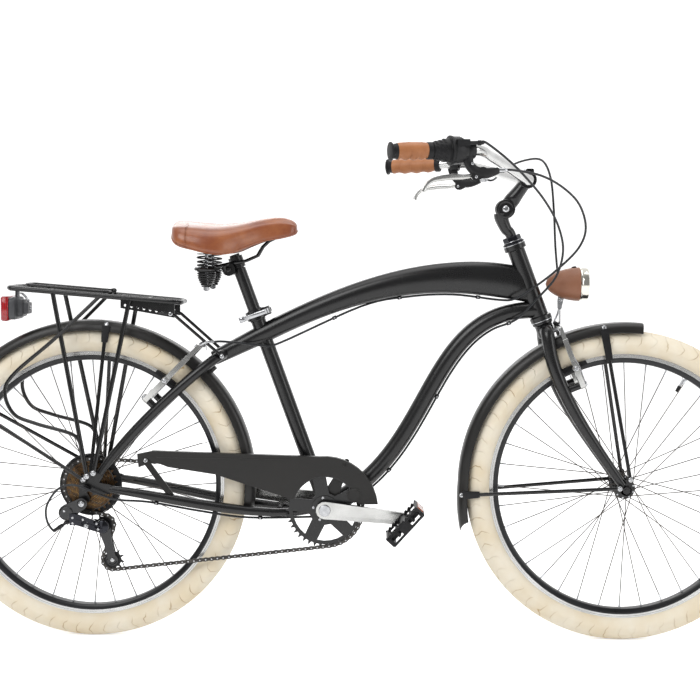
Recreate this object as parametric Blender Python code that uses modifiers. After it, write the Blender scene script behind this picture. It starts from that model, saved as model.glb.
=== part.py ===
"""City bike: a cruiser bicycle with mudguards, a rear rack, derailleur gears and rim brakes.

Metres, +Z up, +X forward, the drive side at -Y. The origin is on the ground under the middle
of the bike. Points are written in the bike's own frame, whose X starts at the rear axle, and
one empty carries that frame to its place.
"""

import math

import bmesh
import bpy
from mathutils import Matrix, Vector

# Fits
GAP = 0.0003
RUNNING_GAP = 0.0006
WELD = 0.00001

# Wheels
WHEELBASE = 1.141
TYRE_RADIUS = 0.335
TYRE_WIDTH = 0.054
RIM_INNER_RADIUS = 0.2663
RIM_OUTER_RADIUS = 0.286
RIM_SEAT_RADIUS = 0.2795
RIM_WIDTH = 0.0275
RIM_WALL = 0.0022
SPOKES = 36
WHEEL_STEPS = SPOKES
SPOKE_RADIUS = 0.001
SPOKE_CROSSINGS = 3
FLANGE_RADIUS = 0.0225
FLANGE_THICKNESS = 0.0032
HUB_RADIUS = 0.0135
AXLE_RADIUS = 0.0048
NUT_RADIUS = 0.0085
NUT_LENGTH = 0.008

# Frame
BOTTOM_BRACKET_X = 0.5035
BOTTOM_BRACKET_HEIGHT = 0.289
SHELL_RADIUS = 0.021
SHELL_WIDTH = 0.072
SEAT_ANGLE = math.radians(69.9)
SEAT_TUBE_RADIUS = 0.0159
SEAT_TUBE_LENGTH = 0.450
HEAD_ANGLE = math.radians(69.3)
FORK_OFFSET = 0.040
HEAD_TUBE_START = 0.390
HEAD_TUBE_LENGTH = 0.152
HEAD_TUBE_RADIUS = 0.0185
CUP_RADIUS = 0.0235
CUP_HEIGHT = 0.012
TOP_TUBE_SEAT_HEIGHT = 0.394
TOP_TUBE_HALF_WIDTH = 0.0205
TOP_TUBE_SEAT_DEPTH = 0.041
TOP_TUBE_HEAD_DEPTH = 0.082
DOWN_TUBE_RADIUS = 0.018
STAY_RADIUS = 0.011
STAY_TIP_RADIUS = 0.008
REAR_SPACING = 0.135
FRONT_SPACING = 0.100
DROPOUT_THICKNESS = 0.006

# Seat post and saddle
POST_RADIUS = 0.0136
POST_TOP_RADIUS = 0.0111
POST_INSERTION = 0.100
POST_SHOULDER = 0.092
POST_TOP = 0.124
COLLAR_HEIGHT = 0.020
COLLAR_WALL = 0.0045
SADDLE_WIDTH = 0.215
RAIL_RADIUS = 0.0035
SPRING_WIRE_RADIUS = 0.0021
SPRING_RADIUS = 0.0185
SPRING_TURNS = 8
SPRING_TURN_POINTS = 8

# Steering
STEERER_RADIUS = 0.0127
QUILL_RADIUS = 0.0111
BLADE_RADIUS = 0.0143
BLADE_TIP_RADIUS = 0.0095
BLADE_SPREAD = 0.0545
BAR_RADIUS = 0.0111
BAR_CLAMP_RADIUS = 0.0127
BAR_HALF_WIDTH = 0.313
GRIP_RADIUS = 0.0165

# Gears
CHAIN_PITCH = 0.0127
CHAIN_LINKS = 124
CHAINRING_TEETH = 40
SPROCKET_TEETH = (28, 24, 22, 20, 18, 16, 14)
PULLEY_TEETH = 11
RING_PLANE = -0.0475
SPROCKET_PLANE = -0.0365
SPROCKET_STEP = 0.0045
TOOTH_THICKNESS = 0.0018
PLATE_HEIGHT = 0.0078
PLATE_THICKNESS = 0.0010
CRANK_LENGTH = 0.170
CRANK_DROP = math.radians(5.1)
CRANK_THICKNESS = 0.013

# Mudguards
MUDGUARD_RADIUS = 0.353
MUDGUARD_WIDTH = 0.060
MUDGUARD_DROP = 0.021
MUDGUARD_WALL = 0.0016
REAR_GUARD_START = 173.0
REAR_GUARD_END = -10.0
FRONT_GUARD_START = 84.0
FRONT_GUARD_END = 194.5

# Derived places in the bike's own frame
REAR_REACH = MUDGUARD_RADIUS * math.cos(math.radians(180 - REAR_GUARD_START))
REAR_AXLE_X = -(WHEELBASE + TYRE_RADIUS - REAR_REACH) / 2
REAR_AXLE = Vector((0, 0, TYRE_RADIUS))
FRONT_AXLE = Vector((WHEELBASE, 0, TYRE_RADIUS))
BOTTOM_BRACKET = Vector((BOTTOM_BRACKET_X, 0, BOTTOM_BRACKET_HEIGHT))
SEAT_UP = Vector((-math.cos(SEAT_ANGLE), 0, math.sin(SEAT_ANGLE)))
STEER_UP = Vector((-math.cos(HEAD_ANGLE), 0, math.sin(HEAD_ANGLE)))
STEER_AHEAD = Vector((math.sin(HEAD_ANGLE), 0, math.cos(HEAD_ANGLE)))
STEER_FOOT = FRONT_AXLE - Vector((FORK_OFFSET / math.sin(HEAD_ANGLE), 0, 0))
HEAD_LOW = STEER_FOOT + STEER_UP * HEAD_TUBE_START
SEAT_TUBE_TOP = BOTTOM_BRACKET + SEAT_UP * SEAT_TUBE_LENGTH

# Local Z along the bike's Y, and local Y along the bike's Z
ACROSS = Matrix.Rotation(-math.pi / 2, 4, "X")
UPRIGHT = Matrix.Rotation(math.pi / 2, 4, "X")


def clear_scene():
    for obj in list(bpy.data.objects):
        bpy.data.objects.remove(obj, do_unlink=True)
    for collection in list(bpy.data.collections):
        bpy.data.collections.remove(collection)


def new_collection(name):
    collection = bpy.data.collections.new(name)
    bpy.context.scene.collection.children.link(collection)
    return collection


clear_scene()
BIKE = new_collection("city_bike")
BENCH = new_collection("bench")


# Materials

def linear(channel):
    if channel <= 0.04045:
        return channel / 12.92
    return ((channel + 0.055) / 1.055) ** 2.4


def material(name, colour, roughness, metallic=0.0):
    """A Principled material; colour is an sRGB hex string."""
    made = bpy.data.materials.new(name)
    made.use_nodes = True
    shader = made.node_tree.nodes["Principled BSDF"]
    rgb = [linear(int(colour[i:i + 2], 16) / 255) for i in (0, 2, 4)]
    shader.inputs["Base Color"].default_value = (*rgb, 1)
    shader.inputs["Roughness"].default_value = roughness
    shader.inputs["Metallic"].default_value = metallic
    made.diffuse_color = (*rgb, 1)
    return made


# Making shapes on the bench

def on_bench(name, data):
    obj = bpy.data.objects.new(name, data)
    BENCH.objects.link(obj)
    return obj


def baked(obj):
    """The object's evaluated shape as a closed mesh object in the same place."""
    bpy.context.view_layer.update()
    seen = obj.evaluated_get(bpy.context.evaluated_depsgraph_get())
    mesh = bpy.data.meshes.new_from_object(seen)
    weld(mesh)
    solid = on_bench(obj.name, mesh)
    solid.matrix_world = obj.matrix_world.copy()
    bpy.data.objects.remove(obj, do_unlink=True)
    return solid


def weld(mesh):
    shape = bmesh.new()
    shape.from_mesh(mesh)
    bmesh.ops.remove_doubles(shape, verts=shape.verts, dist=WELD)
    bmesh.ops.dissolve_degenerate(shape, edges=shape.edges, dist=WELD)
    bmesh.ops.recalc_face_normals(shape, faces=shape.faces)
    shape.to_mesh(mesh)
    shape.free()


def shifted(obj, matrix):
    """The object after a further move in the bike's frame."""
    obj.matrix_world = matrix @ obj.matrix_world
    return obj


def at(x, y=0.0, z=0.0):
    return Matrix.Translation((x, y, z))


def at_point(point):
    return Matrix.Translation(point)


def along(start, end):
    """A matrix at the middle of two points whose Z runs from the first to the second."""
    way = end - start
    turn = way.to_track_quat("Z", "Y").to_matrix().to_4x4()
    return Matrix.Translation((start + end) / 2) @ turn


def cylinder(radius, length, matrix=None, steps=16, top_radius=None):
    shape = bmesh.new()
    bmesh.ops.create_cone(
        shape, cap_ends=True, segments=steps, radius1=radius,
        radius2=radius if top_radius is None else top_radius, depth=length)
    mesh = bpy.data.meshes.new("cylinder")
    shape.to_mesh(mesh)
    shape.free()
    obj = on_bench("cylinder", mesh)
    obj.matrix_world = matrix or Matrix.Identity(4)
    return obj


def strap(start, end, width, thickness, across):
    """A flat strip between two points, its width along the given direction."""
    way = (end - start).normalized()
    side = (across - way * across.dot(way)).normalized()
    turn = Matrix((side, way.cross(side), way)).transposed().to_4x4()
    return block((width, thickness, (end - start).length), at_point((start + end) / 2) @ turn)


def rod(start, end, radius, steps=8, end_radius=None):
    return cylinder(radius, (end - start).length, along(start, end), steps, end_radius)


def disc(radius, width, centre, steps=16):
    """A cylinder about a line across the bike."""
    return cylinder(radius, width, at_point(centre) @ ACROSS, steps)


def block(size, matrix=None, bevel=0.0):
    shape = bmesh.new()
    bmesh.ops.create_cube(shape, size=1, matrix=Matrix.Diagonal((*size, 1)))
    mesh = bpy.data.meshes.new("block")
    shape.to_mesh(mesh)
    shape.free()
    obj = on_bench("block", mesh)
    obj.matrix_world = matrix or Matrix.Identity(4)
    if bevel:
        rounding = obj.modifiers.new("rounding", "BEVEL")
        rounding.width = min(bevel, min(size) * 0.45)
        rounding.segments = 1
        obj = baked(obj)
    return obj


def tube(points, radius, radii=None, sides=8, closed=False):
    """A round tube along a polyline; radii scale the radius at each point."""
    curve = bpy.data.curves.new("tube", "CURVE")
    curve.dimensions = "3D"
    curve.bevel_depth = radius
    curve.bevel_resolution = (sides - 4) // 2
    curve.use_fill_caps = not closed
    spline = curve.splines.new("POLY")
    spline.points.add(len(points) - 1)
    spline.use_cyclic_u = closed
    for index, point in enumerate(points):
        spline.points[index].co = (*point, 1)
        spline.points[index].radius = radii[index] if radii else 1.0
    return baked(on_bench("tube", curve))


def plate(outline, thickness, matrix=None, holes=()):
    """A flat piece from an outline in local XY, with its thickness halved about it."""
    curve = bpy.data.curves.new("plate", "CURVE")
    curve.dimensions = "2D"
    curve.fill_mode = "BOTH"
    curve.extrude = thickness / 2
    for ring in (outline, *holes):
        spline = curve.splines.new("POLY")
        spline.points.add(len(ring) - 1)
        spline.use_cyclic_u = True
        for index, (x, y) in enumerate(ring):
            spline.points[index].co = (x, y, 0, 1)
    obj = on_bench("plate", curve)
    obj.matrix_world = matrix or Matrix.Identity(4)
    return baked(obj)


def side_plate(outline, thickness, y, holes=()):
    """A plate whose outline is given in the bike's X and Z, centred at y."""
    return plate(outline, thickness, at(0, y, 0) @ UPRIGHT, holes)


def turned(profile, matrix=None, steps=24, ring=False):
    """A profile of (radius, height) pairs, outer side running down, turned about local Z."""
    mesh = bpy.data.meshes.new("turned")
    points = [(radius, 0, height) for radius, height in profile]
    edges = [(i, i + 1) for i in range(len(points) - 1)]
    if ring:
        edges.append((len(points) - 1, 0))
    mesh.from_pydata(points, edges, [])
    obj = on_bench("turned", mesh)
    screw = obj.modifiers.new("turn", "SCREW")
    screw.steps = steps
    screw.render_steps = steps
    screw.use_merge_vertices = True
    screw.merge_threshold = WELD
    obj.matrix_world = matrix or Matrix.Identity(4)
    return baked(obj)


def combined(obj, others, operation):
    """A Boolean of one solid with a list of others, which are used up."""
    group = bpy.data.collections.new("operands")
    bpy.context.scene.collection.children.link(group)
    for other in others:
        BENCH.objects.unlink(other)
        group.objects.link(other)
    joining = obj.modifiers.new("boolean", "BOOLEAN")
    joining.operation = operation
    joining.operand_type = "COLLECTION"
    joining.collection = group
    joining.solver = "EXACT"
    obj = baked(obj)
    for other in others:
        bpy.data.objects.remove(other, do_unlink=True)
    bpy.data.collections.remove(group)
    return obj


def union(obj, *others):
    return combined(obj, others, "UNION")


def cut(obj, *cutters):
    return combined(obj, cutters, "DIFFERENCE")


# Outlines and routes

def arc(centre, radius, start, end, steps):
    """Points on an arc in a plane, from one angle in degrees to another."""
    turns = [math.radians(start + (end - start) * i / steps) for i in range(steps + 1)]
    return [(centre[0] + radius * math.cos(t), centre[1] + radius * math.sin(t)) for t in turns]


def circle(centre, radius, steps):
    return arc(centre, radius, 0, 360, steps)[:-1]


def belt_outline(first, first_radius, second, second_radius, steps=6):
    """The outline round two circles and the straight sides that touch both."""
    dx = second[0] - first[0]
    dz = second[1] - first[1]
    aim = math.degrees(math.atan2(dz, dx))
    lean = math.degrees(math.asin((first_radius - second_radius) / math.hypot(dx, dz)))
    ahead = arc(second, second_radius, aim - 90 + lean, aim + 90 - lean, steps)
    behind = arc(first, first_radius, aim + 90 - lean, aim + 270 + lean, steps)
    return ahead + behind


def bezier(p0, p1, p2, p3, count):
    """Points on a cubic curve, ends included."""
    points = []
    for i in range(count):
        t = i / (count - 1)
        s = 1 - t
        points.append(p0 * s ** 3 + p1 * 3 * s * s * t + p2 * 3 * s * t * t + p3 * t ** 3)
    return points


def heading(degrees):
    """The unit direction at an angle above +X in the bike's middle plane."""
    return Vector((math.cos(math.radians(degrees)), 0, math.sin(math.radians(degrees))))


def smooth_route(points, per_span):
    """Points on a smooth curve through every given point."""
    route = []
    last = len(points) - 1
    for i in range(last):
        before = points[max(i - 1, 0)]
        after = points[min(i + 2, last)]
        for step in range(per_span):
            t = step / per_span
            a = points[i]
            b = points[i + 1]
            m0 = (b - before) / 2
            m1 = (after - a) / 2
            h00 = 2 * t ** 3 - 3 * t * t + 1
            h10 = t ** 3 - 2 * t * t + t
            h01 = 3 * t * t - 2 * t ** 3
            h11 = t ** 3 - t * t
            route.append(a * h00 + m0 * h10 + b * h01 + m1 * h11)
    route.append(points[last])
    return route


def mirrored(point):
    return Vector((point.x, -point.y, point.z))


def mirror_across(solid):
    """The same piece on the bike's other side."""
    solid.data.transform(Matrix.Diagonal((1, -1, 1, 1)) @ solid.matrix_world)
    solid.matrix_world = Matrix.Identity(4)
    weld(solid.data)
    return solid


# Placing finished pieces

PLACES = {}


def pivot_empty(name, place, parent=None):
    """An empty on a joint's axis, for the pieces that move about it."""
    empty = bpy.data.objects.new(name, None)
    empty.empty_display_size = 0.03
    BIKE.objects.link(empty)
    if parent is not None:
        empty.parent = parent
        place_in_parent = place - PLACES[parent.name]
    else:
        place_in_parent = place
    empty.location = place_in_parent
    PLACES[empty.name] = place
    return empty


def finish(name, solid, look, pivot):
    """Names a piece, gives it its material and hangs it on its empty, origin on the axis."""
    place = PLACES[pivot.name]
    mesh = solid.data
    mesh.transform(solid.matrix_world)
    bpy.data.objects.remove(solid, do_unlink=True)
    mesh.transform(Matrix.Translation(-place))
    mesh.name = name
    mesh.materials.clear()
    mesh.materials.append(look)
    mesh.shade_smooth()
    mesh.set_sharp_from_angle(angle=math.radians(38))
    piece = bpy.data.objects.new(name, mesh)
    BIKE.objects.link(piece)
    piece.parent = pivot
    return piece


ROOT = bpy.data.objects.new("bike_frame_origin", None)
ROOT.location = (REAR_AXLE_X, 0, 0)
BIKE.objects.link(ROOT)
PLACES[ROOT.name] = Vector((0, 0, 0))

MATT_BLACK = material("matt_black_paint", "1b1c1e", 0.45)
GUARD_BLACK = material("satin_black_plastic", "232323", 0.5)
BLACK_STEEL = material("black_steel", "1a1a1c", 0.35, 0.6)
SILVER = material("polished_aluminium", "d6d6d4", 0.25, 1.0)
BRIGHT_STEEL = material("zinc_plated_steel", "b9bbbd", 0.3, 1.0)
CREAM_RUBBER = material("cream_rubber", "e6dcc3", 0.7)
BROWN_LEATHER = material("brown_leather", "a65c34", 0.45)
BROWN_STEEL = material("brown_steel", "5a4030", 0.4, 0.8)
BLACK_RESIN = material("black_resin", "19191a", 0.6)
BLACK_RUBBER = material("black_rubber", "141414", 0.8)
RED_LENS = material("red_lens", "b0121c", 0.15)
BROWN_PAINT = material("brown_painted_steel", "8d5d45", 0.5)
GREY_PLASTIC = material("grey_plastic", "6d6f74", 0.5)


# Frame

def head_tube():
    """The steering tube with its two pressed cups, turned as one profile."""
    low = HEAD_TUBE_START
    high = HEAD_TUBE_START + HEAD_TUBE_LENGTH
    bore = STEERER_RADIUS + RUNNING_GAP
    lip = 0.002
    profile = [
        (bore, high + CUP_HEIGHT), (CUP_RADIUS, high + CUP_HEIGHT), (CUP_RADIUS, high),
        (HEAD_TUBE_RADIUS, high - lip), (HEAD_TUBE_RADIUS, low + lip), (CUP_RADIUS, low),
        (CUP_RADIUS, low - CUP_HEIGHT), (bore, low - CUP_HEIGHT)]
    return turned(profile, STEER_FRAME, 16, ring=True)


# Local Z along the steering axis, local X ahead of it, from the axle's height
STEER_FRAME = at_point(STEER_FOOT) @ Matrix.Rotation(HEAD_ANGLE - math.pi / 2, 4, "Y")


def head_cutter():
    """The head tube's and cups' outer shape with its clearance."""
    low = HEAD_TUBE_START
    high = HEAD_TUBE_START + HEAD_TUBE_LENGTH
    lip = 0.002
    outer = CUP_RADIUS + GAP
    inner = HEAD_TUBE_RADIUS + GAP
    beyond = 0.05
    profile = [
        (0, high + beyond), (outer, high + beyond), (outer, high - GAP), (inner, high - lip - GAP),
        (inner, low + lip + GAP), (outer, low + GAP), (outer, low - beyond), (0, low - beyond)]
    return turned(profile, STEER_FRAME, 16)


def seat_cutter():
    start = BOTTOM_BRACKET - SEAT_UP * 0.01
    return rod(start, SEAT_TUBE_TOP + SEAT_UP * 0.1, SEAT_TUBE_RADIUS + GAP, 16)


def shell_cutter():
    return disc(SHELL_RADIUS + GAP, SHELL_WIDTH + 0.02, BOTTOM_BRACKET, 20)


# The arch runs from the seat tube to the head tube, and a short taper runs back to the stays
ARCH_START = BOTTOM_BRACKET + SEAT_UP * TOP_TUBE_SEAT_HEIGHT
ARCH_END = STEER_FOOT + STEER_UP * (HEAD_TUBE_START + HEAD_TUBE_LENGTH * 0.46)
ARCH_RISE = 27.0
ARCH_FALL = -12.0
ARCH_REACH = 0.215
WISHBONE = ARCH_START + Vector((-0.105, 0, -0.053))
WISHBONE_RADIUS = 0.0155
ARCH_POINTS = 12
TAPER_POINTS = 2


def arch_route():
    return bezier(
        ARCH_START, ARCH_START + heading(ARCH_RISE) * ARCH_REACH,
        ARCH_END - heading(ARCH_FALL) * ARCH_REACH, ARCH_END, ARCH_POINTS)


def arch_depth(t):
    return TOP_TUBE_SEAT_DEPTH + (TOP_TUBE_HEAD_DEPTH - TOP_TUBE_SEAT_DEPTH) * t ** 1.7


def arch_solid(grow=0.0):
    """The swelling top tube: round at the seat tube, deep and narrow at the head tube."""
    arch = arch_route()
    taper = [WISHBONE.lerp(ARCH_START, i / TAPER_POINTS) for i in range(TAPER_POINTS)]
    depths = [WISHBONE_RADIUS + (TOP_TUBE_SEAT_DEPTH / 2 - WISHBONE_RADIUS) * i / TAPER_POINTS
              for i in range(TAPER_POINTS)]
    for i in range(ARCH_POINTS):
        depths.append(arch_depth(i / (ARCH_POINTS - 1)) / 2)
    radii = [(depth + grow) / TOP_TUBE_HALF_WIDTH for depth in depths]
    solid = tube(taper + arch, TOP_TUBE_HALF_WIDTH, radii, 8)
    start = ARCH_START.x
    span = ARCH_END.x - start
    for vertex in solid.data.vertices:
        depth = arch_depth(min(max((vertex.co.x - start) / span, 0), 1))
        vertex.co.y *= (TOP_TUBE_HALF_WIDTH + grow) / (depth / 2 + grow)
    return solid


SEAT_STAY_SPREAD = 0.040
STAY_FOOT = REAR_AXLE + Vector((0.026, 0, 0.029))
CHAIN_STAY_FOOT = REAR_AXLE + Vector((0.048, 0, -0.003))
DROPOUT_Y = REAR_SPACING / 2 + DROPOUT_THICKNESS / 2
HANGER_BOLT = REAR_AXLE + Vector((-0.008, 0, -0.031))
EYELETS = (Vector((-0.006, 0, 0.018)), Vector((0.009, 0, 0.029)))
STAY_EYE_RADIUS = 0.011
AXLE_EYE_RADIUS = 0.016


def seat_stay(side):
    """One stay, swept from the wishbone round the wheel to its dropout."""
    start = WISHBONE + Vector((0.022, 0.010 * side, 0.010))
    shoulder = start + Vector((-0.023, 0.062 * side, -0.004))
    knee = STAY_FOOT + Vector((0.062, SEAT_STAY_SPREAD * side, 0.095))
    foot = STAY_FOOT + Vector((0, DROPOUT_Y * side, 0))
    points = bezier(start, shoulder, knee, foot, 10)
    radii = [1.0] * 7 + [0.95, 0.85, STAY_TIP_RADIUS / STAY_RADIUS]
    return tube(points, STAY_RADIUS, radii, 8)


def dropout(side, grow=0.0):
    """A plate round the axle's slot that both stays end on, with two mudguard eyes."""
    axle = (REAR_AXLE.x, REAR_AXLE.z)
    thickness = DROPOUT_THICKNESS + 2 * grow
    eye = STAY_EYE_RADIUS + grow
    y = DROPOUT_Y * side
    pieces = []
    ends = [(STAY_FOOT.x, STAY_FOOT.z), (CHAIN_STAY_FOOT.x, CHAIN_STAY_FOOT.z),
            (EYELETS[0].x, REAR_AXLE.z + EYELETS[0].z)]
    if side < 0:
        ends.append((HANGER_BOLT.x, HANGER_BOLT.z))
    for end in ends:
        outline = belt_outline(axle, AXLE_EYE_RADIUS + grow, end, eye * 0.9, 4)
        pieces.append(side_plate(outline, thickness, y))
    return union(pieces[0], *pieces[1:])


# Rim brake pivots: the arms swing about a stud across their length

BOSS_RADIUS = 0.0042
BOSS_NECK_RADIUS = 0.0075
ARM_HALF_THICKNESS = 0.0055
REAR_ARM_ROOT = Vector((0.1484, 0, 0.5066))
REAR_ARM_Y = 0.0505
REAR_ARM_TOP = Vector((0.233, 0, 0.632))
REAR_NECK = 0.029


def brake_stud(pivot, out, y, neck):
    """The stud's neck on the frame, its pin through the arm, and its head."""
    centre = Vector((pivot.x, y, pivot.z))
    start = ARM_HALF_THICKNESS + GAP
    root = centre - out * neck
    return [rod(root, centre - out * start, BOSS_NECK_RADIUS, 6),
            rod(centre - out * 2 * start, centre + out * (start + 0.003), BOSS_RADIUS, 6),
            rod(centre + out * start, centre + out * (start + 0.004), BOSS_NECK_RADIUS, 6)]


def rear_brake_axes():
    """The pivot, the arm's direction and the stud's direction in the bike's middle plane."""
    way = (REAR_ARM_TOP - REAR_ARM_ROOT).normalized()
    out = Vector((-way.z, 0, way.x))
    pivot = REAR_ARM_ROOT + out * REAR_NECK
    up = (REAR_ARM_TOP - pivot).normalized()
    return pivot, up, Vector((-up.z, 0, up.x))


REAR_PIVOT, REAR_BRAKE_UP, REAR_BRAKE_OUT = rear_brake_axes()


def top_tube_and_stays():
    solid = union(arch_solid(), seat_stay(-1), seat_stay(1))
    studs = []
    for side in (-1, 1):
        studs += brake_stud(REAR_PIVOT, REAR_BRAKE_OUT, REAR_ARM_Y * side, REAR_NECK)
    solid = union(solid, *studs)
    return cut(solid, head_cutter(), seat_cutter(), dropout(-1, GAP), dropout(1, GAP))


def down_tube_route():
    end = STEER_FOOT + STEER_UP * (HEAD_TUBE_START + 0.014)
    return bezier(
        BOTTOM_BRACKET, BOTTOM_BRACKET + heading(24) * 0.267,
        end - heading(-1.5) * 0.250, end, 13)


def down_tube():
    """The S-shaped tube from the bottom bracket to the head tube."""
    solid = tube(down_tube_route(), DOWN_TUBE_RADIUS, None, 8)
    return cut(solid, head_cutter(), shell_cutter(), arch_solid(GAP), seat_cutter())


def seat_tube_with_shell():
    """The seat tube on the bottom bracket shell, bored for the post and the crank axle."""
    seat = rod(BOTTOM_BRACKET, SEAT_TUBE_TOP, SEAT_TUBE_RADIUS, 16)
    shell = disc(SHELL_RADIUS, SHELL_WIDTH, BOTTOM_BRACKET, 20)
    solid = union(seat, shell)
    bore_start = BOTTOM_BRACKET + SEAT_UP * (SHELL_RADIUS + 0.01)
    bore = rod(bore_start, SEAT_TUBE_TOP + SEAT_UP * 0.02, POST_RADIUS + GAP, 16)
    axle = disc(CRANK_AXLE_RADIUS + GAP, SHELL_WIDTH + 0.02, BOTTOM_BRACKET, 12)
    return cut(solid, bore, axle)


CRANK_AXLE_RADIUS = 0.0085
CHAIN_STAY_HEAD_Y = 0.021
BRIDGE_X = 0.405


def chain_stay_route(side):
    head = BOTTOM_BRACKET + Vector((-0.022, CHAIN_STAY_HEAD_Y * side, -0.006))
    foot = CHAIN_STAY_FOOT + Vector((0, DROPOUT_Y * side, 0))
    behind = foot + heading(-6.2) * 0.110 + Vector((0, -0.004 * side, 0))
    ahead = head - heading(11.2) * 0.116 + Vector((0, 0.029 * side, 0))
    return bezier(foot, behind, ahead, head, 10)


def chain_stay(side, grow=0.0):
    radii = [0.78, 0.86, 0.95, 1, 1, 1, 0.92, 0.84, 0.8, 0.8]
    scale = 1 + grow / STAY_RADIUS
    return tube(chain_stay_route(side), STAY_RADIUS, [r * scale for r in radii], 8)


def chain_stays_with_dropouts():
    bridge_y = CHAIN_STAY_HEAD_Y + 0.008
    bridge_z = BOTTOM_BRACKET.z - 0.006
    start = Vector((BRIDGE_X, -bridge_y, bridge_z))
    pieces = [chain_stay(1), dropout(-1), dropout(1), rod(start, mirrored(start), 0.007, 8)]
    solid = union(chain_stay(-1), *pieces)
    slot_way = heading(-62)
    slots = []
    for side in (-1, 1):
        centre = REAR_AXLE + Vector((0, DROPOUT_Y * side, 0))
        slots.append(disc(AXLE_RADIUS + GAP, 0.02, centre, 12))
        turn = Matrix.Rotation(math.radians(62), 4, "Y")
        width = 2 * (AXLE_RADIUS + GAP) * 0.98
        slots.append(block((0.03, 0.02, width), at_point(centre + slot_way * 0.015) @ turn))
    return cut(solid, shell_cutter(), seat_cutter(), *slots)


def seat_collar():
    """The split clamp round the top of the seat tube, with ears for its bolt."""
    inner = SEAT_TUBE_RADIUS + 3 * GAP
    outer = inner + COLLAR_WALL
    half = COLLAR_HEIGHT / 2
    ring = turned([(inner, half), (outer, half), (outer, -half), (inner, -half)],
                  COLLAR_FRAME, 12, ring=True)
    ears = block((0.014, 0.024, COLLAR_HEIGHT * 0.9),
                 COLLAR_FRAME @ at(outer + 0.004))
    bolt = shifted(cylinder(0.004, 0.040, ACROSS, 6), COLLAR_FRAME @ at(outer + 0.006))
    nut = shifted(cylinder(0.007, 0.006, ACROSS, 6), COLLAR_FRAME @ at(outer + 0.006, 0.0200))
    solid = union(ring, ears)
    solid = cut(solid, cylinder(inner, 0.1, COLLAR_FRAME, 12),
                block((0.030, 0.0024, 0.06), COLLAR_FRAME @ at(outer + 0.002)))
    return union(solid, bolt, nut)


COLLAR_FRAME = (at_point(SEAT_TUBE_TOP - SEAT_UP * (COLLAR_HEIGHT / 2 + 0.002))
                @ Matrix.Rotation(SEAT_ANGLE - math.pi / 2, 4, "Y"))
LEVER_PIVOT = COLLAR_FRAME @ Vector((SEAT_TUBE_RADIUS + GAP + COLLAR_WALL + 0.006, -0.0255, 0))


def quick_release_lever():
    """The cam and the flat lever that lies back along the near side of the seat tube."""
    near = LEVER_PIVOT.y
    frame = COLLAR_FRAME @ at(SEAT_TUBE_RADIUS + GAP + COLLAR_WALL + 0.006, near)
    cam = cylinder(0.0052, 0.011, frame, 10)
    arm = block((0.050, 0.0036, 0.010), frame @ at(-0.027, -0.0016), 0.001)
    tip = block((0.012, 0.005, 0.012), frame @ at(-0.056, -0.0016), 0.001)
    return union(cam, arm, tip)


# Wheels

HUB_STEPS = 12
HUB_BORE = AXLE_RADIUS + GAP
BOSS_SEAT_RADIUS = HUB_BORE + 0.0042


def tyre(axle):
    """The casing, seated between the rim's flanges."""
    half = TYRE_WIDTH / 2
    seat = RIM_SEAT_RADIUS + GAP
    bead = RIM_WIDTH / 2 - RIM_WALL - GAP
    lip = RIM_OUTER_RADIUS + 0.0012
    side = [(TYRE_RADIUS - 0.0070, half * 0.57), (TYRE_RADIUS - 0.0250, half),
            (lip, bead), (seat, bead)]
    profile = [(TYRE_RADIUS, 0)] + [(r, -y) for r, y in side] + [(r, y) for r, y in side[::-1]]
    return turned(profile[::-1], at_point(axle) @ ACROSS, WHEEL_STEPS, ring=True)


def rim(axle):
    """A hooked channel section with a flat well."""
    half = RIM_WIDTH / 2
    side = [(RIM_INNER_RADIUS, half * 0.8), (RIM_OUTER_RADIUS, half),
            (RIM_SEAT_RADIUS, half - RIM_WALL)]
    profile = [(r, -y) for r, y in side[::-1]] + side
    return turned(profile, at_point(axle) @ ACROSS, WHEEL_STEPS, ring=True)


def spoke(axle, index, flange_y, reach):
    """One spoke: holes alternate between flanges, and pairs cross as laced."""
    side = 1 if index % 2 else -1
    along_flange = index // 2
    pair = along_flange % 2
    step = 2 * math.pi / SPOKES
    rim_angle = index * step
    lean = SPOKE_CROSSINGS * 2 * math.pi / (SPOKES / 2) * (1 if pair else -1)
    hub_angle = rim_angle + lean
    y = flange_y[0] if side < 0 else flange_y[1]
    y += side * (0.0014 if pair else -0.0014)
    hub_end = Vector((math.cos(hub_angle), 0, math.sin(hub_angle))) * FLANGE_RADIUS * 0.88
    rim_end = Vector((math.cos(rim_angle), 0, math.sin(rim_angle))) * reach
    start = axle + hub_end + Vector((0, y, 0))
    end = axle + rim_end + Vector((0, side * 0.003, 0))
    return rod(start, end, SPOKE_RADIUS, 3)


def laced_hub(axle, flange_y, shell_end, bore):
    """The hub shell with its two flanges and all its spokes, turned and laced."""
    near = flange_y[0]
    far = flange_y[1]
    half = FLANGE_THICKNESS / 2
    end_radius = BOSS_SEAT_RADIUS
    profile = [
        (bore, shell_end[1]), (end_radius, shell_end[1]), (end_radius, far + half),
        (FLANGE_RADIUS, far + half), (FLANGE_RADIUS, far - half), (HUB_RADIUS, far - half),
        (HUB_RADIUS, near + half), (FLANGE_RADIUS, near + half), (FLANGE_RADIUS, near - half),
        (end_radius, near - half), (end_radius, shell_end[0]), (bore, shell_end[0])]
    shell = turned(profile, at_point(axle) @ ACROSS, HUB_STEPS, ring=True)
    reach = RIM_INNER_RADIUS - GAP
    spokes = [spoke(axle, index, flange_y, reach) for index in range(SPOKES)]
    return union(shell, *spokes)


REAR_FLANGES = (-0.0235, 0.034)
FRONT_FLANGES = (-0.033, 0.033)
REAR_HUB_ENDS = (-0.0600, 0.0618)
FRONT_HUB_ENDS = (-0.0455, 0.0455)
REAR_AXLE_HALF = 0.088
FRONT_AXLE_HALF = 0.0655


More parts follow.
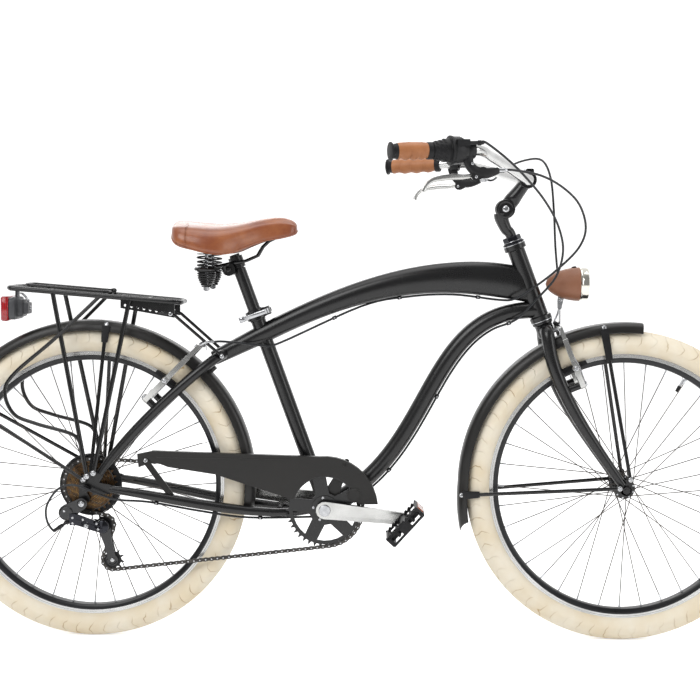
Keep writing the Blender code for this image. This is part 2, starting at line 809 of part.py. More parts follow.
def axle_with_nuts(centre, half_width, seat):
    """A threaded axle with its locknuts against the dropouts and its wheel nuts outside."""
    pieces = []
    for side in (-1, 1):
        lock_y = side * (seat - GAP - 0.002)
        pieces.append(disc(NUT_RADIUS * 0.95, 0.004, centre + Vector((0, lock_y, 0)), 6))
        nut_y = side * (half_width - 0.002 - NUT_LENGTH / 2)
        pieces.append(disc(NUT_RADIUS, NUT_LENGTH, centre + Vector((0, nut_y, 0)), 6))
    return union(disc(AXLE_RADIUS, 2 * half_width, centre, 8), *pieces)


def spoke_protector():
    """The plain disc between the largest sprocket and the spokes."""
    outer = 0.066
    inner = BOSS_SEAT_RADIUS + GAP
    half = 0.0008
    y = REAR_FLANGES[0] - 0.0058
    profile = [(inner, half), (outer, half), (outer, -half), (inner, -half)]
    place = at_point(REAR_AXLE + Vector((0, y, 0)))
    return turned(profile, place @ ACROSS, 20, ring=True)


# Chain path: chainring, tension pulley, guide pulley, sprocket, in the chain's own order.
# Seen from the drive side, a sense of 1 turns clockwise and -1 the other way.

def pitch_radius(teeth):
    return CHAIN_PITCH / (2 * math.sin(math.pi / teeth))


GUIDE_PULLEY = REAR_AXLE + Vector((0.029, 0, -0.0865))
CAGE_LENGTH = 0.077
STRAIGHT_END = 0.12
INNER_PLATE = 0.00125
OUTER_PLATE = INNER_PLATE + PLATE_THICKNESS + 0.0001


class Wheel:
    """A toothed wheel that the chain passes, in the bike's middle plane."""

    def __init__(self, centre, teeth, sense, plane):
        self.x = centre.x
        self.z = centre.z
        self.teeth = teeth
        self.sense = sense
        self.plane = plane
        self.radius = pitch_radius(teeth)
        self.phase = 0.0


class Stretch:
    """One arc or straight of the chain's path, measured in links."""

    def __init__(self, links, place, wheel=None):
        self.links = links
        self.place = place
        self.wheel = wheel


def tangent(first, second):
    """The straight between two wheels: the angle of travel and its two ends."""
    dx = second.x - first.x
    dz = second.z - first.z
    offset = first.sense * first.radius - second.sense * second.radius
    travel = math.atan2(dz, dx) - math.asin(offset / math.hypot(dx, dz))
    normal = travel + math.pi / 2
    ends = []
    for wheel in (first, second):
        reach = wheel.sense * wheel.radius
        ends.append((wheel.x + reach * math.cos(normal), wheel.z + reach * math.sin(normal)))
    return travel, ends[0], ends[1]


def arc_place(wheel, start, sweep):
    def place(share):
        turn = start - wheel.sense * sweep * share
        x = wheel.x + wheel.radius * math.cos(turn)
        z = wheel.z + wheel.radius * math.sin(turn)
        return x, z, turn - wheel.sense * math.pi / 2, wheel.plane
    return place


def straight_place(first, second, travel, start, end):
    def place(share):
        x = start[0] + (end[0] - start[0]) * share
        z = start[1] + (end[1] - start[1]) * share
        skew = min(max((share - STRAIGHT_END) / (1 - 2 * STRAIGHT_END), 0), 1)
        return x, z, travel, first.plane + (second.plane - first.plane) * skew
    return place


def chain_wheels(cage_angle):
    tension = GUIDE_PULLEY + heading(cage_angle) * CAGE_LENGTH
    return [
        Wheel(BOTTOM_BRACKET, CHAINRING_TEETH, 1, RING_PLANE),
        Wheel(tension, PULLEY_TEETH, 1, SPROCKET_PLANE),
        Wheel(GUIDE_PULLEY, PULLEY_TEETH, -1, SPROCKET_PLANE),
        Wheel(REAR_AXLE, SPROCKET_TEETH[0], 1, SPROCKET_PLANE)]


def chain_path(cage_angle):
    """Every stretch of the chain for one angle of the cage, from the chainring's top."""
    wheels = chain_wheels(cage_angle)
    count = len(wheels)
    runs = [tangent(wheels[i], wheels[(i + 1) % count]) for i in range(count)]
    stretches = []
    for i, wheel in enumerate(wheels):
        arrival = runs[i - 1][0] + wheel.sense * math.pi / 2
        departure = runs[i][0] + wheel.sense * math.pi / 2
        sweep = (wheel.sense * (arrival - departure)) % (2 * math.pi)
        links = sweep * wheel.teeth / (2 * math.pi)
        stretches.append(Stretch(links, arc_place(wheel, arrival, sweep), wheel))
        following = wheels[(i + 1) % count]
        travel, start, end = runs[i]
        links = math.hypot(end[0] - start[0], end[1] - start[1]) / CHAIN_PITCH
        place = straight_place(wheel, following, travel, start, end)
        stretches.append(Stretch(links, place))
    return stretches


def settled_cage_angle():
    """The cage swings until the path holds the chain's whole number of links."""
    slack = -150.0
    taut = -10.0
    for _ in range(50):
        middle = (slack + taut) / 2
        if sum(stretch.links for stretch in chain_path(middle)) > CHAIN_LINKS:
            slack = middle
        else:
            taut = middle
    return (slack + taut) / 2


CAGE_ANGLE = settled_cage_angle()
PATH = chain_path(CAGE_ANGLE)
TENSION_PULLEY = GUIDE_PULLEY + heading(CAGE_ANGLE) * CAGE_LENGTH


def place_on_chain(link):
    """Where a point so many links along the chain lies: x, z, travel angle and plane."""
    link = link % CHAIN_LINKS
    for stretch in PATH:
        if link <= stretch.links:
            return stretch.place(link / stretch.links)
        link -= stretch.links
    return PATH[-1].place(1.0)


def near_wheel(link, margin=4):
    """Whether a link lies on a wheel or within a few links of one."""
    start = 0.0
    for stretch in PATH:
        if stretch.wheel is not None:
            behind = (link - start + margin) % CHAIN_LINKS
            if behind <= stretch.links + 2 * margin:
                return True
        start += stretch.links
    return False


def chain_section(shape, link, inner):
    """Eight corners across the chain, in pairs from one side plate's outside to the other's."""
    x, z, travel, plane = place_on_chain(link)
    corners = []
    for y in (-inner - PLATE_THICKNESS, -inner, inner, inner + PLATE_THICKNESS):
        for half in (-PLATE_HEIGHT / 2, PLATE_HEIGHT / 2):
            across = (-math.sin(travel) * half, math.cos(travel) * half)
            corners.append(shape.verts.new((x + across[0], plane + y, z + across[1])))
    return corners


def chain_sections(shape):
    """Each section with whether the stretch after it is open between the side plates."""
    sections = []
    widths = (INNER_PLATE, OUTER_PLATE)
    for link in range(CHAIN_LINKS):
        is_open = near_wheel(link) and near_wheel(link + 1)
        sections.append((chain_section(shape, link, widths[link % 2]), is_open))
    return sections


def chain():
    """Wide and narrow links by turns: two rows of side plates that stand either side of the
    teeth near each wheel, and a waisted band along the free runs.
    """
    shape = bmesh.new()
    sections = chain_sections(shape)
    upper = (1, 3, 5, 7)
    lower = (6, 4, 2, 0)
    for index, (ring, is_open) in enumerate(sections):
        following, open_after = sections[(index + 1) % len(sections)]
        open_before = sections[index - 1][1]
        walls = [(0, 1), (7, 6)]
        if is_open:
            walls += [(1, 3), (3, 2), (2, 0), (4, 5), (5, 7), (6, 4)]
        for a, b in walls:
            shape.faces.new((ring[a], ring[b], following[b], following[a]))
        for row in () if is_open else (upper, lower):
            start = row if open_before else (row[0], row[-1])
            end = row if open_after else (row[0], row[-1])
            shape.faces.new([ring[i] for i in start] + [following[i] for i in end[::-1]])
        if is_open != open_before:
            shape.faces.new((ring[2], ring[4], ring[5], ring[3]))
    loose = [vertex for vertex in shape.verts if not vertex.link_faces]
    bmesh.ops.delete(shape, geom=loose, context="VERTS")
    bmesh.ops.recalc_face_normals(shape, faces=shape.faces)
    mesh = bpy.data.meshes.new("links")
    shape.to_mesh(mesh)
    shape.free()
    return on_bench("links", mesh)


def wheel_phase(position):
    """The angle of a tooth gap that holds one of the chain's rollers on this wheel."""
    links = 0.0
    for index, stretch in enumerate(PATH):
        if index == position * 2:
            first = math.ceil(links)
            x, z, _, _ = stretch.place((first - links) / stretch.links)
            return math.atan2(z - stretch.wheel.z, x - stretch.wheel.x)
        links += stretch.links
    return 0.0


# Toothed wheels

ROOT_DEPTH = PLATE_HEIGHT / 2 + 0.0005
TIP_HEIGHT = 0.0026
SHORT_ROOT = 0.0021
SHORT_TIP = 0.0016
ROOT_HALF = 0.0026
TIP_HALF = 0.0008


def toothed(teeth, phase, full=True):
    """A sprocket's outline about its own centre; full teeth have flat roots and tips."""
    radius = pitch_radius(teeth)
    step = 2 * math.pi / teeth
    root = radius - ROOT_DEPTH
    tip = radius + TIP_HEIGHT
    corners = [(radius - SHORT_ROOT, 0.0), (radius + SHORT_TIP, 0.5)]
    if full:
        root_share = ROOT_HALF / root / step
        tip_share = TIP_HALF / tip / step
        corners = [(root, -root_share), (root, root_share),
                   (tip, 0.5 - tip_share), (tip, 0.5 + tip_share)]
    outline = []
    for tooth in range(teeth):
        for reach, share in corners:
            turn = phase + (tooth + share) * step
            outline.append((reach * math.cos(turn), reach * math.sin(turn)))
    return outline


ARM_COUNT = 5
ARM_START = 28.0
WINDOW_OUTER = 0.0685
WINDOW_INNER = 0.035
WINDOW_HALF_OUTER = 24.0
WINDOW_HALF_INNER = 11.0


def chainring():
    """One stamped ring: teeth, five windows between its arms, and a raised centre."""
    windows = []
    for arm in range(ARM_COUNT):
        middle = ARM_START + (arm + 0.5) * 360 / ARM_COUNT
        outer = arc((0, 0), WINDOW_OUTER, middle - WINDOW_HALF_OUTER, middle + WINDOW_HALF_OUTER, 4)
        inner = arc((0, 0), WINDOW_INNER, middle + WINDOW_HALF_INNER, middle - WINDOW_HALF_INNER, 1)
        windows.append(outer + inner)
    place = at_point(BOTTOM_BRACKET + Vector((0, RING_PLANE, 0))) @ UPRIGHT
    ring = plate(toothed(CHAINRING_TEETH, wheel_phase(0)), TOOTH_THICKNESS, place, windows)
    centre = BOTTOM_BRACKET + Vector((0, RING_PLANE - 0.001, 0))
    ring = union(ring, disc(0.029, 0.006, centre, 15))
    return cut(ring, disc(CRANK_AXLE_RADIUS + GAP, 0.03, centre, 12))


SPACER_RADIUS = 0.038


def sprockets():
    """The stepped block of sprockets, largest inside, seated on the hub's boss."""
    pieces = []
    for index, teeth in enumerate(SPROCKET_TEETH):
        plane = SPROCKET_PLANE - index * SPROCKET_STEP
        phase = wheel_phase(3) if index == 0 else index * 0.07
        outline = toothed(teeth, phase, full=index == 0)
        thickness = TOOTH_THICKNESS
        middle = plane
        if index > 1:
            thickness = SPROCKET_STEP + 0.0002
            middle = plane + (SPROCKET_STEP - TOOTH_THICKNESS) / 2
        place = at_point(REAR_AXLE + Vector((0, middle, 0))) @ UPRIGHT
        pieces.append(plate(outline, thickness, place))
    spacer_y = SPROCKET_PLANE - SPROCKET_STEP / 2
    spacer = REAR_AXLE + Vector((0, spacer_y, 0))
    pieces.append(disc(SPACER_RADIUS, SPROCKET_STEP, spacer, HUB_STEPS))
    solid = union(pieces[0], *pieces[1:])
    middle = REAR_AXLE + Vector((0, SPROCKET_PLANE, 0))
    bore = disc((BOSS_SEAT_RADIUS + GAP) / math.cos(math.pi / HUB_STEPS), 0.1, middle, HUB_STEPS)
    return cut(solid, bore)


PULLEY_BOLT_RADIUS = 0.0035


def pulley(centre, position):
    place = at_point(centre + Vector((0, SPROCKET_PLANE, 0))) @ UPRIGHT
    bore = circle((0, 0), PULLEY_BOLT_RADIUS + GAP, 8)
    return plate(toothed(PULLEY_TEETH, wheel_phase(position)), TOOTH_THICKNESS, place, [bore])


CAGE_HALF_GAP = 0.0048
CAGE_PLATE = 0.0016
KNUCKLE_Y = -0.085
CAGE_KNUCKLE_Y = SPROCKET_PLANE - CAGE_HALF_GAP - CAGE_PLATE - GAP


def derailleur_cage():
    """Two plates joined by the pulleys' bolts, and a pin on the knuckle's axis."""
    first = (GUIDE_PULLEY.x, GUIDE_PULLEY.z)
    second = (TENSION_PULLEY.x, TENSION_PULLEY.z)
    outline = belt_outline(first, 0.0150, second, 0.0115, 5)
    offset = CAGE_HALF_GAP + CAGE_PLATE / 2
    near = side_plate(outline, CAGE_PLATE, SPROCKET_PLANE - offset)
    far = side_plate(outline, CAGE_PLATE, SPROCKET_PLANE + offset)
    bolts = []
    for centre in (GUIDE_PULLEY, TENSION_PULLEY):
        middle = centre + Vector((0, SPROCKET_PLANE, 0))
        bolts.append(disc(PULLEY_BOLT_RADIUS, 2 * (CAGE_HALF_GAP + CAGE_PLATE) - GAP, middle, 8))
    return union(near, far, *bolts)


BODY_EYE = REAR_AXLE + Vector((-0.040, 0, -0.050))
LINK_START = REAR_AXLE + Vector((-0.030, KNUCKLE_Y, -0.066))
ADJUSTER_END = REAR_AXLE + Vector((-0.059, KNUCKLE_Y, -0.084))


def derailleur_body():
    """The hanger knuckle, the link block that reaches in under the sprockets, and its eye."""
    y = KNUCKLE_Y
    start = (HANGER_BOLT.x, HANGER_BOLT.z)
    body = (BODY_EYE.x, BODY_EYE.z)
    knuckle = side_plate(belt_outline(start, 0.0125, body, 0.0175, 6), 0.018, y)
    end = Vector((GUIDE_PULLEY.x, CAGE_KNUCKLE_Y - 0.008, GUIDE_PULLEY.z))
    link = block((0.017, 0.024, (end - LINK_START).length), along(LINK_START, end), 0.004)
    eye = disc(0.0145, 0.016, end, 14)
    adjuster = rod(ADJUSTER_END, LINK_START, 0.0042, 8)
    pin_y = -(DROPOUT_Y + DROPOUT_THICKNESS / 2 + GAP)
    pin_end = HANGER_BOLT + Vector((0, y, 0))
    pin = rod(HANGER_BOLT + Vector((0, pin_y, 0)), pin_end, 0.006, 10)
    return union(knuckle, link, eye, adjuster, pin)


# Cranks and pedals

PEDAL_RIGHT = BOTTOM_BRACKET + heading(-math.degrees(CRANK_DROP)) * CRANK_LENGTH
PEDAL_LEFT = BOTTOM_BRACKET - heading(-math.degrees(CRANK_DROP)) * CRANK_LENGTH
CRANK_INNER_Y = 0.0555
CRANK_FLARE = 0.010
CRANK_BOSS_RADIUS = 0.0185
CRANK_EYE_RADIUS = 0.0125
SPINDLE_RADIUS = 0.0045
SPINDLE_STEPS = 8
PEDAL_WIDTH = 0.086
PEDAL_LENGTH = 0.093
PEDAL_HEIGHT = 0.027
PEDAL_TILT = math.radians(48)


def bend(mesh, point, way):
    """Adds an edge loop round a mesh where it starts to bend."""
    shape = bmesh.new()
    shape.from_mesh(mesh)
    geometry = shape.verts[:] + shape.edges[:] + shape.faces[:]
    bmesh.ops.bisect_plane(shape, geom=geometry, dist=WELD, plane_co=point, plane_no=way)
    shape.to_mesh(mesh)
    shape.free()


def crank(side, pedal):
    """An arm that flares away from the frame, with the pedal's spindle in its eye."""
    outline = belt_outline(
        (BOTTOM_BRACKET.x, BOTTOM_BRACKET.z), CRANK_BOSS_RADIUS,
        (pedal.x, pedal.z), CRANK_EYE_RADIUS, 7)
    middle = side * (CRANK_INNER_Y + CRANK_THICKNESS / 2)
    arm = side_plate(outline, CRANK_THICKNESS, middle)
    arm.data.transform(arm.matrix_world)
    arm.matrix_world = Matrix.Identity(4)
    way = (pedal - BOTTOM_BRACKET).normalized()
    bend(arm.data, BOTTOM_BRACKET + way * CRANK_BOSS_RADIUS, way)
    for vertex in arm.data.vertices:
        reach = (vertex.co - BOTTOM_BRACKET).dot(way) - CRANK_BOSS_RADIUS
        share = min(max(reach / (CRANK_LENGTH - CRANK_BOSS_RADIUS), 0), 1)
        vertex.co.y += side * CRANK_FLARE * share
    eye_y = middle + side * CRANK_FLARE
    spindle_end = pedal + Vector((0, eye_y + side * (CRANK_THICKNESS / 2 + PEDAL_WIDTH), 0))
    spindle = rod(pedal + Vector((0, eye_y, 0)), spindle_end, SPINDLE_RADIUS, SPINDLE_STEPS)
    return union(arm, spindle)


AXLE_END = CRANK_INNER_Y + CRANK_THICKNESS
CAP_THICKNESS = 0.0022


def crank_right():
    """The drive-side arm with the axle that turns in the shell pressed into it."""
    near = Vector((0, -CRANK_INNER_Y - CRANK_THICKNESS / 2 - CAP_THICKNESS, 0))
    far = Vector((0, AXLE_END + CAP_THICKNESS / 2, 0))
    axle = rod(BOTTOM_BRACKET + near, BOTTOM_BRACKET + far, CRANK_AXLE_RADIUS, 12)
    cap_y = -(AXLE_END + CAP_THICKNESS / 2 - GAP)
    cap = disc(CRANK_BOSS_RADIUS * 0.62, CAP_THICKNESS, BOTTOM_BRACKET + Vector((0, cap_y, 0)), 12)
    return union(crank(-1, PEDAL_RIGHT), axle, cap)


def crank_left():
    """The far arm, bored for the axle."""
    bore = disc(CRANK_AXLE_RADIUS + 2 * GAP, 0.1, BOTTOM_BRACKET + Vector((0, AXLE_END, 0)), 12)
    return cut(crank(1, PEDAL_LEFT), bore)


def pedal(side, place):
    """A resin body with an open window on each side of its barrel and a notched rim."""
    inner = CRANK_INNER_Y + CRANK_FLARE + CRANK_THICKNESS + 0.0015
    centre = place + Vector((0, side * (inner + PEDAL_WIDTH / 2), 0))
    frame = at_point(centre) @ Matrix.Rotation(-PEDAL_TILT, 4, "Y")
    body = block((PEDAL_LENGTH, PEDAL_WIDTH, PEDAL_HEIGHT), frame, 0.005)
    windows = []
    for end in (-1, 1):
        size = (PEDAL_LENGTH * 0.25, PEDAL_WIDTH * 0.74, PEDAL_HEIGHT * 2)
        windows.append(block(size, frame @ at(end * PEDAL_LENGTH * 0.27)))
        notch = (PEDAL_LENGTH * 0.16, PEDAL_WIDTH * 1.2, PEDAL_HEIGHT * 0.42)
        windows.append(block(notch, frame @ at(end * PEDAL_LENGTH * 0.27, 0, 0)))
    bore_radius = (SPINDLE_RADIUS + GAP) / math.cos(math.pi / SPINDLE_STEPS)
    bore = shifted(cylinder(bore_radius, PEDAL_WIDTH * 1.2, ACROSS, SPINDLE_STEPS), frame)
    return cut(body, *windows, bore)


# Fork

CROWN_LOW = 0.346
CROWN_RADIUS = 0.0185
CUP_LOW = HEAD_TUBE_START - CUP_HEIGHT - GAP
CUP_HIGH = HEAD_TUBE_START + HEAD_TUBE_LENGTH + CUP_HEIGHT + GAP
NUT_HEIGHT = 0.020
RACE_HEIGHT = 0.008
QUILL_BOTTOM = 0.445
QUILL_CLEARANCE = 0.002
TIP_THICKNESS = 0.005
TIP_Y = FRONT_SPACING / 2 + TIP_THICKNESS / 2
FORK_TIP = FRONT_AXLE + Vector((-0.007, 0, 0.010))
BLADE_WIDTHS = (0.0500, 0.0535, BLADE_SPREAD, BLADE_SPREAD, 0.0542, 0.0537, 0.0530, TIP_Y)
FRONT_PIVOT = Vector((1.046, 0, 0.558))
FRONT_ARM_TOP = Vector((0.999, 0, 0.676))
FRONT_ARM_Y = 0.0475
FRONT_NECK = 0.043
FRONT_BRAKE_UP = (FRONT_ARM_TOP - FRONT_PIVOT).normalized()
FRONT_BRAKE_OUT = Vector((FRONT_BRAKE_UP.z, 0, -FRONT_BRAKE_UP.x))
FRONT_EYELET = FRONT_AXLE + Vector((0.008, 0, 0.023))
FRONT_BLADE_BOLT = FRONT_AXLE + Vector((-0.015, 0, 0.005))


def steer_point(height, ahead=0.0, y=0.0):
    """A point by its height along the steering axis and its distance ahead of it."""
    return STEER_FOOT + STEER_UP * height + STEER_AHEAD * ahead + Vector((0, y, 0))


def fork_blade(side):
    """One blade: out of the crown like a shoulder, down, then forward to the axle."""
    start = steer_point(CROWN_LOW, -0.004)
    leg = bezier(start, start + heading(-83) * 0.115, FORK_TIP - heading(-55) * 0.118, FORK_TIP, 9)
    route = [steer_point(CROWN_LOW + 0.013),
             steer_point(CROWN_LOW + 0.012, 0, 0.025 * side),
             steer_point(CROWN_LOW + 0.005, -0.002, 0.0425 * side)]
    for point, y in zip(leg[1:], BLADE_WIDTHS):
        route.append(Vector((point.x, y * side, point.z)))
    last = len(route) - 1
    tip = BLADE_TIP_RADIUS / BLADE_RADIUS
    radii = [1 - (1 - tip) * max(i / last - 0.35, 0) / 0.65 for i in range(last + 1)]
    return tube(route, BLADE_RADIUS, radii, 8)


def fork_tip(side):
    """The plate on a blade's end, with the slot's eye and the mudguard's eye."""
    axle = (FRONT_AXLE.x, FRONT_AXLE.z)
    to_blade = belt_outline((FORK_TIP.x, FORK_TIP.z), BLADE_TIP_RADIUS * 0.9, axle, 0.0125, 3)
    to_eye = belt_outline(axle, 0.0125, (FRONT_EYELET.x, FRONT_EYELET.z), 0.0062, 3)
    y = side * TIP_Y
    return union(side_plate(to_blade, TIP_THICKNESS, y), side_plate(to_eye, TIP_THICKNESS, y))


def open_slot(centre, degrees, thickness):
    """Cutters for an axle's eye that is open along one direction."""
    width = 2 * (AXLE_RADIUS + GAP) * 0.98
    turn = Matrix.Rotation(math.radians(-degrees), 4, "Y")
    return [disc(AXLE_RADIUS + GAP, thickness, centre, HUB_STEPS),
            block((0.03, thickness, width), at_point(centre + heading(degrees) * 0.015) @ turn)]


LAMP_RADIUS = 0.036
LAMP_LENGTH = 0.072
LAMP_CENTRE = Vector((1.0425, 0, 0.7685))
LAMP_PIVOT = LAMP_CENTRE + Vector((-0.0395, 0, -0.033))
LUG_WIDTH = 0.006
EAR_THICKNESS = 0.002


def lamp_bracket():
    """A strip up from the crown's bolt to two ears that hold the lamp's lug."""
    foot = steer_point(CROWN_LOW + 0.008, CROWN_RADIUS - 0.002)
    low = Vector((LAMP_PIVOT.x - 0.001, 0, foot.z))
    knee = LAMP_PIVOT + Vector((-0.0015, 0, -0.0175))
    pieces = [rod(foot, Vector((low.x + 0.003, 0, low.z)), 0.0055, 6)]
    strip = strap(low, knee, 0.014, 0.0024, Vector((0, 1, 0)))
    bridge = block((0.008, LUG_WIDTH + 2 * GAP + 2 * EAR_THICKNESS, 0.004), at_point(knee))
    for side in (-1, 1):
        outline = belt_outline((knee.x, knee.z), 0.004, (LAMP_PIVOT.x, LAMP_PIVOT.z), 0.006, 2)
        y = side * (LUG_WIDTH / 2 + GAP + EAR_THICKNESS / 2)
        pieces.append(side_plate(outline, EAR_THICKNESS, y))
    pieces.append(disc(0.0022, LUG_WIDTH + 2 * EAR_THICKNESS + 0.003, LAMP_PIVOT, 8))
    return [strip, bridge, *pieces]


def fork():
    """Steerer, crown, blades, slotted tips, brake studs, top nuts and the lamp's bracket."""
    top = CUP_HIGH + NUT_HEIGHT
    crown = rod(steer_point(CROWN_LOW), steer_point(CUP_LOW), CROWN_RADIUS, 12)
    pieces = [rod(steer_point(CROWN_LOW + 0.01), steer_point(top), STEERER_RADIUS, 12),
              rod(steer_point(CUP_LOW - 0.004), steer_point(CUP_LOW), CUP_RADIUS * 0.93, 12),
              rod(steer_point(CUP_HIGH), steer_point(CUP_HIGH + RACE_HEIGHT), CUP_RADIUS * 0.97, 12),
              rod(steer_point(CUP_HIGH + RACE_HEIGHT), steer_point(top), CUP_RADIUS * 0.84, 8)]
    pieces += lamp_bracket()
    for side in (-1, 1):
        pieces += [fork_blade(side), fork_tip(side)]
        pieces += brake_stud(FRONT_PIVOT, FRONT_BRAKE_OUT, FRONT_ARM_Y * side, FRONT_NECK)
    solid = union(crown, *pieces)
    cutters = [rod(steer_point(0.40), steer_point(top + 0.02), QUILL_RADIUS + 2 * GAP, 12)]
    for side in (-1, 1):
        centre = FRONT_AXLE + Vector((0, side * TIP_Y, 0))
        cutters += open_slot(centre, -76, 0.014)
    return cut(solid, *cutters)


# Stem

STEM_PIVOT = Vector((0.883, 0, 0.927))
BAR_CENTRE = Vector((0.929, 0, 0.9885))
STEM_RADIUS = 0.0165
STEM_CHEEK = 0.0105
STEM_WIDTH = 0.034
STEM_PIN_RADIUS = 0.0045
NECK_START = CUP_HIGH + NUT_HEIGHT + QUILL_CLEARANCE


def stem_quill():
    """The quill in the steerer, its shoulder above the nuts, and the forked pivot."""
    quill = rod(steer_point(QUILL_BOTTOM), steer_point(NECK_START + 0.046), QUILL_RADIUS, 12)
    neck = rod(steer_point(NECK_START), steer_point(NECK_START + 0.050), 0.0150, 12, 0.0165)
    rise = rod(steer_point(NECK_START + 0.040), STEM_PIVOT, 0.0155, 12)
    knuckle = disc(STEM_RADIUS + 0.002, STEM_WIDTH, STEM_PIVOT, 14)
    slot = disc(STEM_RADIUS + 0.005, 2 * (STEM_CHEEK + GAP), STEM_PIVOT, 14)
    pin = disc(STEM_PIN_RADIUS, STEM_WIDTH + 0.004, STEM_PIVOT, 8)
    return union(cut(union(quill, neck, rise, knuckle), slot), pin)


def stem_extension():
    """The arm from the pivot to the clamp that holds the bar."""
    way = (BAR_CENTRE - STEM_PIVOT).normalized()
    arm_route = [STEM_PIVOT + way * 0.010, STEM_PIVOT + way * 0.036, BAR_CENTRE]
    arm = tube(arm_route, 0.0155, [0.66, 1, 1.02], 8)
    tongue = disc(STEM_RADIUS, 2 * STEM_CHEEK, STEM_PIVOT, 14)
    clamp = disc(BAR_CLAMP_RADIUS + 0.0055, 0.040, BAR_CENTRE, 16)
    ears = block((0.014, 0.040, 0.016), at_point(BAR_CENTRE + Vector((0.004, 0, 0.021))))
    solid = union(arm, tongue, clamp, ears)
    cutters = [disc(STEM_PIN_RADIUS + 2 * GAP, 0.06, STEM_PIVOT, 8)]
    for side in (-1, 1):
        centre = STEM_PIVOT + Vector((0, side * (STEM_CHEEK + 0.010), 0))
        cutters.append(disc(STEM_RADIUS + 0.0045, 0.020, centre, 14))
    cutters.append(disc(BAR_CLAMP_RADIUS + 3 * GAP, 0.06, BAR_CENTRE, 16))
    cutters.append(block((0.0024, 0.06, 0.03), at_point(BAR_CENTRE + Vector((0.004, 0, 0.026)))))
    return cut(solid, *cutters)


# Handlebar, from the middle of the stem to the right-hand end

BAR_END = Vector((0.634, -BAR_HALF_WIDTH, 1.030))
GRIP_TURN = math.radians(17.6)
GRIP_WAY = Vector((math.cos(GRIP_TURN), math.sin(GRIP_TURN), 0.034)).normalized()
STRAIGHT_LENGTH = 0.178
BAR_INSET = 0.012
CLAMP_HALF = 0.0225


def handlebar():
    """The clamped middle, the sweep forward and out, and the straight ends."""
    bend_start = BAR_END + GRIP_WAY * STRAIGHT_LENGTH
    sweep = bend_start - BAR_CENTRE
    points = [
        BAR_CENTRE + Vector((0, -CLAMP_HALF, 0)),
        BAR_CENTRE + sweep * 0.24 + Vector((0.008, -0.004, -0.003)),
        BAR_CENTRE + sweep * 0.50 + Vector((0.006, -0.004, 0.000)),
        BAR_CENTRE + sweep * 0.78 + Vector((0.004, -0.002, 0.001)),
        bend_start, BAR_END + GRIP_WAY * BAR_INSET]
    half = smooth_route(points, 2)
    half.pop(-2)
    thick = BAR_CLAMP_RADIUS / BAR_RADIUS
    radii = [thick] + [1.0] * (len(half) - 1)
    route = [mirrored(p) for p in half[::-1]] + half
    return tube(route, BAR_RADIUS, radii[::-1] + radii, 8)


def grip_frame():
    """Local Z inwards along the right grip, local X up, from the bar's end."""
    up = (Vector((0, 0, 1)) - GRIP_WAY * GRIP_WAY.z).normalized()
    out = GRIP_WAY.cross(up)
    return at_point(BAR_END) @ Matrix((up, out, GRIP_WAY)).transposed().to_4x4()


GRIP_FRAME = grip_frame()
GRIP_CAP = 0.011
RIGHT_GRIP_LENGTH = 0.086
LEFT_GRIP_LENGTH = 0.128
TWIST_END = 0.127
HOUSING_END = 0.156
SHIFTER_RADIUS = 0.0275
GRIP_STEPS = 12
BAR_BORE = (BAR_RADIUS + GAP) / math.cos(math.pi / GRIP_STEPS)


def grip(length):
    """A closed sleeve: end flange, narrow collar, swelling hand part and inner band."""
    band = GRIP_RADIUS
    hand_end = length - 0.010
    middle = (hand_end + 0.014) / 2
    profile = [(0, GRIP_CAP), (BAR_BORE, GRIP_CAP), (BAR_BORE, length), (band, length),
               (band, hand_end), (band - 0.0010, hand_end - 0.002), (band + 0.0006, middle),
               (band - 0.0010, 0.0145), (band - 0.0025, 0.0045), (band + 0.0015, 0.004),
               (band + 0.0015, 0), (0, 0)]
    return turned(profile, GRIP_FRAME, GRIP_STEPS)


def twist_grip():
    """The shifter's flared rotating sleeve."""
    start = RIGHT_GRIP_LENGTH + 2 * GAP
    profile = [(BAR_BORE, TWIST_END), (SHIFTER_RADIUS, TWIST_END),
               (SHIFTER_RADIUS + 0.001, TWIST_END - 0.006), (SHIFTER_RADIUS - 0.003, TWIST_END - 0.010),
               (GRIP_RADIUS + 0.0035, TWIST_END - 0.018), (GRIP_RADIUS, start), (BAR_BORE, start)]
    return turned(profile, GRIP_FRAME, GRIP_STEPS, ring=True)


SHIFT_OUTLET = GRIP_FRAME @ Vector((0.013, 0.018, HOUSING_END + 0.021))


def shifter_housing():
    """The fixed half with its cable outlet."""
    start = TWIST_END + 2 * GAP
    profile = [(BAR_BORE, HOUSING_END), (SHIFTER_RADIUS - 0.008, HOUSING_END),
               (SHIFTER_RADIUS - 0.0005, HOUSING_END - 0.012), (SHIFTER_RADIUS, start), (BAR_BORE, start)]
    ring = turned(profile, GRIP_FRAME, GRIP_STEPS, ring=True)
    outlet = block((0.014, 0.016, 0.026), GRIP_FRAME @ at(0.0130, 0.018, HOUSING_END - 0.0135))
    nose = shifted(cylinder(0.0042, 0.024, None, 6), GRIP_FRAME @ at(0.013, 0.018, HOUSING_END + 0.009))
    room = shifted(cylinder(BAR_BORE, 0.2, None, GRIP_STEPS), GRIP_FRAME @ at(0, 0, HOUSING_END))
    return cut(union(ring, outlet, nose), room)


# Brake levers

BRACKET_START = HOUSING_END + 0.001
BRACKET_LENGTH = 0.014
BRACKET_MIDDLE = BRACKET_START + BRACKET_LENGTH / 2
LEVER_PLACE = Vector((-0.052, 0.004, BRACKET_MIDDLE + 0.007))
LEVER_THICKNESS = 0.0086
LEVER_PIN_RADIUS = 0.0025
BARREL_PLACE = Vector((-0.040, 0.004, BRACKET_MIDDLE + 0.056))
BARREL_LENGTH = 0.018
LEVER_POINTS = ((0.0, 0.0), (0.001, -0.020), (0.001, -0.045), (-0.001, -0.070), (-0.005, -0.088),
                (-0.014, -0.100), (-0.028, -0.107))


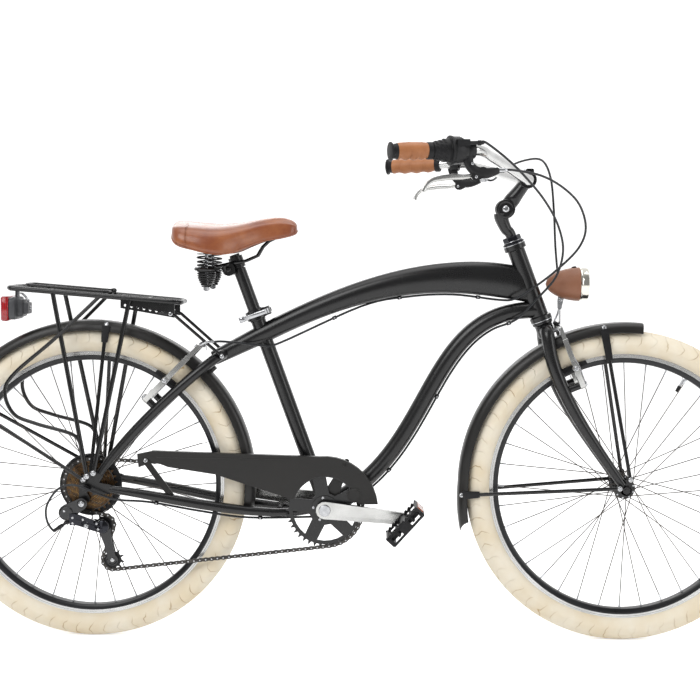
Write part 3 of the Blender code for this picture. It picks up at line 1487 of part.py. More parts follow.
def brake_bracket():
    """The clamp round the bar, and the horn that carries the lever's pivot and the barrel."""
    y = LEVER_PLACE.y
    clamp = shifted(cylinder(BAR_RADIUS + 0.005, BRACKET_LENGTH, None, GRIP_STEPS),
                    GRIP_FRAME @ at(0, 0, BRACKET_MIDDLE))
    body = block((0.046, 0.016, BRACKET_LENGTH), GRIP_FRAME @ at(-0.031, y, BRACKET_MIDDLE))
    horn = block((0.022, 0.018, 0.054), GRIP_FRAME @ at(-0.047, y, BRACKET_MIDDLE + 0.023))
    barrel = shifted(cylinder(0.0045, BARREL_LENGTH, None, 6), GRIP_FRAME @ at_point(BARREL_PLACE))
    solid = union(clamp, body, horn, barrel)
    room = shifted(cylinder(BAR_BORE, 0.2, None, GRIP_STEPS), GRIP_FRAME @ at(0, 0, BRACKET_MIDDLE))
    slot = block((0.034, LEVER_THICKNESS + 2 * GAP, 0.040),
                 GRIP_FRAME @ at(-0.058, y, BRACKET_MIDDLE + 0.003))
    pin = shifted(cylinder(LEVER_PIN_RADIUS, 0.019, UPRIGHT, 8), GRIP_FRAME @ at_point(LEVER_PLACE))
    return union(cut(solid, room, slot), pin)


def brake_lever():
    """A curved blade from its pivot back under the grip."""
    eye = shifted(cylinder(0.0065, LEVER_THICKNESS, UPRIGHT, 10), GRIP_FRAME @ at_point(LEVER_PLACE))
    route = [GRIP_FRAME @ (LEVER_PLACE + Vector((up, 0, back))) for up, back in LEVER_POINTS]
    blade = tube(route, 0.0050, [0.7, 0.85, 1.1, 1.15, 1.0, 0.8, 0.9], 6)
    hole = shifted(cylinder(LEVER_PIN_RADIUS + 2 * GAP, 0.03, UPRIGHT, 8),
                   GRIP_FRAME @ at_point(LEVER_PLACE))
    return cut(union(eye, blade), hole)


# Headlight

def headlight():
    """A bullet shell with a bright front ring round its glass, standing on one flat lug."""
    lamp_frame = at_point(LAMP_CENTRE) @ Matrix.Rotation(math.pi / 2, 4, "Y")
    profile = [(0, 0.016), (LAMP_RADIUS * 0.5, 0.0145), (LAMP_RADIUS * 0.82, 0.010),
               (LAMP_RADIUS * 0.86, 0.018), (LAMP_RADIUS * 0.96, 0.018), (LAMP_RADIUS, 0.0)]
    steps = 6
    for step in range(1, steps):
        share = step / steps
        reach = LAMP_RADIUS * math.cos(share * math.pi / 2) ** 0.72
        profile.append((reach, -LAMP_LENGTH * share ** 1.1))
    profile.append((0, -LAMP_LENGTH))
    shell = turned(profile, lamp_frame, 14)
    lug = block((0.016, LUG_WIDTH, 0.024), at_point(LAMP_PIVOT + Vector((0.002, 0, 0.006))))
    return cut(union(shell, lug), disc(0.0022 + GAP, 0.02, LAMP_PIVOT, 8))


# Mudguards

STAY_WIRE = 0.0028
STAY_EYE = 0.0062
STAY_EYE_WIDTH = 0.0052
REAR_STAY_Y = REAR_SPACING / 2 + DROPOUT_THICKNESS + STAY_EYE_WIDTH / 2 + 0.0022
FRONT_STAY_Y = FRONT_SPACING / 2 + TIP_THICKNESS + STAY_EYE_WIDTH / 2 + 0.0008
BLADE_STAY_Y = TIP_Y + BLADE_TIP_RADIUS + STAY_EYE_WIDTH / 2 + 0.0006
REAR_STAY_ANGLES = (147.0, 84.0)
FRONT_STAY_ANGLES = (98.0, 183.0)
FLARE = 0.008
CROWN_TAB_ANGLE = 117.0
WISHBONE_TAB_ANGLE = 43.6
GUARD_SECTION = ((-1.0, 1.0), (-0.86, 0.35), (-0.45, 0.0), (0.45, 0.0), (0.86, 0.35), (1.0, 1.0))


def curved_shell(axle, start, end, steps, flare):
    """A strip round the wheel with turned-down edges, thickened inwards."""
    points = []
    for i in range(steps + 1):
        turn = math.radians(start + (end - start) * i / steps)
        lift = flare * max(i / steps - 0.86, 0) / 0.14
        for across, drop in GUARD_SECTION:
            reach = MUDGUARD_RADIUS - MUDGUARD_DROP * drop + lift
            y = MUDGUARD_WIDTH / 2 * across
            points.append((axle.x + reach * math.cos(turn), y, axle.z + reach * math.sin(turn)))
    width = len(GUARD_SECTION)
    faces = []
    for i in range(steps):
        for j in range(width - 1):
            a = i * width + j
            faces.append((a, a + 1, a + width + 1, a + width))
    mesh = bpy.data.meshes.new("shell")
    mesh.from_pydata(points, [], faces)
    obj = on_bench("shell", mesh)
    wall = obj.modifiers.new("wall", "SOLIDIFY")
    wall.thickness = MUDGUARD_WALL
    wall.offset = 1 if end < start else -1
    return baked(obj)


def mudguard(axle, start, end, steps, angles, feet, flare=0.0):
    """The guard and its wire stays, which end in eyes by the axle."""
    shell = curved_shell(axle, start, end, steps, flare)
    edge_reach = MUDGUARD_RADIUS - MUDGUARD_DROP * 0.75
    rods = []
    for angle, foot in zip(angles, feet):
        for side in (-1, 1):
            edge = axle + heading(angle) * edge_reach + Vector((0, MUDGUARD_WIDTH / 2 * side, 0))
            low = Vector((foot.x, foot.y * side, foot.z))
            rods.append(rod(edge, low, STAY_WIRE, 4))
            rods.append(disc(STAY_EYE, STAY_EYE_WIDTH, low, 6))
    return union(shell, *rods)


def guard_tab(axle, angle, end_reach):
    """The short post between the guard and the tube that carries it."""
    start = axle + heading(angle) * (MUDGUARD_RADIUS - 0.004)
    return rod(start, axle + heading(angle) * end_reach, 0.005, 6)


def rear_mudguard():
    feet = [REAR_AXLE + eye + Vector((0, REAR_STAY_Y, 0)) for eye in EYELETS]
    solid = mudguard(REAR_AXLE, REAR_GUARD_START, REAR_GUARD_END, 17, REAR_STAY_ANGLES, feet)
    reach = (WISHBONE - REAR_AXLE).length - WISHBONE_RADIUS * 0.33 - 0.0012
    return union(solid, guard_tab(REAR_AXLE, WISHBONE_TAB_ANGLE, reach))


def front_mudguard():
    feet = [FRONT_EYELET + Vector((0, FRONT_STAY_Y, 0)),
            FRONT_BLADE_BOLT + Vector((0, BLADE_STAY_Y, 0))]
    solid = mudguard(FRONT_AXLE, FRONT_GUARD_START, FRONT_GUARD_END, 12, FRONT_STAY_ANGLES, feet, FLARE)
    reach = (steer_point(CROWN_LOW) - FRONT_AXLE).length - 0.0014
    return union(solid, guard_tab(FRONT_AXLE, CROWN_TAB_ANGLE, reach))


# Chain guard

CHAIN_GUARD_Y = -0.0545
CHAIN_GUARD_WALL = 0.002
CHAIN_GUARD_RADIUS = 0.1135
CHAIN_GUARD_OPENING = 0.072
CHAIN_GUARD_TOP = BOTTOM_BRACKET.z + CHAIN_GUARD_RADIUS + 0.004
CHAIN_GUARD_TAIL = 0.104
CHAIN_GUARD_LIP = 0.013
GUARD_ARM_Y = -(SHELL_WIDTH / 2 + 0.0025)
GUARD_ARM_ANGLE = 66.0


def chain_guard():
    """A plate beside the chain with a lip over it, open round the crank, on two supports."""
    centre = (BOTTOM_BRACKET.x, BOTTOM_BRACKET.z)
    tail = CHAIN_GUARD_TAIL
    top = CHAIN_GUARD_TOP
    nose = arc(centre, CHAIN_GUARD_RADIUS, 96, 6, 10)
    opening = arc(centre, CHAIN_GUARD_OPENING, 9, 163, 10)
    low_edge = [(0.326, top - 0.062), (0.270, top - 0.044), (tail + 0.066, top - 0.029),
                (tail + 0.045, top - 0.021), (tail + 0.028, top - 0.021), (tail + 0.003, top - 0.030)]
    rear_edge = [(tail, top - 0.001), (tail + 0.031, top + 0.0055)]
    face = side_plate(nose + opening + low_edge + rear_edge, CHAIN_GUARD_WALL, CHAIN_GUARD_Y)
    band = rear_edge[1:] + nose
    inner = [(x, z - CHAIN_GUARD_WALL) for x, z in rear_edge[1:]]
    inner += arc(centre, CHAIN_GUARD_RADIUS - CHAIN_GUARD_WALL, 96, 6, 10)
    lip_y = CHAIN_GUARD_Y + (CHAIN_GUARD_LIP - CHAIN_GUARD_WALL) / 2
    lip = side_plate(band + inner[::-1], CHAIN_GUARD_LIP, lip_y)
    foot = chain_stay_route(-1)[3]
    tab_start = Vector((tail + 0.018, CHAIN_GUARD_Y - 0.0018, top - 0.015))
    tab = strap(foot, tab_start, 0.013, 0.003, Vector((1, 0, 0)))
    boss_place = BOTTOM_BRACKET + Vector((0.0625, CHAIN_GUARD_Y - 0.0010, 0.031))
    pieces = [lip, tab, disc(0.016, 0.003, boss_place, 12), *guard_arm()]
    return cut(union(face, *pieces), chain_stay(-1, GAP))


def guard_arm():
    """The strip behind the chainring, clamped at the shell and reaching up to the lip."""
    centre = (BOTTOM_BRACKET.x, BOTTOM_BRACKET.z)
    way = heading(GUARD_ARM_ANGLE)
    reach = CHAIN_GUARD_RADIUS - CHAIN_GUARD_WALL / 2
    end = BOTTOM_BRACKET + way * reach
    outline = belt_outline(centre, 0.020, (end.x, end.z - 0.002), 0.006, 4)
    hole = circle(centre, CRANK_AXLE_RADIUS + 0.0012, 12)
    strip = side_plate(outline, 0.002, GUARD_ARM_Y, [hole])
    lip_end = CHAIN_GUARD_Y + CHAIN_GUARD_LIP - CHAIN_GUARD_WALL / 2
    bridge_start = Vector((end.x, GUARD_ARM_Y, end.z)) - way * 0.003
    bridge_end = Vector((end.x, lip_end - 0.003, end.z)) - way * 0.003
    return [strip, rod(bridge_start, bridge_end, 0.004, 6)]


# Rack

RACK_REAR = Vector((-0.166, 0.061, 0.757))
RACK_FRONT = Vector((0.196, 0.050, 0.727))
RACK_TUBE = 0.0052
RACK_WIRE = 0.0032
RACK_INNER_Y = 0.021
RACK_LEG = 0.0048
RACK_LEG_Y = REAR_STAY_Y + 0.0085
RACK_FOOT_REAR = REAR_AXLE + Vector((0.003, RACK_LEG_Y, 0.027))
RACK_FOOT_FRONT = REAR_AXLE + Vector((0.017, RACK_LEG_Y, 0.034))
STRUT_BOLT = Vector((0.284, 0.040, 0.613))
PLATE_Y = 0.046
BAIL_WIRE = 0.003
BAIL_SHARE = 0.58
BAIL_HALF = 0.040
BAIL_LIFT = RACK_TUBE + BAIL_WIRE + 0.0008


def on_deck(share, y=0.0, lift=0.0):
    """A point of the deck by its share of the way from the rear to the front."""
    point = RACK_REAR.lerp(RACK_FRONT, share)
    return Vector((point.x, y, point.z + lift))


def deck_edge(share):
    return RACK_REAR.y + (RACK_FRONT.y - RACK_REAR.y) * share


def rack():
    """Deck, legs, pannier loops, slotted plates and front struts, welded into one."""
    front_y = RACK_FRONT.y
    half = [on_deck(1, front_y - 0.020), on_deck(0.97, front_y - 0.004), on_deck(0.90, deck_edge(0.9)),
            on_deck(0.05, deck_edge(0.05)), on_deck(0.012, RACK_REAR.y - 0.009),
            on_deck(0, RACK_REAR.y - 0.022)]
    frame = tube(half + [mirrored(p) for p in half[::-1]], RACK_TUBE, None, 6, closed=True)
    pieces = []
    for y in (-RACK_INNER_Y, RACK_INNER_Y):
        pieces.append(rod(on_deck(0.0, y), on_deck(1.0, y), RACK_WIRE, 4))
        lug = BAIL_LIFT + BAIL_WIRE
        pieces.append(block((0.012, 0.006, lug), at_point(on_deck(BAIL_SHARE, y, lug / 2))))
    for share in (0.22, 0.55, 0.80):
        end = on_deck(share, deck_edge(share))
        pieces.append(rod(mirrored(end), end, RACK_WIRE, 4))
    for side in (-1, 1):
        pieces += rack_side(side)
    hinge = disc(BAIL_WIRE + GAP * 3, 0.2, on_deck(BAIL_SHARE, 0, BAIL_LIFT), 6)
    return cut(union(frame, *pieces), hinge)


def rack_side(side):
    """One side's legs, pannier loop, slotted plate and strut."""
    pieces = []
    tops = (on_deck(0.262, deck_edge(0.262) * side, -0.002), on_deck(0.708, deck_edge(0.708) * side, -0.002))
    feet = [Vector((foot.x, foot.y * side, foot.z)) for foot in (RACK_FOOT_REAR, RACK_FOOT_FRONT)]
    for top, foot in zip(tops, feet):
        pieces.append(rod(top, foot, RACK_LEG, 5))
    shoe = (feet[0] + feet[1]) / 2
    pieces.append(block((0.026, 0.007, 0.012), at_point(shoe)))
    loop = [on_deck(0.535, deck_edge(0.535) * side, -0.001), Vector((-0.064, 0.070 * side, 0.652)),
            Vector((-0.150, 0.073 * side, 0.578)), Vector((-0.171, 0.075 * side, 0.538)),
            Vector((-0.152, 0.077 * side, 0.492)), Vector((-0.105, 0.079 * side, 0.472)),
            Vector((-0.026, 0.081 * side, 0.449)), feet[0].lerp(tops[0], 0.15)]
    pieces.append(tube(loop, 0.004, None, 5))
    pieces.append(slotted_plate(side))
    bolt = Vector((STRUT_BOLT.x, STRUT_BOLT.y * side, STRUT_BOLT.z))
    pieces.append(rod(Vector((0.176, PLATE_Y * side, 0.703)), bolt, RACK_WIRE, 4))
    pieces.append(disc(0.0062, 0.004, bolt, 6))
    pieces.append(rod(bolt, bolt - Vector((0, 0.0062 * side, 0)), 0.0035, 6))
    return pieces


def slotted_plate(side):
    """The strip with a row of holes under the deck's side tube."""
    start = (0.070, 0.724)
    end = (0.184, 0.704)
    count = 3
    holes = []
    for index in range(count):
        share = (index + 0.7) / (count + 0.4)
        centre = (start[0] + (end[0] - start[0]) * share, start[1] + (end[1] - start[1]) * share)
        holes.append(circle(centre, 0.0032, 6))
    outline = [(start[0], start[1] - 0.009), (end[0], end[1] - 0.009),
               (end[0], end[1] + 0.024), (start[0], start[1] + 0.013)]
    return side_plate(outline, 0.0025, PLATE_Y * side, holes)


def rack_bail():
    """The sprung bow on the deck, hinged across its middle."""
    half = [on_deck(BAIL_SHARE, BAIL_HALF, BAIL_LIFT), on_deck(0.12, BAIL_HALF - 0.006, BAIL_LIFT),
            on_deck(0.085, BAIL_HALF - 0.018, BAIL_LIFT)]
    return tube(half + [mirrored(p) for p in half[::-1]], BAIL_WIRE, None, 6, closed=True)


# Tail light

LIGHT_CENTRE = Vector((-0.150, 0, 0.712))
LIGHT_DEPTH = 0.038
LENS_DEPTH = 0.016
LIGHT_HEIGHT = 0.052


def tail_light_body():
    """The housing on its bracket under the deck's rear bar."""
    body = block((LIGHT_DEPTH, 0.088, LIGHT_HEIGHT), at_point(LIGHT_CENTRE), 0.005)
    low = LIGHT_CENTRE.z + LIGHT_HEIGHT / 2 - 0.004
    high = RACK_REAR.z - RACK_TUBE - GAP
    stem = block((0.006, 0.018, high - low), at(RACK_REAR.x + 0.003, 0, (high + low) / 2))
    return union(body, stem)


def tail_light_lens():
    centre = LIGHT_CENTRE - Vector((LIGHT_DEPTH / 2 + LENS_DEPTH / 2 + GAP, 0, 0))
    return block((LENS_DEPTH, 0.092, LIGHT_HEIGHT), at_point(centre), 0.003)


# Seat post and saddle clamp

TILT_AXIS = Vector((0.297, 0, 0.797))
CLAMP_RADIUS = 0.0155
KNUCKLE_HALF = 0.0165
WASHER_RADIUS = 0.014
WASHER_THICKNESS = 0.010
CLAMP_BOLT_RADIUS = 0.004


def on_post(height):
    return SEAT_TUBE_TOP + SEAT_UP * height


def seat_post():
    """A straight post with a narrower top, seated in the tube to its insertion depth."""
    lower = rod(on_post(-POST_INSERTION), on_post(POST_SHOULDER), POST_RADIUS, 16)
    upper = rod(on_post(POST_SHOULDER - 0.004), on_post(POST_TOP), POST_TOP_RADIUS, 16)
    return union(lower, upper)


def saddle_clamp():
    """The sleeve on the post's top with the cross barrel and bolt that the rails tilt on."""
    sleeve = rod(on_post(POST_SHOULDER + 0.002), on_post(POST_TOP - 0.005), CLAMP_RADIUS, 12)
    barrel = disc(0.0115, 2 * KNUCKLE_HALF, TILT_AXIS, 10)
    half = KNUCKLE_HALF + WASHER_THICKNESS + 0.0065
    bolt = disc(CLAMP_BOLT_RADIUS, 2 * half, TILT_AXIS, 8)
    pieces = [barrel, bolt]
    for side in (-1, 1):
        nut_y = side * (KNUCKLE_HALF + WASHER_THICKNESS + 3 * GAP + 0.0025)
        pieces.append(disc(0.0065, 0.005, TILT_AXIS + Vector((0, nut_y, 0)), 6))
    bore = rod(on_post(POST_SHOULDER - 0.02), on_post(POST_TOP + 0.02), POST_TOP_RADIUS + 2 * GAP, 12)
    shoulder = rod(on_post(POST_SHOULDER - 0.03), on_post(POST_SHOULDER + GAP), POST_RADIUS + 2 * GAP, 12)
    return cut(union(sleeve, *pieces), bore, shoulder)


# Saddle springs: each stands round its own bolt, with the rail's eye at its waist

SPRING_CENTRE = Vector((0.254, 0.060, 0))
SPRING_LOW = 0.764
SPRING_WAIST = 0.797
SPRING_HIGH = 0.828
SPRING_NECK = 0.8400
SPRING_SHAPE = ((0.0, 0.0090), (0.12, 0.0150), (0.30, SPRING_RADIUS), (0.52, SPRING_RADIUS - 0.002),
                (0.75, SPRING_RADIUS), (1.0, SPRING_RADIUS + 0.001))
SPRING_BOLT_RADIUS = 0.0040


def spring_radius(share):
    for (a, ra), (b, rb) in zip(SPRING_SHAPE, SPRING_SHAPE[1:]):
        if share <= b:
            return ra + (rb - ra) * (share - a) / (b - a)
    return SPRING_SHAPE[-1][1]


def spring_points(side):
    """The wire's centre line from the bottom washer to the top washer."""
    count = SPRING_TURNS * SPRING_TURN_POINTS
    points = []
    for index in range(count + 1):
        share = index / count
        turn = side * share * SPRING_TURNS * 2 * math.pi
        radius = spring_radius(share)
        height = SPRING_LOW + (SPRING_HIGH - SPRING_LOW) * share
        points.append(Vector((SPRING_CENTRE.x + radius * math.cos(turn),
                              SPRING_CENTRE.y * side + radius * math.sin(turn), height)))
    return points


def least_coil_gap(points, wire_radius):
    """The least air between one curl and the next, measured on the wire's own points."""
    least = 1.0
    for index, point in enumerate(points):
        for other in points[index + SPRING_TURN_POINTS // 2 + 1:]:
            least = min(least, (other - point).length)
    return least - 2 * wire_radius


def saddle_spring(side):
    """Bolt, washers and the barrel-shaped coil between them."""
    points = spring_points(side)
    print("spring gap mm", round(least_coil_gap(points, SPRING_WIRE_RADIUS) * 1000, 2))
    coil = tube(points, SPRING_WIRE_RADIUS, None, 5)
    centre = Vector((SPRING_CENTRE.x, SPRING_CENTRE.y * side, 0))
    up = Vector((0, 0, 1))
    bolt = rod(centre + up * (SPRING_LOW - 0.013), centre + up * SPRING_NECK, SPRING_BOLT_RADIUS, 8)
    low = rod(centre + up * (SPRING_LOW - 0.004), centre + up * (SPRING_LOW + 0.0005), 0.0115, 10)
    high = rod(centre + up * (SPRING_HIGH - 0.0005), centre + up * (SPRING_HIGH + 0.003), SPRING_RADIUS, 10)
    return union(bolt, low, high, coil)


# Saddle rails

RAIL_RING_RADIUS = SPRING_RADIUS + SPRING_WIRE_RADIUS + RAIL_RADIUS - 0.0006
RAIL_NOSE = Vector((0.396, 0.010, 0.8642))
RAIL_POINTS = ((0.281, 0.0300, 0.8055), (0.300, 0.0225, 0.8100), (0.332, 0.0200, 0.8150),
               (0.357, 0.0160, 0.8260), (0.368, 0.0130, 0.8450), (0.381, 0.0110, 0.8570))


def rail_route(side):
    """Round the spring's waist, forward past the clamp, and up to the nose."""
    centre = Vector((SPRING_CENTRE.x, SPRING_CENTRE.y, SPRING_WAIST))
    ring = []
    steps = 9
    for index in range(steps + 1):
        turn = math.radians(-20 + 318 * index / steps)
        reach = Vector((math.cos(turn), math.sin(turn), 0)) * RAIL_RING_RADIUS
        ring.append(centre + reach + Vector((0, 0, 0.0003 * index)))
    route = ring + [Vector(point) for point in RAIL_POINTS] + [RAIL_NOSE]
    return [Vector((p.x, p.y * side, p.z)) for p in route]


def saddle_rails():
    """Two steel rails joined at the nose, with the clamp's washers on them."""
    pieces = []
    for side in (-1, 1):
        pieces.append(tube(rail_route(side), RAIL_RADIUS, None, 6))
        y = side * (KNUCKLE_HALF + 2 * GAP + WASHER_THICKNESS / 2)
        pieces.append(disc(WASHER_RADIUS, WASHER_THICKNESS, TILT_AXIS + Vector((0, y, 0)), 10))
    bar_start = RAIL_NOSE + Vector((-0.002, 0.002, -0.001))
    pieces.append(rod(bar_start, mirrored(bar_start), RAIL_RADIUS, 6))
    hole = disc(CLAMP_BOLT_RADIUS + 2 * GAP, 0.2, TILT_AXIS, 8)
    return cut(union(pieces[0], *pieces[1:]), hole)


# Saddle: x, half width, top and bottom of each section from the tail to the nose

SADDLE_SECTIONS = (
    (0.184, 0.045, 0.890, 0.880), (0.190, 0.078, 0.897, 0.868), (0.205, 0.098, 0.899, 0.853),
    (0.230, 0.1065, 0.898, 0.840), (0.258, 0.1075, 0.895, 0.8335), (0.285, 0.103, 0.894, 0.831),
    (0.312, 0.086, 0.896, 0.835), (0.338, 0.064, 0.900, 0.845), (0.370, 0.042, 0.906, 0.857),
    (0.405, 0.028, 0.908, 0.864), (0.428, 0.020, 0.902, 0.871), (0.438, 0.009, 0.892, 0.880))
SADDLE_RING = ((0.0, 1.0), (0.42, 0.985), (0.74, 0.90), (0.95, 0.66), (1.0, 0.34), (0.97, 0.0),
               (0.88, 0.10), (0.0, 0.14))


def saddle():
    """The padded top: a wide tail, turned-down skirt and a narrow nose."""
    shape = bmesh.new()
    widest = max(half for _, half, _, _ in SADDLE_SECTIONS)
    rings = []
    for x, half, top, bottom in SADDLE_SECTIONS:
        scale = SADDLE_WIDTH / 2 / widest
        right = [(half * scale * a, bottom + (top - bottom) * b) for a, b in SADDLE_RING]
        section = right + [(-y, z) for y, z in right[-2:0:-1]]
        rings.append([shape.verts.new((x, y, z)) for y, z in section])
    count = len(rings[0])
    for here, there in zip(rings, rings[1:]):
        for i in range(count):
            j = (i + 1) % count
            shape.faces.new((here[i], here[j], there[j], there[i]))
    shape.faces.new(rings[0])
    shape.faces.new(rings[-1][::-1])
    bmesh.ops.recalc_face_normals(shape, faces=shape.faces)
    mesh = bpy.data.meshes.new("saddle top")
    shape.to_mesh(mesh)
    shape.free()
    return on_bench("saddle top", mesh)


# Rim brakes

PAD_FACE_Y = RIM_WIDTH / 2 + 0.003
PAD_THICKNESS = 0.009
PAD_LENGTH = 0.056
PAD_HEIGHT = 0.0095
PAD_RADIUS = (RIM_SEAT_RADIUS + RIM_OUTER_RADIUS) / 2 - 0.0015
ARM_TIP_INSET = 0.006
ARM_TIP_RADIUS = 0.0048


def pad_height(pivot, up, axle):
    """How far up the arm the brake track lies."""
    from_axle = pivot - axle
    along_arm = from_axle.dot(up)
    return -along_arm + math.sqrt(along_arm ** 2 - from_axle.length_squared + PAD_RADIUS ** 2)


def brake_arm(side, pivot, up, arm_y, top, axle):
    """One arm with its pad, swinging about the stud on the frame or fork."""
    centre = Vector((pivot.x, arm_y * side, pivot.z))
    across = Vector((0, side, 0))
    frame = at_point(centre) @ Matrix((across, up, across.cross(up))).transposed().to_4x4()
    length = (top - pivot).length
    knee = (0.003, length * 0.42)
    lower = belt_outline((0, 0), 0.0085, knee, 0.0062, 4)
    upper = belt_outline(knee, 0.0062, (-ARM_TIP_INSET, length), ARM_TIP_RADIUS, 3)
    height = pad_height(pivot, up, axle)
    pad_centre = Vector((pivot.x, side * (PAD_FACE_Y + PAD_THICKNESS / 2), pivot.z)) + up * height
    radial = (Vector((pad_centre.x, 0, pad_centre.z)) - axle).normalized()
    lean = math.atan2(radial.x, radial.z)
    pad_frame = at_point(pad_centre) @ Matrix.Rotation(lean, 4, "Y")
    pad = block((PAD_LENGTH, PAD_THICKNESS, PAD_HEIGHT), pad_frame)
    post_end = Vector((pad_centre.x, side * (arm_y + 0.008), pad_centre.z))
    post = rod(pad_centre, post_end, 0.0035, 6)
    arm = plate(lower, 2 * ARM_HALF_THICKNESS, frame)
    arm = union(arm, plate(upper, 1.7 * ARM_HALF_THICKNESS, frame), pad, post)
    hole = shifted(cylinder(BOSS_RADIUS + 3 * GAP, 0.03, None, 10), frame)
    return cut(arm, hole)


# Cables: housings of one thickness along their whole route

CABLE_RADIUS = 0.0024
CABLE_SIDES = 6
CABLE_CLEAR = CABLE_RADIUS + 0.0010
END_GAP = 0.0020


def below(points, depth):
    """A route offset downwards, square to each tube section."""
    route = []
    for index, point in enumerate(points):
        behind = points[max(index - 1, 0)]
        ahead = points[min(index + 1, len(points) - 1)]
        way = (ahead - behind).normalized()
        route.append(point + Vector((way.z, 0, -way.x)) * depth[index])
    return route


def cable(points, per_span=2):
    return tube(smooth_route(points, per_span), CABLE_RADIUS, None, CABLE_SIDES)


def barrel_end(side):
    """The outer end of a brake bracket's barrel and the direction it points in."""
    local = BARREL_PLACE + Vector((0, 0, BARREL_LENGTH / 2))
    end = GRIP_FRAME @ local
    return Vector((end.x, end.y * -side, end.z)), Vector((GRIP_WAY.x, GRIP_WAY.y * -side, GRIP_WAY.z))


def wire_over_arms(top, up, arm_y):
    """The bare end of a brake cable, laid over both arms' tips."""
    lift = ARM_TIP_RADIUS + CABLE_RADIUS + 0.0008
    middle = top + up * lift
    return [middle + Vector((0, y, 0)) for y in (arm_y - 0.002, 0.0, -arm_y + 0.002)]


def front_brake_cable():
    """From the left lever, over the bar and down ahead of the steering tube."""
    start, way = barrel_end(1)
    points = [start + way * END_GAP, start + way * 0.016]
    points += [Vector(p) for p in (
        (0.899, 0.165, 1.021), (0.935, 0.115, 1.036), (0.968, 0.075, 1.034), (0.985, 0.054, 0.995),
        (0.992, 0.046, 0.925), (0.996, 0.044, 0.850), (1.003, 0.047, 0.780), (1.008, 0.056, 0.730),
        (1.004, 0.058, 0.704))]
    points += wire_over_arms(FRONT_ARM_TOP, FRONT_BRAKE_UP, FRONT_ARM_Y)
    return cable(points)


def rear_brake_cable():
    """From the right lever, round the steering tube and along under the top tube."""
    start, way = barrel_end(-1)
    points = [start + way * END_GAP, start + way * 0.016]
    points += [Vector(p) for p in (
        (0.936, -0.196, 0.990), (0.985, -0.155, 0.968), (1.024, -0.115, 0.935), (1.042, -0.088, 0.888),
        (1.030, -0.068, 0.846), (0.990, -0.056, 0.800), (0.945, -0.046, 0.764), (0.905, -0.032, 0.739))]
    arch = arch_route()
    depths = [arch_depth(i / (ARCH_POINTS - 1)) / 2 + CABLE_CLEAR for i in range(ARCH_POINTS)]
    under = below(arch, depths)
    points += [under[i] for i in range(ARCH_POINTS - 2, 2, -2)]
    points += [Vector(p) for p in (
        (0.405, -0.022, 0.641), (0.370, -0.0285, 0.636), (0.325, -0.034, 0.641), (0.285, -0.042, 0.645),
        (0.258, -0.055, 0.6445))]
    wire = wire_over_arms(REAR_ARM_TOP, REAR_BRAKE_UP, REAR_ARM_Y)
    points += wire[::-1]
    return cable(points, 1)


def shift_cable():
    """From the twist grip, down under the frame and back along the near chain stay."""
    start = SHIFT_OUTLET
    points = [start + GRIP_WAY * END_GAP, start + GRIP_WAY * 0.014]
    points += [Vector(p) for p in (
        (0.868, -0.236, 1.018), (0.910, -0.196, 0.982), (0.950, -0.150, 0.941), (0.982, -0.108, 0.893),
        (0.997, -0.080, 0.840), (0.985, -0.060, 0.785), (0.948, -0.044, 0.738), (0.908, -0.022, 0.694))]
    tube_route = down_tube_route()
    depths = [DOWN_TUBE_RADIUS + CABLE_CLEAR] * len(tube_route)
    under = below(tube_route, depths)
    points += [under[i] for i in range(len(under) - 3, 0, -1)]
    low = BOTTOM_BRACKET.z - SHELL_RADIUS - CABLE_CLEAR
    points += [Vector((BOTTOM_BRACKET.x + 0.012, -0.008, low)),
               Vector((BOTTOM_BRACKET.x - 0.014, -0.014, low + 0.001))]
    stay = chain_stay_route(-1)
    under_stay = below(stay, [STAY_RADIUS + CABLE_CLEAR] * len(stay))
    points += [under_stay[i] for i in (6, 4, 2)]
    outer_y = -0.0935
    points += [Vector((0.066, -0.0830, 0.3120)), Vector((0.025, outer_y, 0.3270)),
               Vector((-0.020, outer_y, 0.3440)), Vector((-0.056, -0.0905, 0.3360)),
               Vector((-0.082, -0.087, 0.300)), Vector((-0.083, -0.0855, 0.267))]
    way = (LINK_START - ADJUSTER_END).normalized()
    points += [ADJUSTER_END - way * 0.012, ADJUSTER_END - way * END_GAP]
    return cable(points, 1)


# Building

def build_frame():
    finish("head_tube", head_tube(), MATT_BLACK, ROOT)
    finish("top_tube_and_seat_stays", top_tube_and_stays(), MATT_BLACK, ROOT)
    finish("down_tube", down_tube(), MATT_BLACK, ROOT)
    finish("seat_tube_and_shell", seat_tube_with_shell(), MATT_BLACK, ROOT)
    finish("chain_stays_and_dropouts", chain_stays_with_dropouts(), MATT_BLACK, ROOT)
    finish("seat_collar", seat_collar(), BLACK_STEEL, ROOT)
    finish("rear_mudguard", rear_mudguard(), GUARD_BLACK, ROOT)
    finish("chain_guard", chain_guard(), GUARD_BLACK, ROOT)
    finish("rack", rack(), BLACK_STEEL, ROOT)
    finish("tail_light_body", tail_light_body(), GREY_PLASTIC, ROOT)
    finish("tail_light_lens", tail_light_lens(), RED_LENS, ROOT)
    lever_turn = pivot_empty("seat_lever_axis", LEVER_PIVOT, ROOT)
    finish("quick_release_lever", quick_release_lever(), BRIGHT_STEEL, lever_turn)
    bail_turn = pivot_empty("rack_bail_axis", on_deck(BAIL_SHARE, 0, BAIL_LIFT), ROOT)
    finish("rack_bail", rack_bail(), BLACK_STEEL, bail_turn)


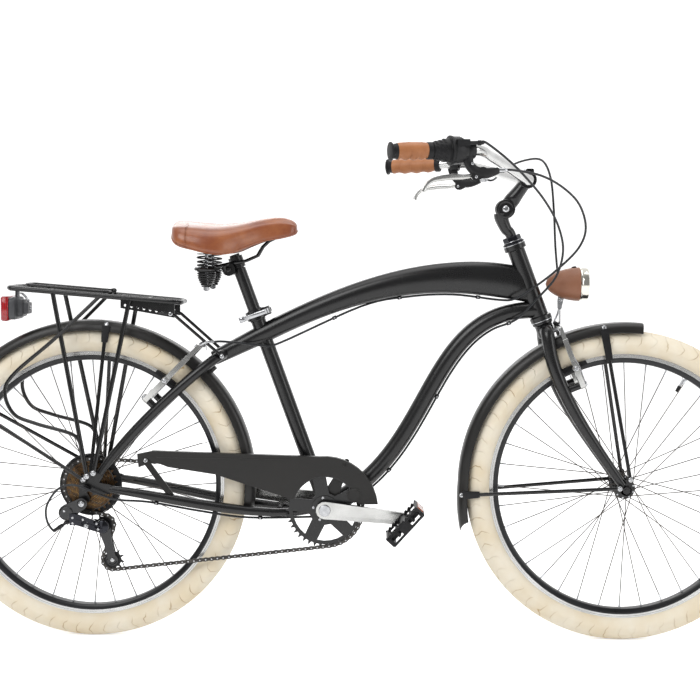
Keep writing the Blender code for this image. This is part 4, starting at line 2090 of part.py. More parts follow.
def build_saddle():
    post_slide = pivot_empty("seat_post_slide", SEAT_TUBE_TOP, ROOT)
    tilt = pivot_empty("saddle_tilt_axis", TILT_AXIS, post_slide)
    finish("seat_post", seat_post(), BLACK_STEEL, post_slide)
    finish("saddle_clamp", saddle_clamp(), BLACK_STEEL, post_slide)
    finish("saddle_rails", saddle_rails(), BLACK_STEEL, tilt)
    finish("spring_right", saddle_spring(-1), BLACK_STEEL, tilt)
    finish("spring_left", saddle_spring(1), BLACK_STEEL, tilt)
    finish("saddle", saddle(), BROWN_LEATHER, tilt)


def build_rear_wheel():
    rear = pivot_empty("rear_wheel_axis", REAR_AXLE, ROOT)
    finish("rear_tyre", tyre(REAR_AXLE), CREAM_RUBBER, rear)
    finish("rear_rim", rim(REAR_AXLE), BLACK_STEEL, rear)
    hub = laced_hub(REAR_AXLE, REAR_FLANGES, REAR_HUB_ENDS, HUB_BORE)
    finish("rear_hub_and_spokes", hub, BLACK_STEEL, rear)
    finish("spoke_protector", spoke_protector(), BLACK_RESIN, rear)
    axle = axle_with_nuts(REAR_AXLE, REAR_AXLE_HALF, REAR_SPACING / 2)
    finish("rear_axle", axle, BRIGHT_STEEL, ROOT)


def build_drive():
    crank_turn = pivot_empty("crank_axis", BOTTOM_BRACKET, ROOT)
    block_turn = pivot_empty("sprocket_axis", REAR_AXLE, ROOT)
    cage_turn = pivot_empty("cage_axis", GUIDE_PULLEY, ROOT)
    tension_turn = pivot_empty("tension_pulley_axis", TENSION_PULLEY, cage_turn)
    guide_turn = pivot_empty("guide_pulley_axis", GUIDE_PULLEY, cage_turn)
    pedal_right_turn = pivot_empty("pedal_right_axis", PEDAL_RIGHT, crank_turn)
    pedal_left_turn = pivot_empty("pedal_left_axis", PEDAL_LEFT, crank_turn)
    finish("chain", chain(), BLACK_STEEL, crank_turn)
    finish("chainring", chainring(), BLACK_STEEL, crank_turn)
    finish("sprockets", sprockets(), BROWN_STEEL, block_turn)
    finish("guide_pulley", pulley(GUIDE_PULLEY, 2), BLACK_RESIN, guide_turn)
    finish("tension_pulley", pulley(TENSION_PULLEY, 1), BLACK_RESIN, tension_turn)
    finish("derailleur_cage", derailleur_cage(), BLACK_STEEL, cage_turn)
    finish("derailleur_body", derailleur_body(), BLACK_STEEL, ROOT)
    finish("crank_right_and_axle", crank_right(), SILVER, crank_turn)
    finish("crank_left", crank_left(), SILVER, crank_turn)
    finish("pedal_right", pedal(-1, PEDAL_RIGHT), BLACK_RESIN, pedal_right_turn)
    finish("pedal_left", pedal(1, PEDAL_LEFT), BLACK_RESIN, pedal_left_turn)


def build_front():
    steer = pivot_empty("steering_axis", HEAD_LOW, ROOT)
    front = pivot_empty("front_wheel_axis", FRONT_AXLE, steer)
    stem_turn = pivot_empty("stem_axis", STEM_PIVOT, steer)
    lamp_turn = pivot_empty("headlight_axis", LAMP_PIVOT, steer)
    finish("fork", fork(), MATT_BLACK, steer)
    finish("front_mudguard", front_mudguard(), GUARD_BLACK, steer)
    finish("stem_quill", stem_quill(), BLACK_STEEL, steer)
    finish("stem_extension", stem_extension(), BLACK_STEEL, stem_turn)
    finish("handlebar", handlebar(), SILVER, stem_turn)
    finish("headlight", headlight(), BROWN_PAINT, lamp_turn)
    finish("front_axle", axle_with_nuts(FRONT_AXLE, FRONT_AXLE_HALF, FRONT_SPACING / 2), BRIGHT_STEEL, steer)
    finish("front_tyre", tyre(FRONT_AXLE), CREAM_RUBBER, front)
    finish("front_rim", rim(FRONT_AXLE), BLACK_STEEL, front)
    hub = laced_hub(FRONT_AXLE, FRONT_FLANGES, FRONT_HUB_ENDS, HUB_BORE)
    finish("front_hub_and_spokes", hub, BLACK_STEEL, front)
    build_controls(stem_turn)
    return steer


def build_controls(stem_turn):
    finish("grip_right", grip(RIGHT_GRIP_LENGTH), BROWN_LEATHER, stem_turn)
    finish("grip_left", mirror_across(grip(LEFT_GRIP_LENGTH)), BROWN_LEATHER, stem_turn)
    twist_place = GRIP_FRAME @ Vector((0, 0, RIGHT_GRIP_LENGTH))
    twist_turn = pivot_empty("twist_grip_axis", twist_place, stem_turn)
    finish("twist_grip", twist_grip(), BLACK_RUBBER, twist_turn)
    finish("shifter_housing", shifter_housing(), BLACK_RESIN, stem_turn)
    finish("brake_bracket_right", brake_bracket(), BLACK_RESIN, stem_turn)
    finish("brake_bracket_left", mirror_across(brake_bracket()), BLACK_RESIN, stem_turn)
    lever_place = GRIP_FRAME @ LEVER_PLACE
    right_turn = pivot_empty("brake_lever_right_axis", lever_place, stem_turn)
    left_turn = pivot_empty("brake_lever_left_axis", mirrored(lever_place), stem_turn)
    finish("brake_lever_right", brake_lever(), SILVER, right_turn)
    finish("brake_lever_left", mirror_across(brake_lever()), SILVER, left_turn)


def build_brakes(steer):
    for side, word in ((-1, "right"), (1, "left")):
        place = Vector((FRONT_PIVOT.x, FRONT_ARM_Y * side, FRONT_PIVOT.z))
        turn = pivot_empty("front_brake_axis_" + word, place, steer)
        arm = brake_arm(side, FRONT_PIVOT, FRONT_BRAKE_UP, FRONT_ARM_Y, FRONT_ARM_TOP, FRONT_AXLE)
        finish("front_brake_arm_" + word, arm, SILVER, turn)
        place = Vector((REAR_PIVOT.x, REAR_ARM_Y * side, REAR_PIVOT.z))
        turn = pivot_empty("rear_brake_axis_" + word, place, ROOT)
        arm = brake_arm(side, REAR_PIVOT, REAR_BRAKE_UP, REAR_ARM_Y, REAR_ARM_TOP, REAR_AXLE)
        finish("rear_brake_arm_" + word, arm, SILVER, turn)
    finish("front_brake_cable", front_brake_cable(), BLACK_RUBBER, steer)
    finish("rear_brake_cable", rear_brake_cable(), BLACK_RUBBER, ROOT)
    finish("shift_cable", shift_cable(), BLACK_RUBBER, ROOT)


build_frame()
build_saddle()
build_rear_wheel()
build_drive()
build_brakes(build_front())
for leftover in list(BENCH.objects):
    bpy.data.objects.remove(leftover, do_unlink=True)
bpy.data.collections.remove(BENCH)
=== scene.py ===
"""The finished look of the city bike: paint, metal, rubber, leather and the small fittings.
Points are in the bike's own frame, whose X starts at the rear axle; each finished piece is
moved to the shared frame, whose X starts at the middle of the bike.
"""

from math import asin, atan2, copysign, cos, degrees, hypot, pi, radians, sin, sqrt, tau

import bmesh
import bpy
from mathutils import Matrix, Vector
from mathutils.geometry import tessellate_polygon


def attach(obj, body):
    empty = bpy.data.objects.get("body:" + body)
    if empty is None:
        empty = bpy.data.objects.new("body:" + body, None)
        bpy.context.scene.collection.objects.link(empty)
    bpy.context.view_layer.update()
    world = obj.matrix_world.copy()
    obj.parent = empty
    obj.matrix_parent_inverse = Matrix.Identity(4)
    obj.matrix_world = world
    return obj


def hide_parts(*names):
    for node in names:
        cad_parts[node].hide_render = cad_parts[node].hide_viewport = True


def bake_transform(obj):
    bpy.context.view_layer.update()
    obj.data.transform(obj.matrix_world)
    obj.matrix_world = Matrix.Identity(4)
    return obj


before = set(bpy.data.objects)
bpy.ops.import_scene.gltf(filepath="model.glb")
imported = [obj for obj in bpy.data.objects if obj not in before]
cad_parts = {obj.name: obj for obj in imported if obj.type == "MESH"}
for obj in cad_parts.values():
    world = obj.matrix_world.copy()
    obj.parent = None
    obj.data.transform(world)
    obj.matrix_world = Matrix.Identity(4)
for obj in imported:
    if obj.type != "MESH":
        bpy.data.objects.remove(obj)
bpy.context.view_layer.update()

TO_SHARED = Vector((-0.56282, 0, 0))
ACROSS = Matrix.Rotation(-pi / 2, 4, "X")
UPRIGHT = Matrix.Rotation(pi / 2, 4, "X")


# Shapes: each is a list of points and a list of faces

def at(x, y=0.0, z=0.0):
    return Matrix.Translation((x, y, z))


def on_axle(point):
    """A place whose local Z runs across the bike."""
    return at(*point) @ ACROSS


def heading(angle):
    """The unit direction at an angle in degrees above +X in the bike's middle plane."""
    return Vector((cos(radians(angle)), 0, sin(radians(angle))))


def sideways(reach):
    return Vector((0, reach, 0))


def in_plane(point):
    """A point's place in the bike's middle plane."""
    return point.x, point.z


def mirrored(point):
    return Vector((point.x, -point.y, point.z))


def bezier(p0, p1, p2, p3, count):
    points = []
    for i in range(count):
        t = i / (count - 1)
        s = 1 - t
        points.append(p0 * s ** 3 + p1 * 3 * s * s * t + p2 * 3 * s * t * t + p3 * t ** 3)
    return points


def smooth(points, per_span):
    """Points on a smooth curve through every given point."""
    points = [Vector(point) for point in points]
    route = []
    last = len(points) - 1
    for i in range(last):
        a = points[i]
        b = points[i + 1]
        leave = (b - points[max(i - 1, 0)]) / 2
        arrive = (points[min(i + 2, last)] - a) / 2
        for step in range(per_span):
            t = step / per_span
            route.append(a * (2 * t ** 3 - 3 * t * t + 1) + leave * (t ** 3 - 2 * t * t + t)
                         + b * (3 * t * t - 2 * t ** 3) + arrive * (t ** 3 - t * t))
    route.append(points[last])
    return route


def eased(values, share):
    """A value between evenly spaced ones, by a share from 0 to 1."""
    place = min(max(share, 0), 1) * (len(values) - 1)
    i = min(int(place), len(values) - 2)
    return values[i] + (values[i + 1] - values[i]) * (place - i)


def direction(route, i):
    """The unit direction of a route at one of its points."""
    return (route[min(i + 1, len(route) - 1)] - route[max(i - 1, 0)]).normalized()


def rounded(wide, tall, count, soft_wide=1.0, soft_tall=None, first=0.0):
    """A closed section between an ellipse and a box: the lower its two powers, the squarer it is."""
    section = []
    for k in range(count):
        turn = tau * (k + first) / count
        a, b = cos(turn), sin(turn)
        section.append((wide * copysign(abs(a) ** soft_wide, a),
                        tall * copysign(abs(b) ** (soft_tall or soft_wide), b)))
    return section


def oblong(wide, tall):
    """A rectangle from half its width and half its height."""
    return [(-wide, -tall), (wide, -tall), (wide, tall), (-wide, tall)]


def loft(rings, closed=False, hoops=True):
    """A skin over rings of points, which have one count; hoops closes each ring."""
    width = len(rings[0])
    points = [point for ring in rings for point in ring]
    faces = []
    for i in range(len(rings) if closed else len(rings) - 1):
        here = i * width
        there = (i + 1) % len(rings) * width
        for j in range(width if hoops else width - 1):
            k = (j + 1) % width
            faces.append((here + j, here + k, there + k, there + j))
    if hoops and not closed:
        faces.append(tuple(range(width))[::-1])
        faces.append(tuple(range(len(points) - width, len(points))))
    return points, faces


def sweep(route, radius, sides=12, closed=False, section=None):
    """A tube along a route. A radius may be a list, and a section gives each ring's offsets."""
    rings = []
    count = len(route)
    level = None
    for i, point in enumerate(route):
        behind = route[i - 1] if closed or i else point
        ahead = route[(i + 1) % count] if closed or i < count - 1 else point
        way = (ahead - behind).normalized()
        if level is None:
            level = sideways(1) if abs(way.y) < 0.9 else Vector((0, 0, 1))
        level = (level - way * level.dot(way)).normalized()
        upright = way.cross(level)
        if section:
            offsets = section(i / (count - 1))
        else:
            reach = eased(radius, i / (count - 1)) if isinstance(radius, (list, tuple)) else radius
            offsets = rounded(reach, reach, sides)
        rings.append([point + level * a + upright * b for a, b in offsets])
    return loft(rings, closed)


def rod(start, end, radius, sides=12, end_radius=None):
    return sweep([start, end], [radius, radius if end_radius is None else end_radius], sides)


def lathe(profile, where, steps=32, ring=False):
    """A profile of (radius, height) pairs turned about local Z; ring closes a hollow one."""
    rings = []
    for i in range(steps):
        turn = tau * i / steps
        rings.append([where @ Vector((r * cos(turn), r * sin(turn), h)) for r, h in profile])
    return loft(rings, closed=True, hoops=ring)


def slab(outline, thickness, where, holes=()):
    """A flat piece from an outline in local XY, with its thickness halved about it."""
    rings = [outline, *holes]
    flat = [corner for ring in rings for corner in ring]
    half = thickness / 2
    points = [where @ Vector((a, b, h)) for h in (-half, half) for a, b in flat]
    count = len(flat)
    faces = []
    for tri in tessellate_polygon([[Vector((a, b, 0)) for a, b in ring] for ring in rings]):
        faces += [tuple(tri), tuple(i + count for i in tri)[::-1]]
    start = 0
    for ring in rings:
        for i in range(len(ring)):
            a = start + i
            b = start + (i + 1) % len(ring)
            faces.append((a, b, b + count, a + count))
        start += len(ring)
    return points, faces


def side_slab(outline, thickness, y, holes=()):
    """A slab whose outline is in the bike's X and Z, centred at y."""
    return slab(outline, thickness, at(0, y, 0) @ UPRIGHT, holes)


def brick(size, where):
    x, y, z = size
    half = [(-x / 2, -y / 2), (x / 2, -y / 2), (x / 2, y / 2), (-x / 2, y / 2)]
    return slab(half, z, where)


def arc(centre, radius, start, end, steps):
    turns = [radians(start + (end - start) * i / steps) for i in range(steps + 1)]
    return [(centre[0] + radius * cos(t), centre[1] + radius * sin(t)) for t in turns]


def circle(centre, radius, steps):
    return arc(centre, radius, 0, 360, steps)[:-1]


def belt(first, first_radius, second, second_radius, steps=8):
    """The outline round two circles and the straight sides that touch both."""
    dx = second[0] - first[0]
    dz = second[1] - first[1]
    aim = degrees(atan2(dz, dx))
    lean = degrees(asin((first_radius - second_radius) / hypot(dx, dz)))
    return (arc(second, second_radius, aim - 90 + lean, aim + 90 - lean, steps)
            + arc(first, first_radius, aim + 90 - lean, aim + 270 + lean, steps))


def bolt(place, way, radius, height=0.003, sides=20):
    """A domed head with a socket, standing on a surface."""
    turn = way.to_track_quat("Z", "Y").to_matrix().to_4x4()
    profile = [(0.0, height * 0.45), (radius * 0.42, height * 0.45), (radius * 0.46, height),
               (radius * 0.72, height * 0.92), (radius * 0.93, height * 0.62), (radius, height * 0.25),
               (radius, -height * 0.5), (0.0, -height * 0.5)]
    return lathe(profile, at(*place) @ turn, sides)


def both_sides(*shapes):
    """The shapes and their mirror images across the bike."""
    out = list(shapes)
    for points, faces in shapes:
        out.append(([mirrored(point) for point in points], faces))
    return out


def placed(name, data):
    obj = bpy.data.objects.new(name, data)
    bpy.context.scene.collection.objects.link(obj)
    return obj


def round_edges(obj, width, corner):
    """A fine rounding along the edges that turn by more than a corner in degrees."""
    rounding = obj.modifiers.new("rounding", "BEVEL")
    rounding.width = width
    rounding.segments = 2
    rounding.limit_method = "ANGLE"
    rounding.angle_limit = radians(corner)
    rounding.harden_normals = True


def piece(name, body, look, shapes, hides=(), slot=None, bevel=0.0, sharp=38, body_to=None, span=()):
    """Joins shapes into one named piece that moves with a body; with a second body it is only placed, on no
    body.
    """
    points = []
    faces = []
    for shape_points, shape_faces in shapes:
        start = len(points)
        points += [point + TO_SHARED for point in shape_points]
        faces += [tuple(i + start for i in face) for face in shape_faces]
    mesh = bpy.data.meshes.new(name)
    mesh.from_pydata(points, [], faces)
    shape = bmesh.new()
    shape.from_mesh(mesh)
    bmesh.ops.remove_doubles(shape, verts=shape.verts, dist=1e-6)
    bmesh.ops.dissolve_degenerate(shape, edges=shape.edges, dist=1e-6)
    bmesh.ops.recalc_face_normals(shape, faces=shape.faces)
    shape.to_mesh(mesh)
    shape.free()
    mesh.shade_smooth()
    mesh.set_sharp_from_angle(angle=radians(sharp))
    mesh.materials.append(look)
    obj = placed(name, mesh)
    if bevel:
        round_edges(obj, bevel, 40)
    if body_to:
        start, end = (Vector(point) + TO_SHARED for point in span)
        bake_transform(obj)
    else:
        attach(obj, body)
    if hides:
        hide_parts(*hides)
    slot or SLOT_OF[look]
    return obj


# Materials

def linear(colour):
    """An sRGB hex colour as the linear colour that a shader takes."""
    channels = [int(colour[i:i + 2], 16) / 255 for i in (0, 2, 4)]
    return (*(c / 12.92 if c <= 0.04045 else ((c + 0.055) / 1.055) ** 2.4 for c in channels), 1)


def feed(node, **sockets):
    """Fills a node's sockets, each named by its key, or by i and its number, from a constant, another
    node's output or a node, whose first output it takes."""
    for key, value in sockets.items():
        number = key[1:]
        socket = node.inputs[int(number) if number.isdigit() else key.replace("_", " ")]
        if isinstance(value, bpy.types.Node):
            value = value.outputs[0]
        if isinstance(value, bpy.types.NodeSocket):
            node.id_data.links.new(value, socket)
        else:
            socket.default_value = value
    return node


def add(tree, kind, settings=None, **sockets):
    """Adds a shader node; settings may name its operation alone."""
    made = tree.nodes.new("ShaderNode" + kind)
    if isinstance(settings, str):
        settings = {"operation": settings}
    for key, value in (settings or {}).items():
        setattr(made, key, value)
    return feed(made, **sockets)


def blank(name):
    """A new material with its Principled shader, and the place on the piece in metres."""
    made = bpy.data.materials.new(name)
    made.use_nodes = True
    tree = made.node_tree
    return made, tree, tree.nodes["Principled BSDF"], add(tree, "TexCoord").outputs["Object"]


def surface(name, colour, worn, grain, rough, spread, relief, metal=0.0, stretch=(1, 1, 1),
            patch=0.06, shine=0.5):
    """A finish whose colour, gloss and relief follow a grain of a real size in metres.

    A second, broad pattern of the patch's size varies the colour like handling and dust.
    """
    made, tree, shader, place = blank(name)
    stretched = add(tree, "Mapping", Vector=place, Scale=stretch)
    fine = add(tree, "TexNoise", Vector=stretched, Scale=1 / grain, Detail=4.0)
    broad = add(tree, "TexNoise", Vector=place, Scale=1 / patch, Detail=3.0, Roughness=0.6)
    both = add(tree, "Math", "MULTIPLY_ADD", i0=fine, i1=0.35, i2=broad)
    share = add(tree, "MapRange", Value=both, From_Min=0.45, From_Max=0.95)
    mixed = add(tree, "Mix", {"data_type": "RGBA"}, i0=share, i6=linear(colour), i7=linear(worn))
    gloss = add(tree, "MapRange", Value=both, From_Min=0.4, From_Max=1.0,
                To_Min=rough - spread, To_Max=rough + spread)
    bump = add(tree, "Bump", Height=fine, Strength=0.6, Distance=relief)
    feed(shader, Base_Color=mixed.outputs[2], Roughness=gloss, Normal=bump, Metallic=metal,
         Specular_IOR_Level=shine)
    return made


# Satin powder coat: the orange peel breaks up the long highlights on the tubes
FRAME_PAINT = surface("powder_coated_frame_steel", "09090a", "121213", 0.0016, 0.27, 0.03, 0.00002,
                      patch=0.12, shine=0.5)
# Matt coat on the rolled guards: a dull, slightly brown black that only shades softly
GUARD_PAINT = surface("matt_coated_guard_steel", "12110f", "1b1917", 0.0009, 0.38, 0.05, 0.00003, patch=0.09,
                      shine=0.45)
# Coated wire and small stampings: darker and glossier than the guards
BLACK_WIRE = surface("black_coated_steel_wire", "0a0a0b", "141415", 0.001, 0.24, 0.05, 0.00003, shine=0.5)
# Zinc-plated fasteners: bright with a faint crystal mottle
ZINC = surface("zinc_plated_steel", "bfc0c2", "a2a3a6", 0.0007, 0.22, 0.05, 0.00001, 1.0, patch=0.012)
# Drawn and polished aluminium: fine lines along the tube
ALLOY = surface("polished_drawn_aluminium", "d0d0cf", "bdbdbc", 0.0005, 0.19, 0.03, 0.00001, 1.0,
                (0.12, 1, 1), patch=0.08)
# Forged and tumbled aluminium of cranks and levers: softer than the bar
FORGED = surface("tumbled_forged_aluminium", "c8c8c6", "b2b2b0", 0.0008, 0.25, 0.04, 0.00002, 1.0)
# Chromed brass of the lamp's ring
CHROME = surface("chrome_plated_brass", "e6e3da", "cfcbbf", 0.002, 0.1, 0.04, 0.000005, 1.0)
# The rim's machined brake track: turned lines round the wheel
TRACK = surface("machined_brake_track", "c4c4c3", "b0b0af", 0.0004, 0.26, 0.03, 0.00001, 1.0, (1, 6, 1))
# The rim's anodised body
RIM_BLACK = surface("black_anodised_aluminium", "101113", "1c1d20", 0.0007, 0.32, 0.06, 0.00001, shine=0.4)
# Spokes: drawn wire, gone dull
SPOKE_WIRE = surface("drawn_spoke_wire", "57524e", "3f3b38", 0.0006, 0.32, 0.08, 0.00001, 0.9)
# Sprockets: brown heat-treated plates with rubbed bright spots
BROWN_STEEL = surface("brown_hardened_sprocket_steel", "3b2a1c", "6e5538", 0.0016, 0.38, 0.1, 0.00004,
                      0.75, patch=0.01)
# Chain plates: oiled dark steel
CHAIN_STEEL = surface("oiled_chain_steel", "2c2b2a", "565350", 0.0011, 0.36, 0.1, 0.00003, 0.8, patch=0.02)
# Black chrome of the headset nuts: dark, with hard bright glints
BLACK_CHROME = surface("black_chromed_headset_steel", "232428", "36373c", 0.0012, 0.2, 0.06, 0.00001, 0.9)
# Gloss lacquer over pressed steel: the derailleur's hard highlights
GLOSS_BLACK = surface("gloss_lacquered_pressed_steel", "0a0a0c", "141519", 0.0014, 0.18, 0.04, 0.00001,
                      shine=0.6)
# The edges of the sprockets: brassy where the brown has worn, and also a painted highlight, a bright ring
# along each edge
BRASSY_WEAR_AND_HIGHLIGHT = surface("rubbed_sprocket_edge_and_painted_highlight", "a5824c", "6b4f2e", 0.0008, 0.3, 0.08, 0.00001, 1.0, patch=0.004)
# Moulded resin: the fine spark-eroded stipple of pedals, brackets and pulleys
RESIN = surface("injection_moulded_black_resin", "0f0f11", "1b1b1d", 0.0006, 0.44, 0.08, 0.00004, patch=0.03,
                shine=0.32)
# Extruded cable liner: smooth with long soft glints
LINER = surface("extruded_cable_liner", "161719", "26282c", 0.002, 0.32, 0.06, 0.00001, patch=0.05, shine=0.4)
# Moulded rubber of the twist grip
GRIP_BLACK = surface("moulded_black_rubber", "111112", "1c1c1e", 0.0007, 0.52, 0.07, 0.00004, patch=0.02,
                     shine=0.28)
# Brown grip sleeve: soft rubber with a leather grain
GRIP_BROWN = surface("grained_brown_grip_rubber", "b37548", "9c6139", 0.0011, 0.46, 0.08, 0.00012, patch=0.03)
# Lamp shell: matt brown lacquer
LAMP_BROWN = surface("brown_lacquered_lamp_shell", "96654b", "85563d", 0.0012, 0.5, 0.05, 0.00002, patch=0.05)
# Grey housing of the tail light
GREY_CASE = surface("moulded_grey_light_case", "3c3d40", "505154", 0.0007, 0.45, 0.06, 0.00003, patch=0.03)


def tyre_rubber():
    """Cream tyre rubber: patches of dust, curved tread cuts on the shoulders darkened brown with painted
    shade that is patchy after the dust noise, and fine skin.

    The map's u runs round the tread and v across it, both in metres.
    """
    made, tree, shader, place = blank("vulcanised_cream_tyre_rubber")
    split = add(tree, "SeparateXYZ", Vector=add(tree, "UVMap"))
    around, over = split.outputs[0], split.outputs[1]
    wide = add(tree, "Math", "ABSOLUTE", i0=over)
    sway = add(tree, "Math", "SINE", i0=add(tree, "Math", "MULTIPLY", i0=over, i1=150.0))
    shifted = add(tree, "Math", "MULTIPLY_ADD", i0=sway, i1=0.005, i2=around)
    waver = add(tree, "TexNoise", Vector=place, Scale=34.0, Detail=2.0)
    moved = add(tree, "Math", "MULTIPLY_ADD", i0=waver, i1=0.03, i2=shifted)
    phase = add(tree, "Math", "PINGPONG", i0=moved, i1=0.016)
    line = add(tree, "MapRange", Value=phase, From_Min=0.0003, From_Max=0.0012, To_Min=1.0, To_Max=0.0)
    outside = add(tree, "MapRange", Value=wide, From_Min=0.005, From_Max=0.008)
    inside = add(tree, "MapRange", Value=wide, From_Min=0.04, From_Max=0.05, To_Min=1.0, To_Max=0.0)
    band = add(tree, "Math", "MULTIPLY", i0=outside, i1=inside)
    cuts = add(tree, "Math", "MULTIPLY", i0=line, i1=band)
    skin = add(tree, "TexNoise", Vector=place, Scale=900.0, Detail=3.0)
    dust = add(tree, "TexNoise", Vector=place, Scale=16.0, Detail=4.0)
    dusty = add(tree, "MapRange", Value=dust, From_Min=0.35, From_Max=0.8)
    base = add(tree, "Mix", {"data_type": "RGBA"}, i0=dusty, i6=linear("f1e8d5"), i7=linear("e5d4b4"))
    # Painted shade: the tread cuts are darkened towards bfa173, more where the dust noise is high.
    cut_painted_shade = add(tree, "Math", "MULTIPLY", i0=cuts, i1=add(
        tree, "MapRange", Value=dust, From_Min=0.42, From_Max=0.6, To_Min=0.1, To_Max=0.95))
    colour = add(tree, "Mix", {"data_type": "RGBA"}, i0=cut_painted_shade, i6=base.outputs[2], i7=linear("bfa173"))
    depth = add(tree, "Math", "MULTIPLY_ADD", i0=cuts, i1=-1.0, i2=add(
        tree, "Math", "MULTIPLY", i0=skin, i1=0.06))
    bump = add(tree, "Bump", Height=depth, Strength=0.8, Distance=0.0012)
    feed(shader, Base_Color=colour.outputs[2], Roughness=0.62, Normal=bump)
    return made


def leather():
    """Tanned saddle leather: a creased grain of half a millimetre, with painted shade darkening the creases.
    """
    made, tree, shader, place = blank("waxed_brown_saddle_leather")
    warp = add(tree, "TexNoise", Vector=place, Scale=420.0, Detail=2.0)
    warped = add(tree, "VectorMath", "MULTIPLY_ADD", i0=warp.outputs[1],
                 i1=(0.0011, 0.0011, 0.0011), i2=place)
    cells = add(tree, "TexVoronoi", {"feature": "DISTANCE_TO_EDGE"}, Vector=warped, Scale=950.0)
    grain = add(tree, "MapRange", Value=cells, From_Min=0.0, From_Max=0.22)
    cloud = add(tree, "TexNoise", Vector=place, Scale=19.0, Detail=4.0, Roughness=0.6)
    share = add(tree, "MapRange", Value=cloud, From_Min=0.36, From_Max=0.7)
    base = add(tree, "Mix", {"data_type": "RGBA"}, i0=share, i6=linear("8a4624"), i7=linear("ab6435"))
    # Painted shade: the creases of the grain are darkened towards 5c2e16.
    crease_painted_shade = add(tree, "MapRange", Value=grain, To_Min=0.3, To_Max=0.0)
    colour = add(tree, "Mix", {"data_type": "RGBA"}, i0=crease_painted_shade, i6=base.outputs[2], i7=linear("5c2e16"))
    gloss = add(tree, "MapRange", Value=cloud, From_Min=0.35, From_Max=0.7, To_Min=0.3, To_Max=0.42)
    bump = add(tree, "Bump", Height=grain, Strength=0.35, Distance=0.00012)
    feed(shader, Base_Color=colour.outputs[2], Roughness=gloss, Normal=bump, Coat_Weight=0.45,
         Coat_Roughness=0.2)
    return made


def moulded_lens(name, colour, deep, ribs, turn):
    """A ribbed lens: parallel ribs of a real pitch under a smooth glossy face; the rib troughs take the
    darker deep colour as painted shade.
    """
    made, tree, shader, place = blank(name)
    turned = add(tree, "Mapping", Vector=place, Rotation=turn)
    wave = add(tree, "TexWave", {"wave_profile": "SIN"}, Vector=turned, Scale=0.314 / ribs,
               Distortion=0.4, Detail=1.0)
    value = add(tree, "RGBToBW", Color=wave)
    # Painted shade: where the ribs dip, the colour turns to the darker deep colour.
    mixed = add(tree, "Mix", {"data_type": "RGBA"}, i0=value, i6=linear(deep), i7=linear(colour))
    bump = add(tree, "Bump", Height=value, Strength=0.5, Distance=0.0006)
    feed(shader, Base_Color=mixed.outputs[2], Roughness=0.14, Normal=bump, Coat_Weight=0.6,
         Coat_Roughness=0.04)
    return made


TYRE_RUBBER = tyre_rubber()
LEATHER = leather()
RED_LENS = moulded_lens("moulded_red_light_lens", "c0141c", "7a060c", 0.0035, (0, 0, 0.0))
AMBER = moulded_lens("moulded_amber_reflector", "c65c15", "8c380a", 0.0024, (0, 0, 0.6))
GLASS = moulded_lens("pressed_lamp_glass", "f4f2ea", "c9c8c2", 0.004, (pi / 2, 0, 0))

# The record's slot that each finish belongs to
SLOT_OF = {look: slot for slot, looks in {
    "frame_paint": (FRAME_PAINT,), "guard_paint": (GUARD_PAINT,),
    "black_steel": (BLACK_WIRE, GLOSS_BLACK, RIM_BLACK, SPOKE_WIRE), "bright_steel": (ZINC, CHROME),
    "silver": (ALLOY, FORGED, TRACK, GLASS), "dark_steel": (BLACK_CHROME, BRASSY_WEAR_AND_HIGHLIGHT, CHAIN_STEEL),
    "brown_leather": (LEATHER,), "brown_rubber": (GRIP_BROWN,), "brown_paint": (LAMP_BROWN,),
    "cream_rubber": (TYRE_RUBBER,), "black_resin": (GRIP_BLACK, LINER, RESIN), "grey_plastic": (GREY_CASE,),
    "red_lens": (AMBER,)}.items() for look in looks}


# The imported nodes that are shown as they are: smooth skins with crisp edges, and their finishes

KEPT = {
    FRAME_PAINT: ("head_tube", "seat_tube_and_shell", "chain_stays_and_dropouts"),
    GUARD_PAINT: ("chain_guard",),
    BLACK_WIRE: ("seat_collar", "seat_post", "saddle_clamp", "saddle_rails", "rear_axle", "front_axle",
                 "chainring"),
    ZINC: ("quick_release_lever",),
    FORGED: ("crank_right_and_axle", "crank_left"),
    BROWN_STEEL: ("sprockets",),
    RESIN: ("guide_pulley", "tension_pulley", "spoke_protector", "shifter_housing"),
    RED_LENS: ("tail_light_lens",),
}


def dress(node, look):
    """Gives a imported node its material, a smooth skin, split edges and a fine edge rounding."""
    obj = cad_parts[node]
    mesh = obj.data
    if "custom_normal" in mesh.attributes:
        mesh.attributes.remove(mesh.attributes["custom_normal"])
    mesh.materials.clear()
    mesh.materials.append(look)
    mesh.polygons.foreach_set("use_smooth", [True] * len(mesh.polygons))
    joined = obj.modifiers.new("joined", "WELD")
    joined.merge_threshold = 1e-5
    round_edges(obj, 0.0005, 52)
    edges = obj.modifiers.new("edges", "EDGE_SPLIT")
    edges.split_angle = radians(62 if node == "saddle_rails" else 50)


for look, nodes in KEPT.items():
    for node in nodes:
        dress(node, look)


# Wheels

WHEELBASE = 1.141
TREAD_RADIUS = 0.335
REAR_AXLE = Vector((0, 0, TREAD_RADIUS))
FRONT_AXLE = Vector((WHEELBASE, 0, TREAD_RADIUS))
SPOKES = 36
TUBE_CENTRE = 0.3085
CASING_RADIUS = 0.0268
RIM_BED = 0.2664
SPOKE_CIRCLE = 0.0196
FLANGES = {"rear": (-0.0235, 0.034), "front": (-0.033, 0.033)}
HUB_ENDS = {"rear": (-0.0585, 0.0605), "front": (-0.045, 0.045)}


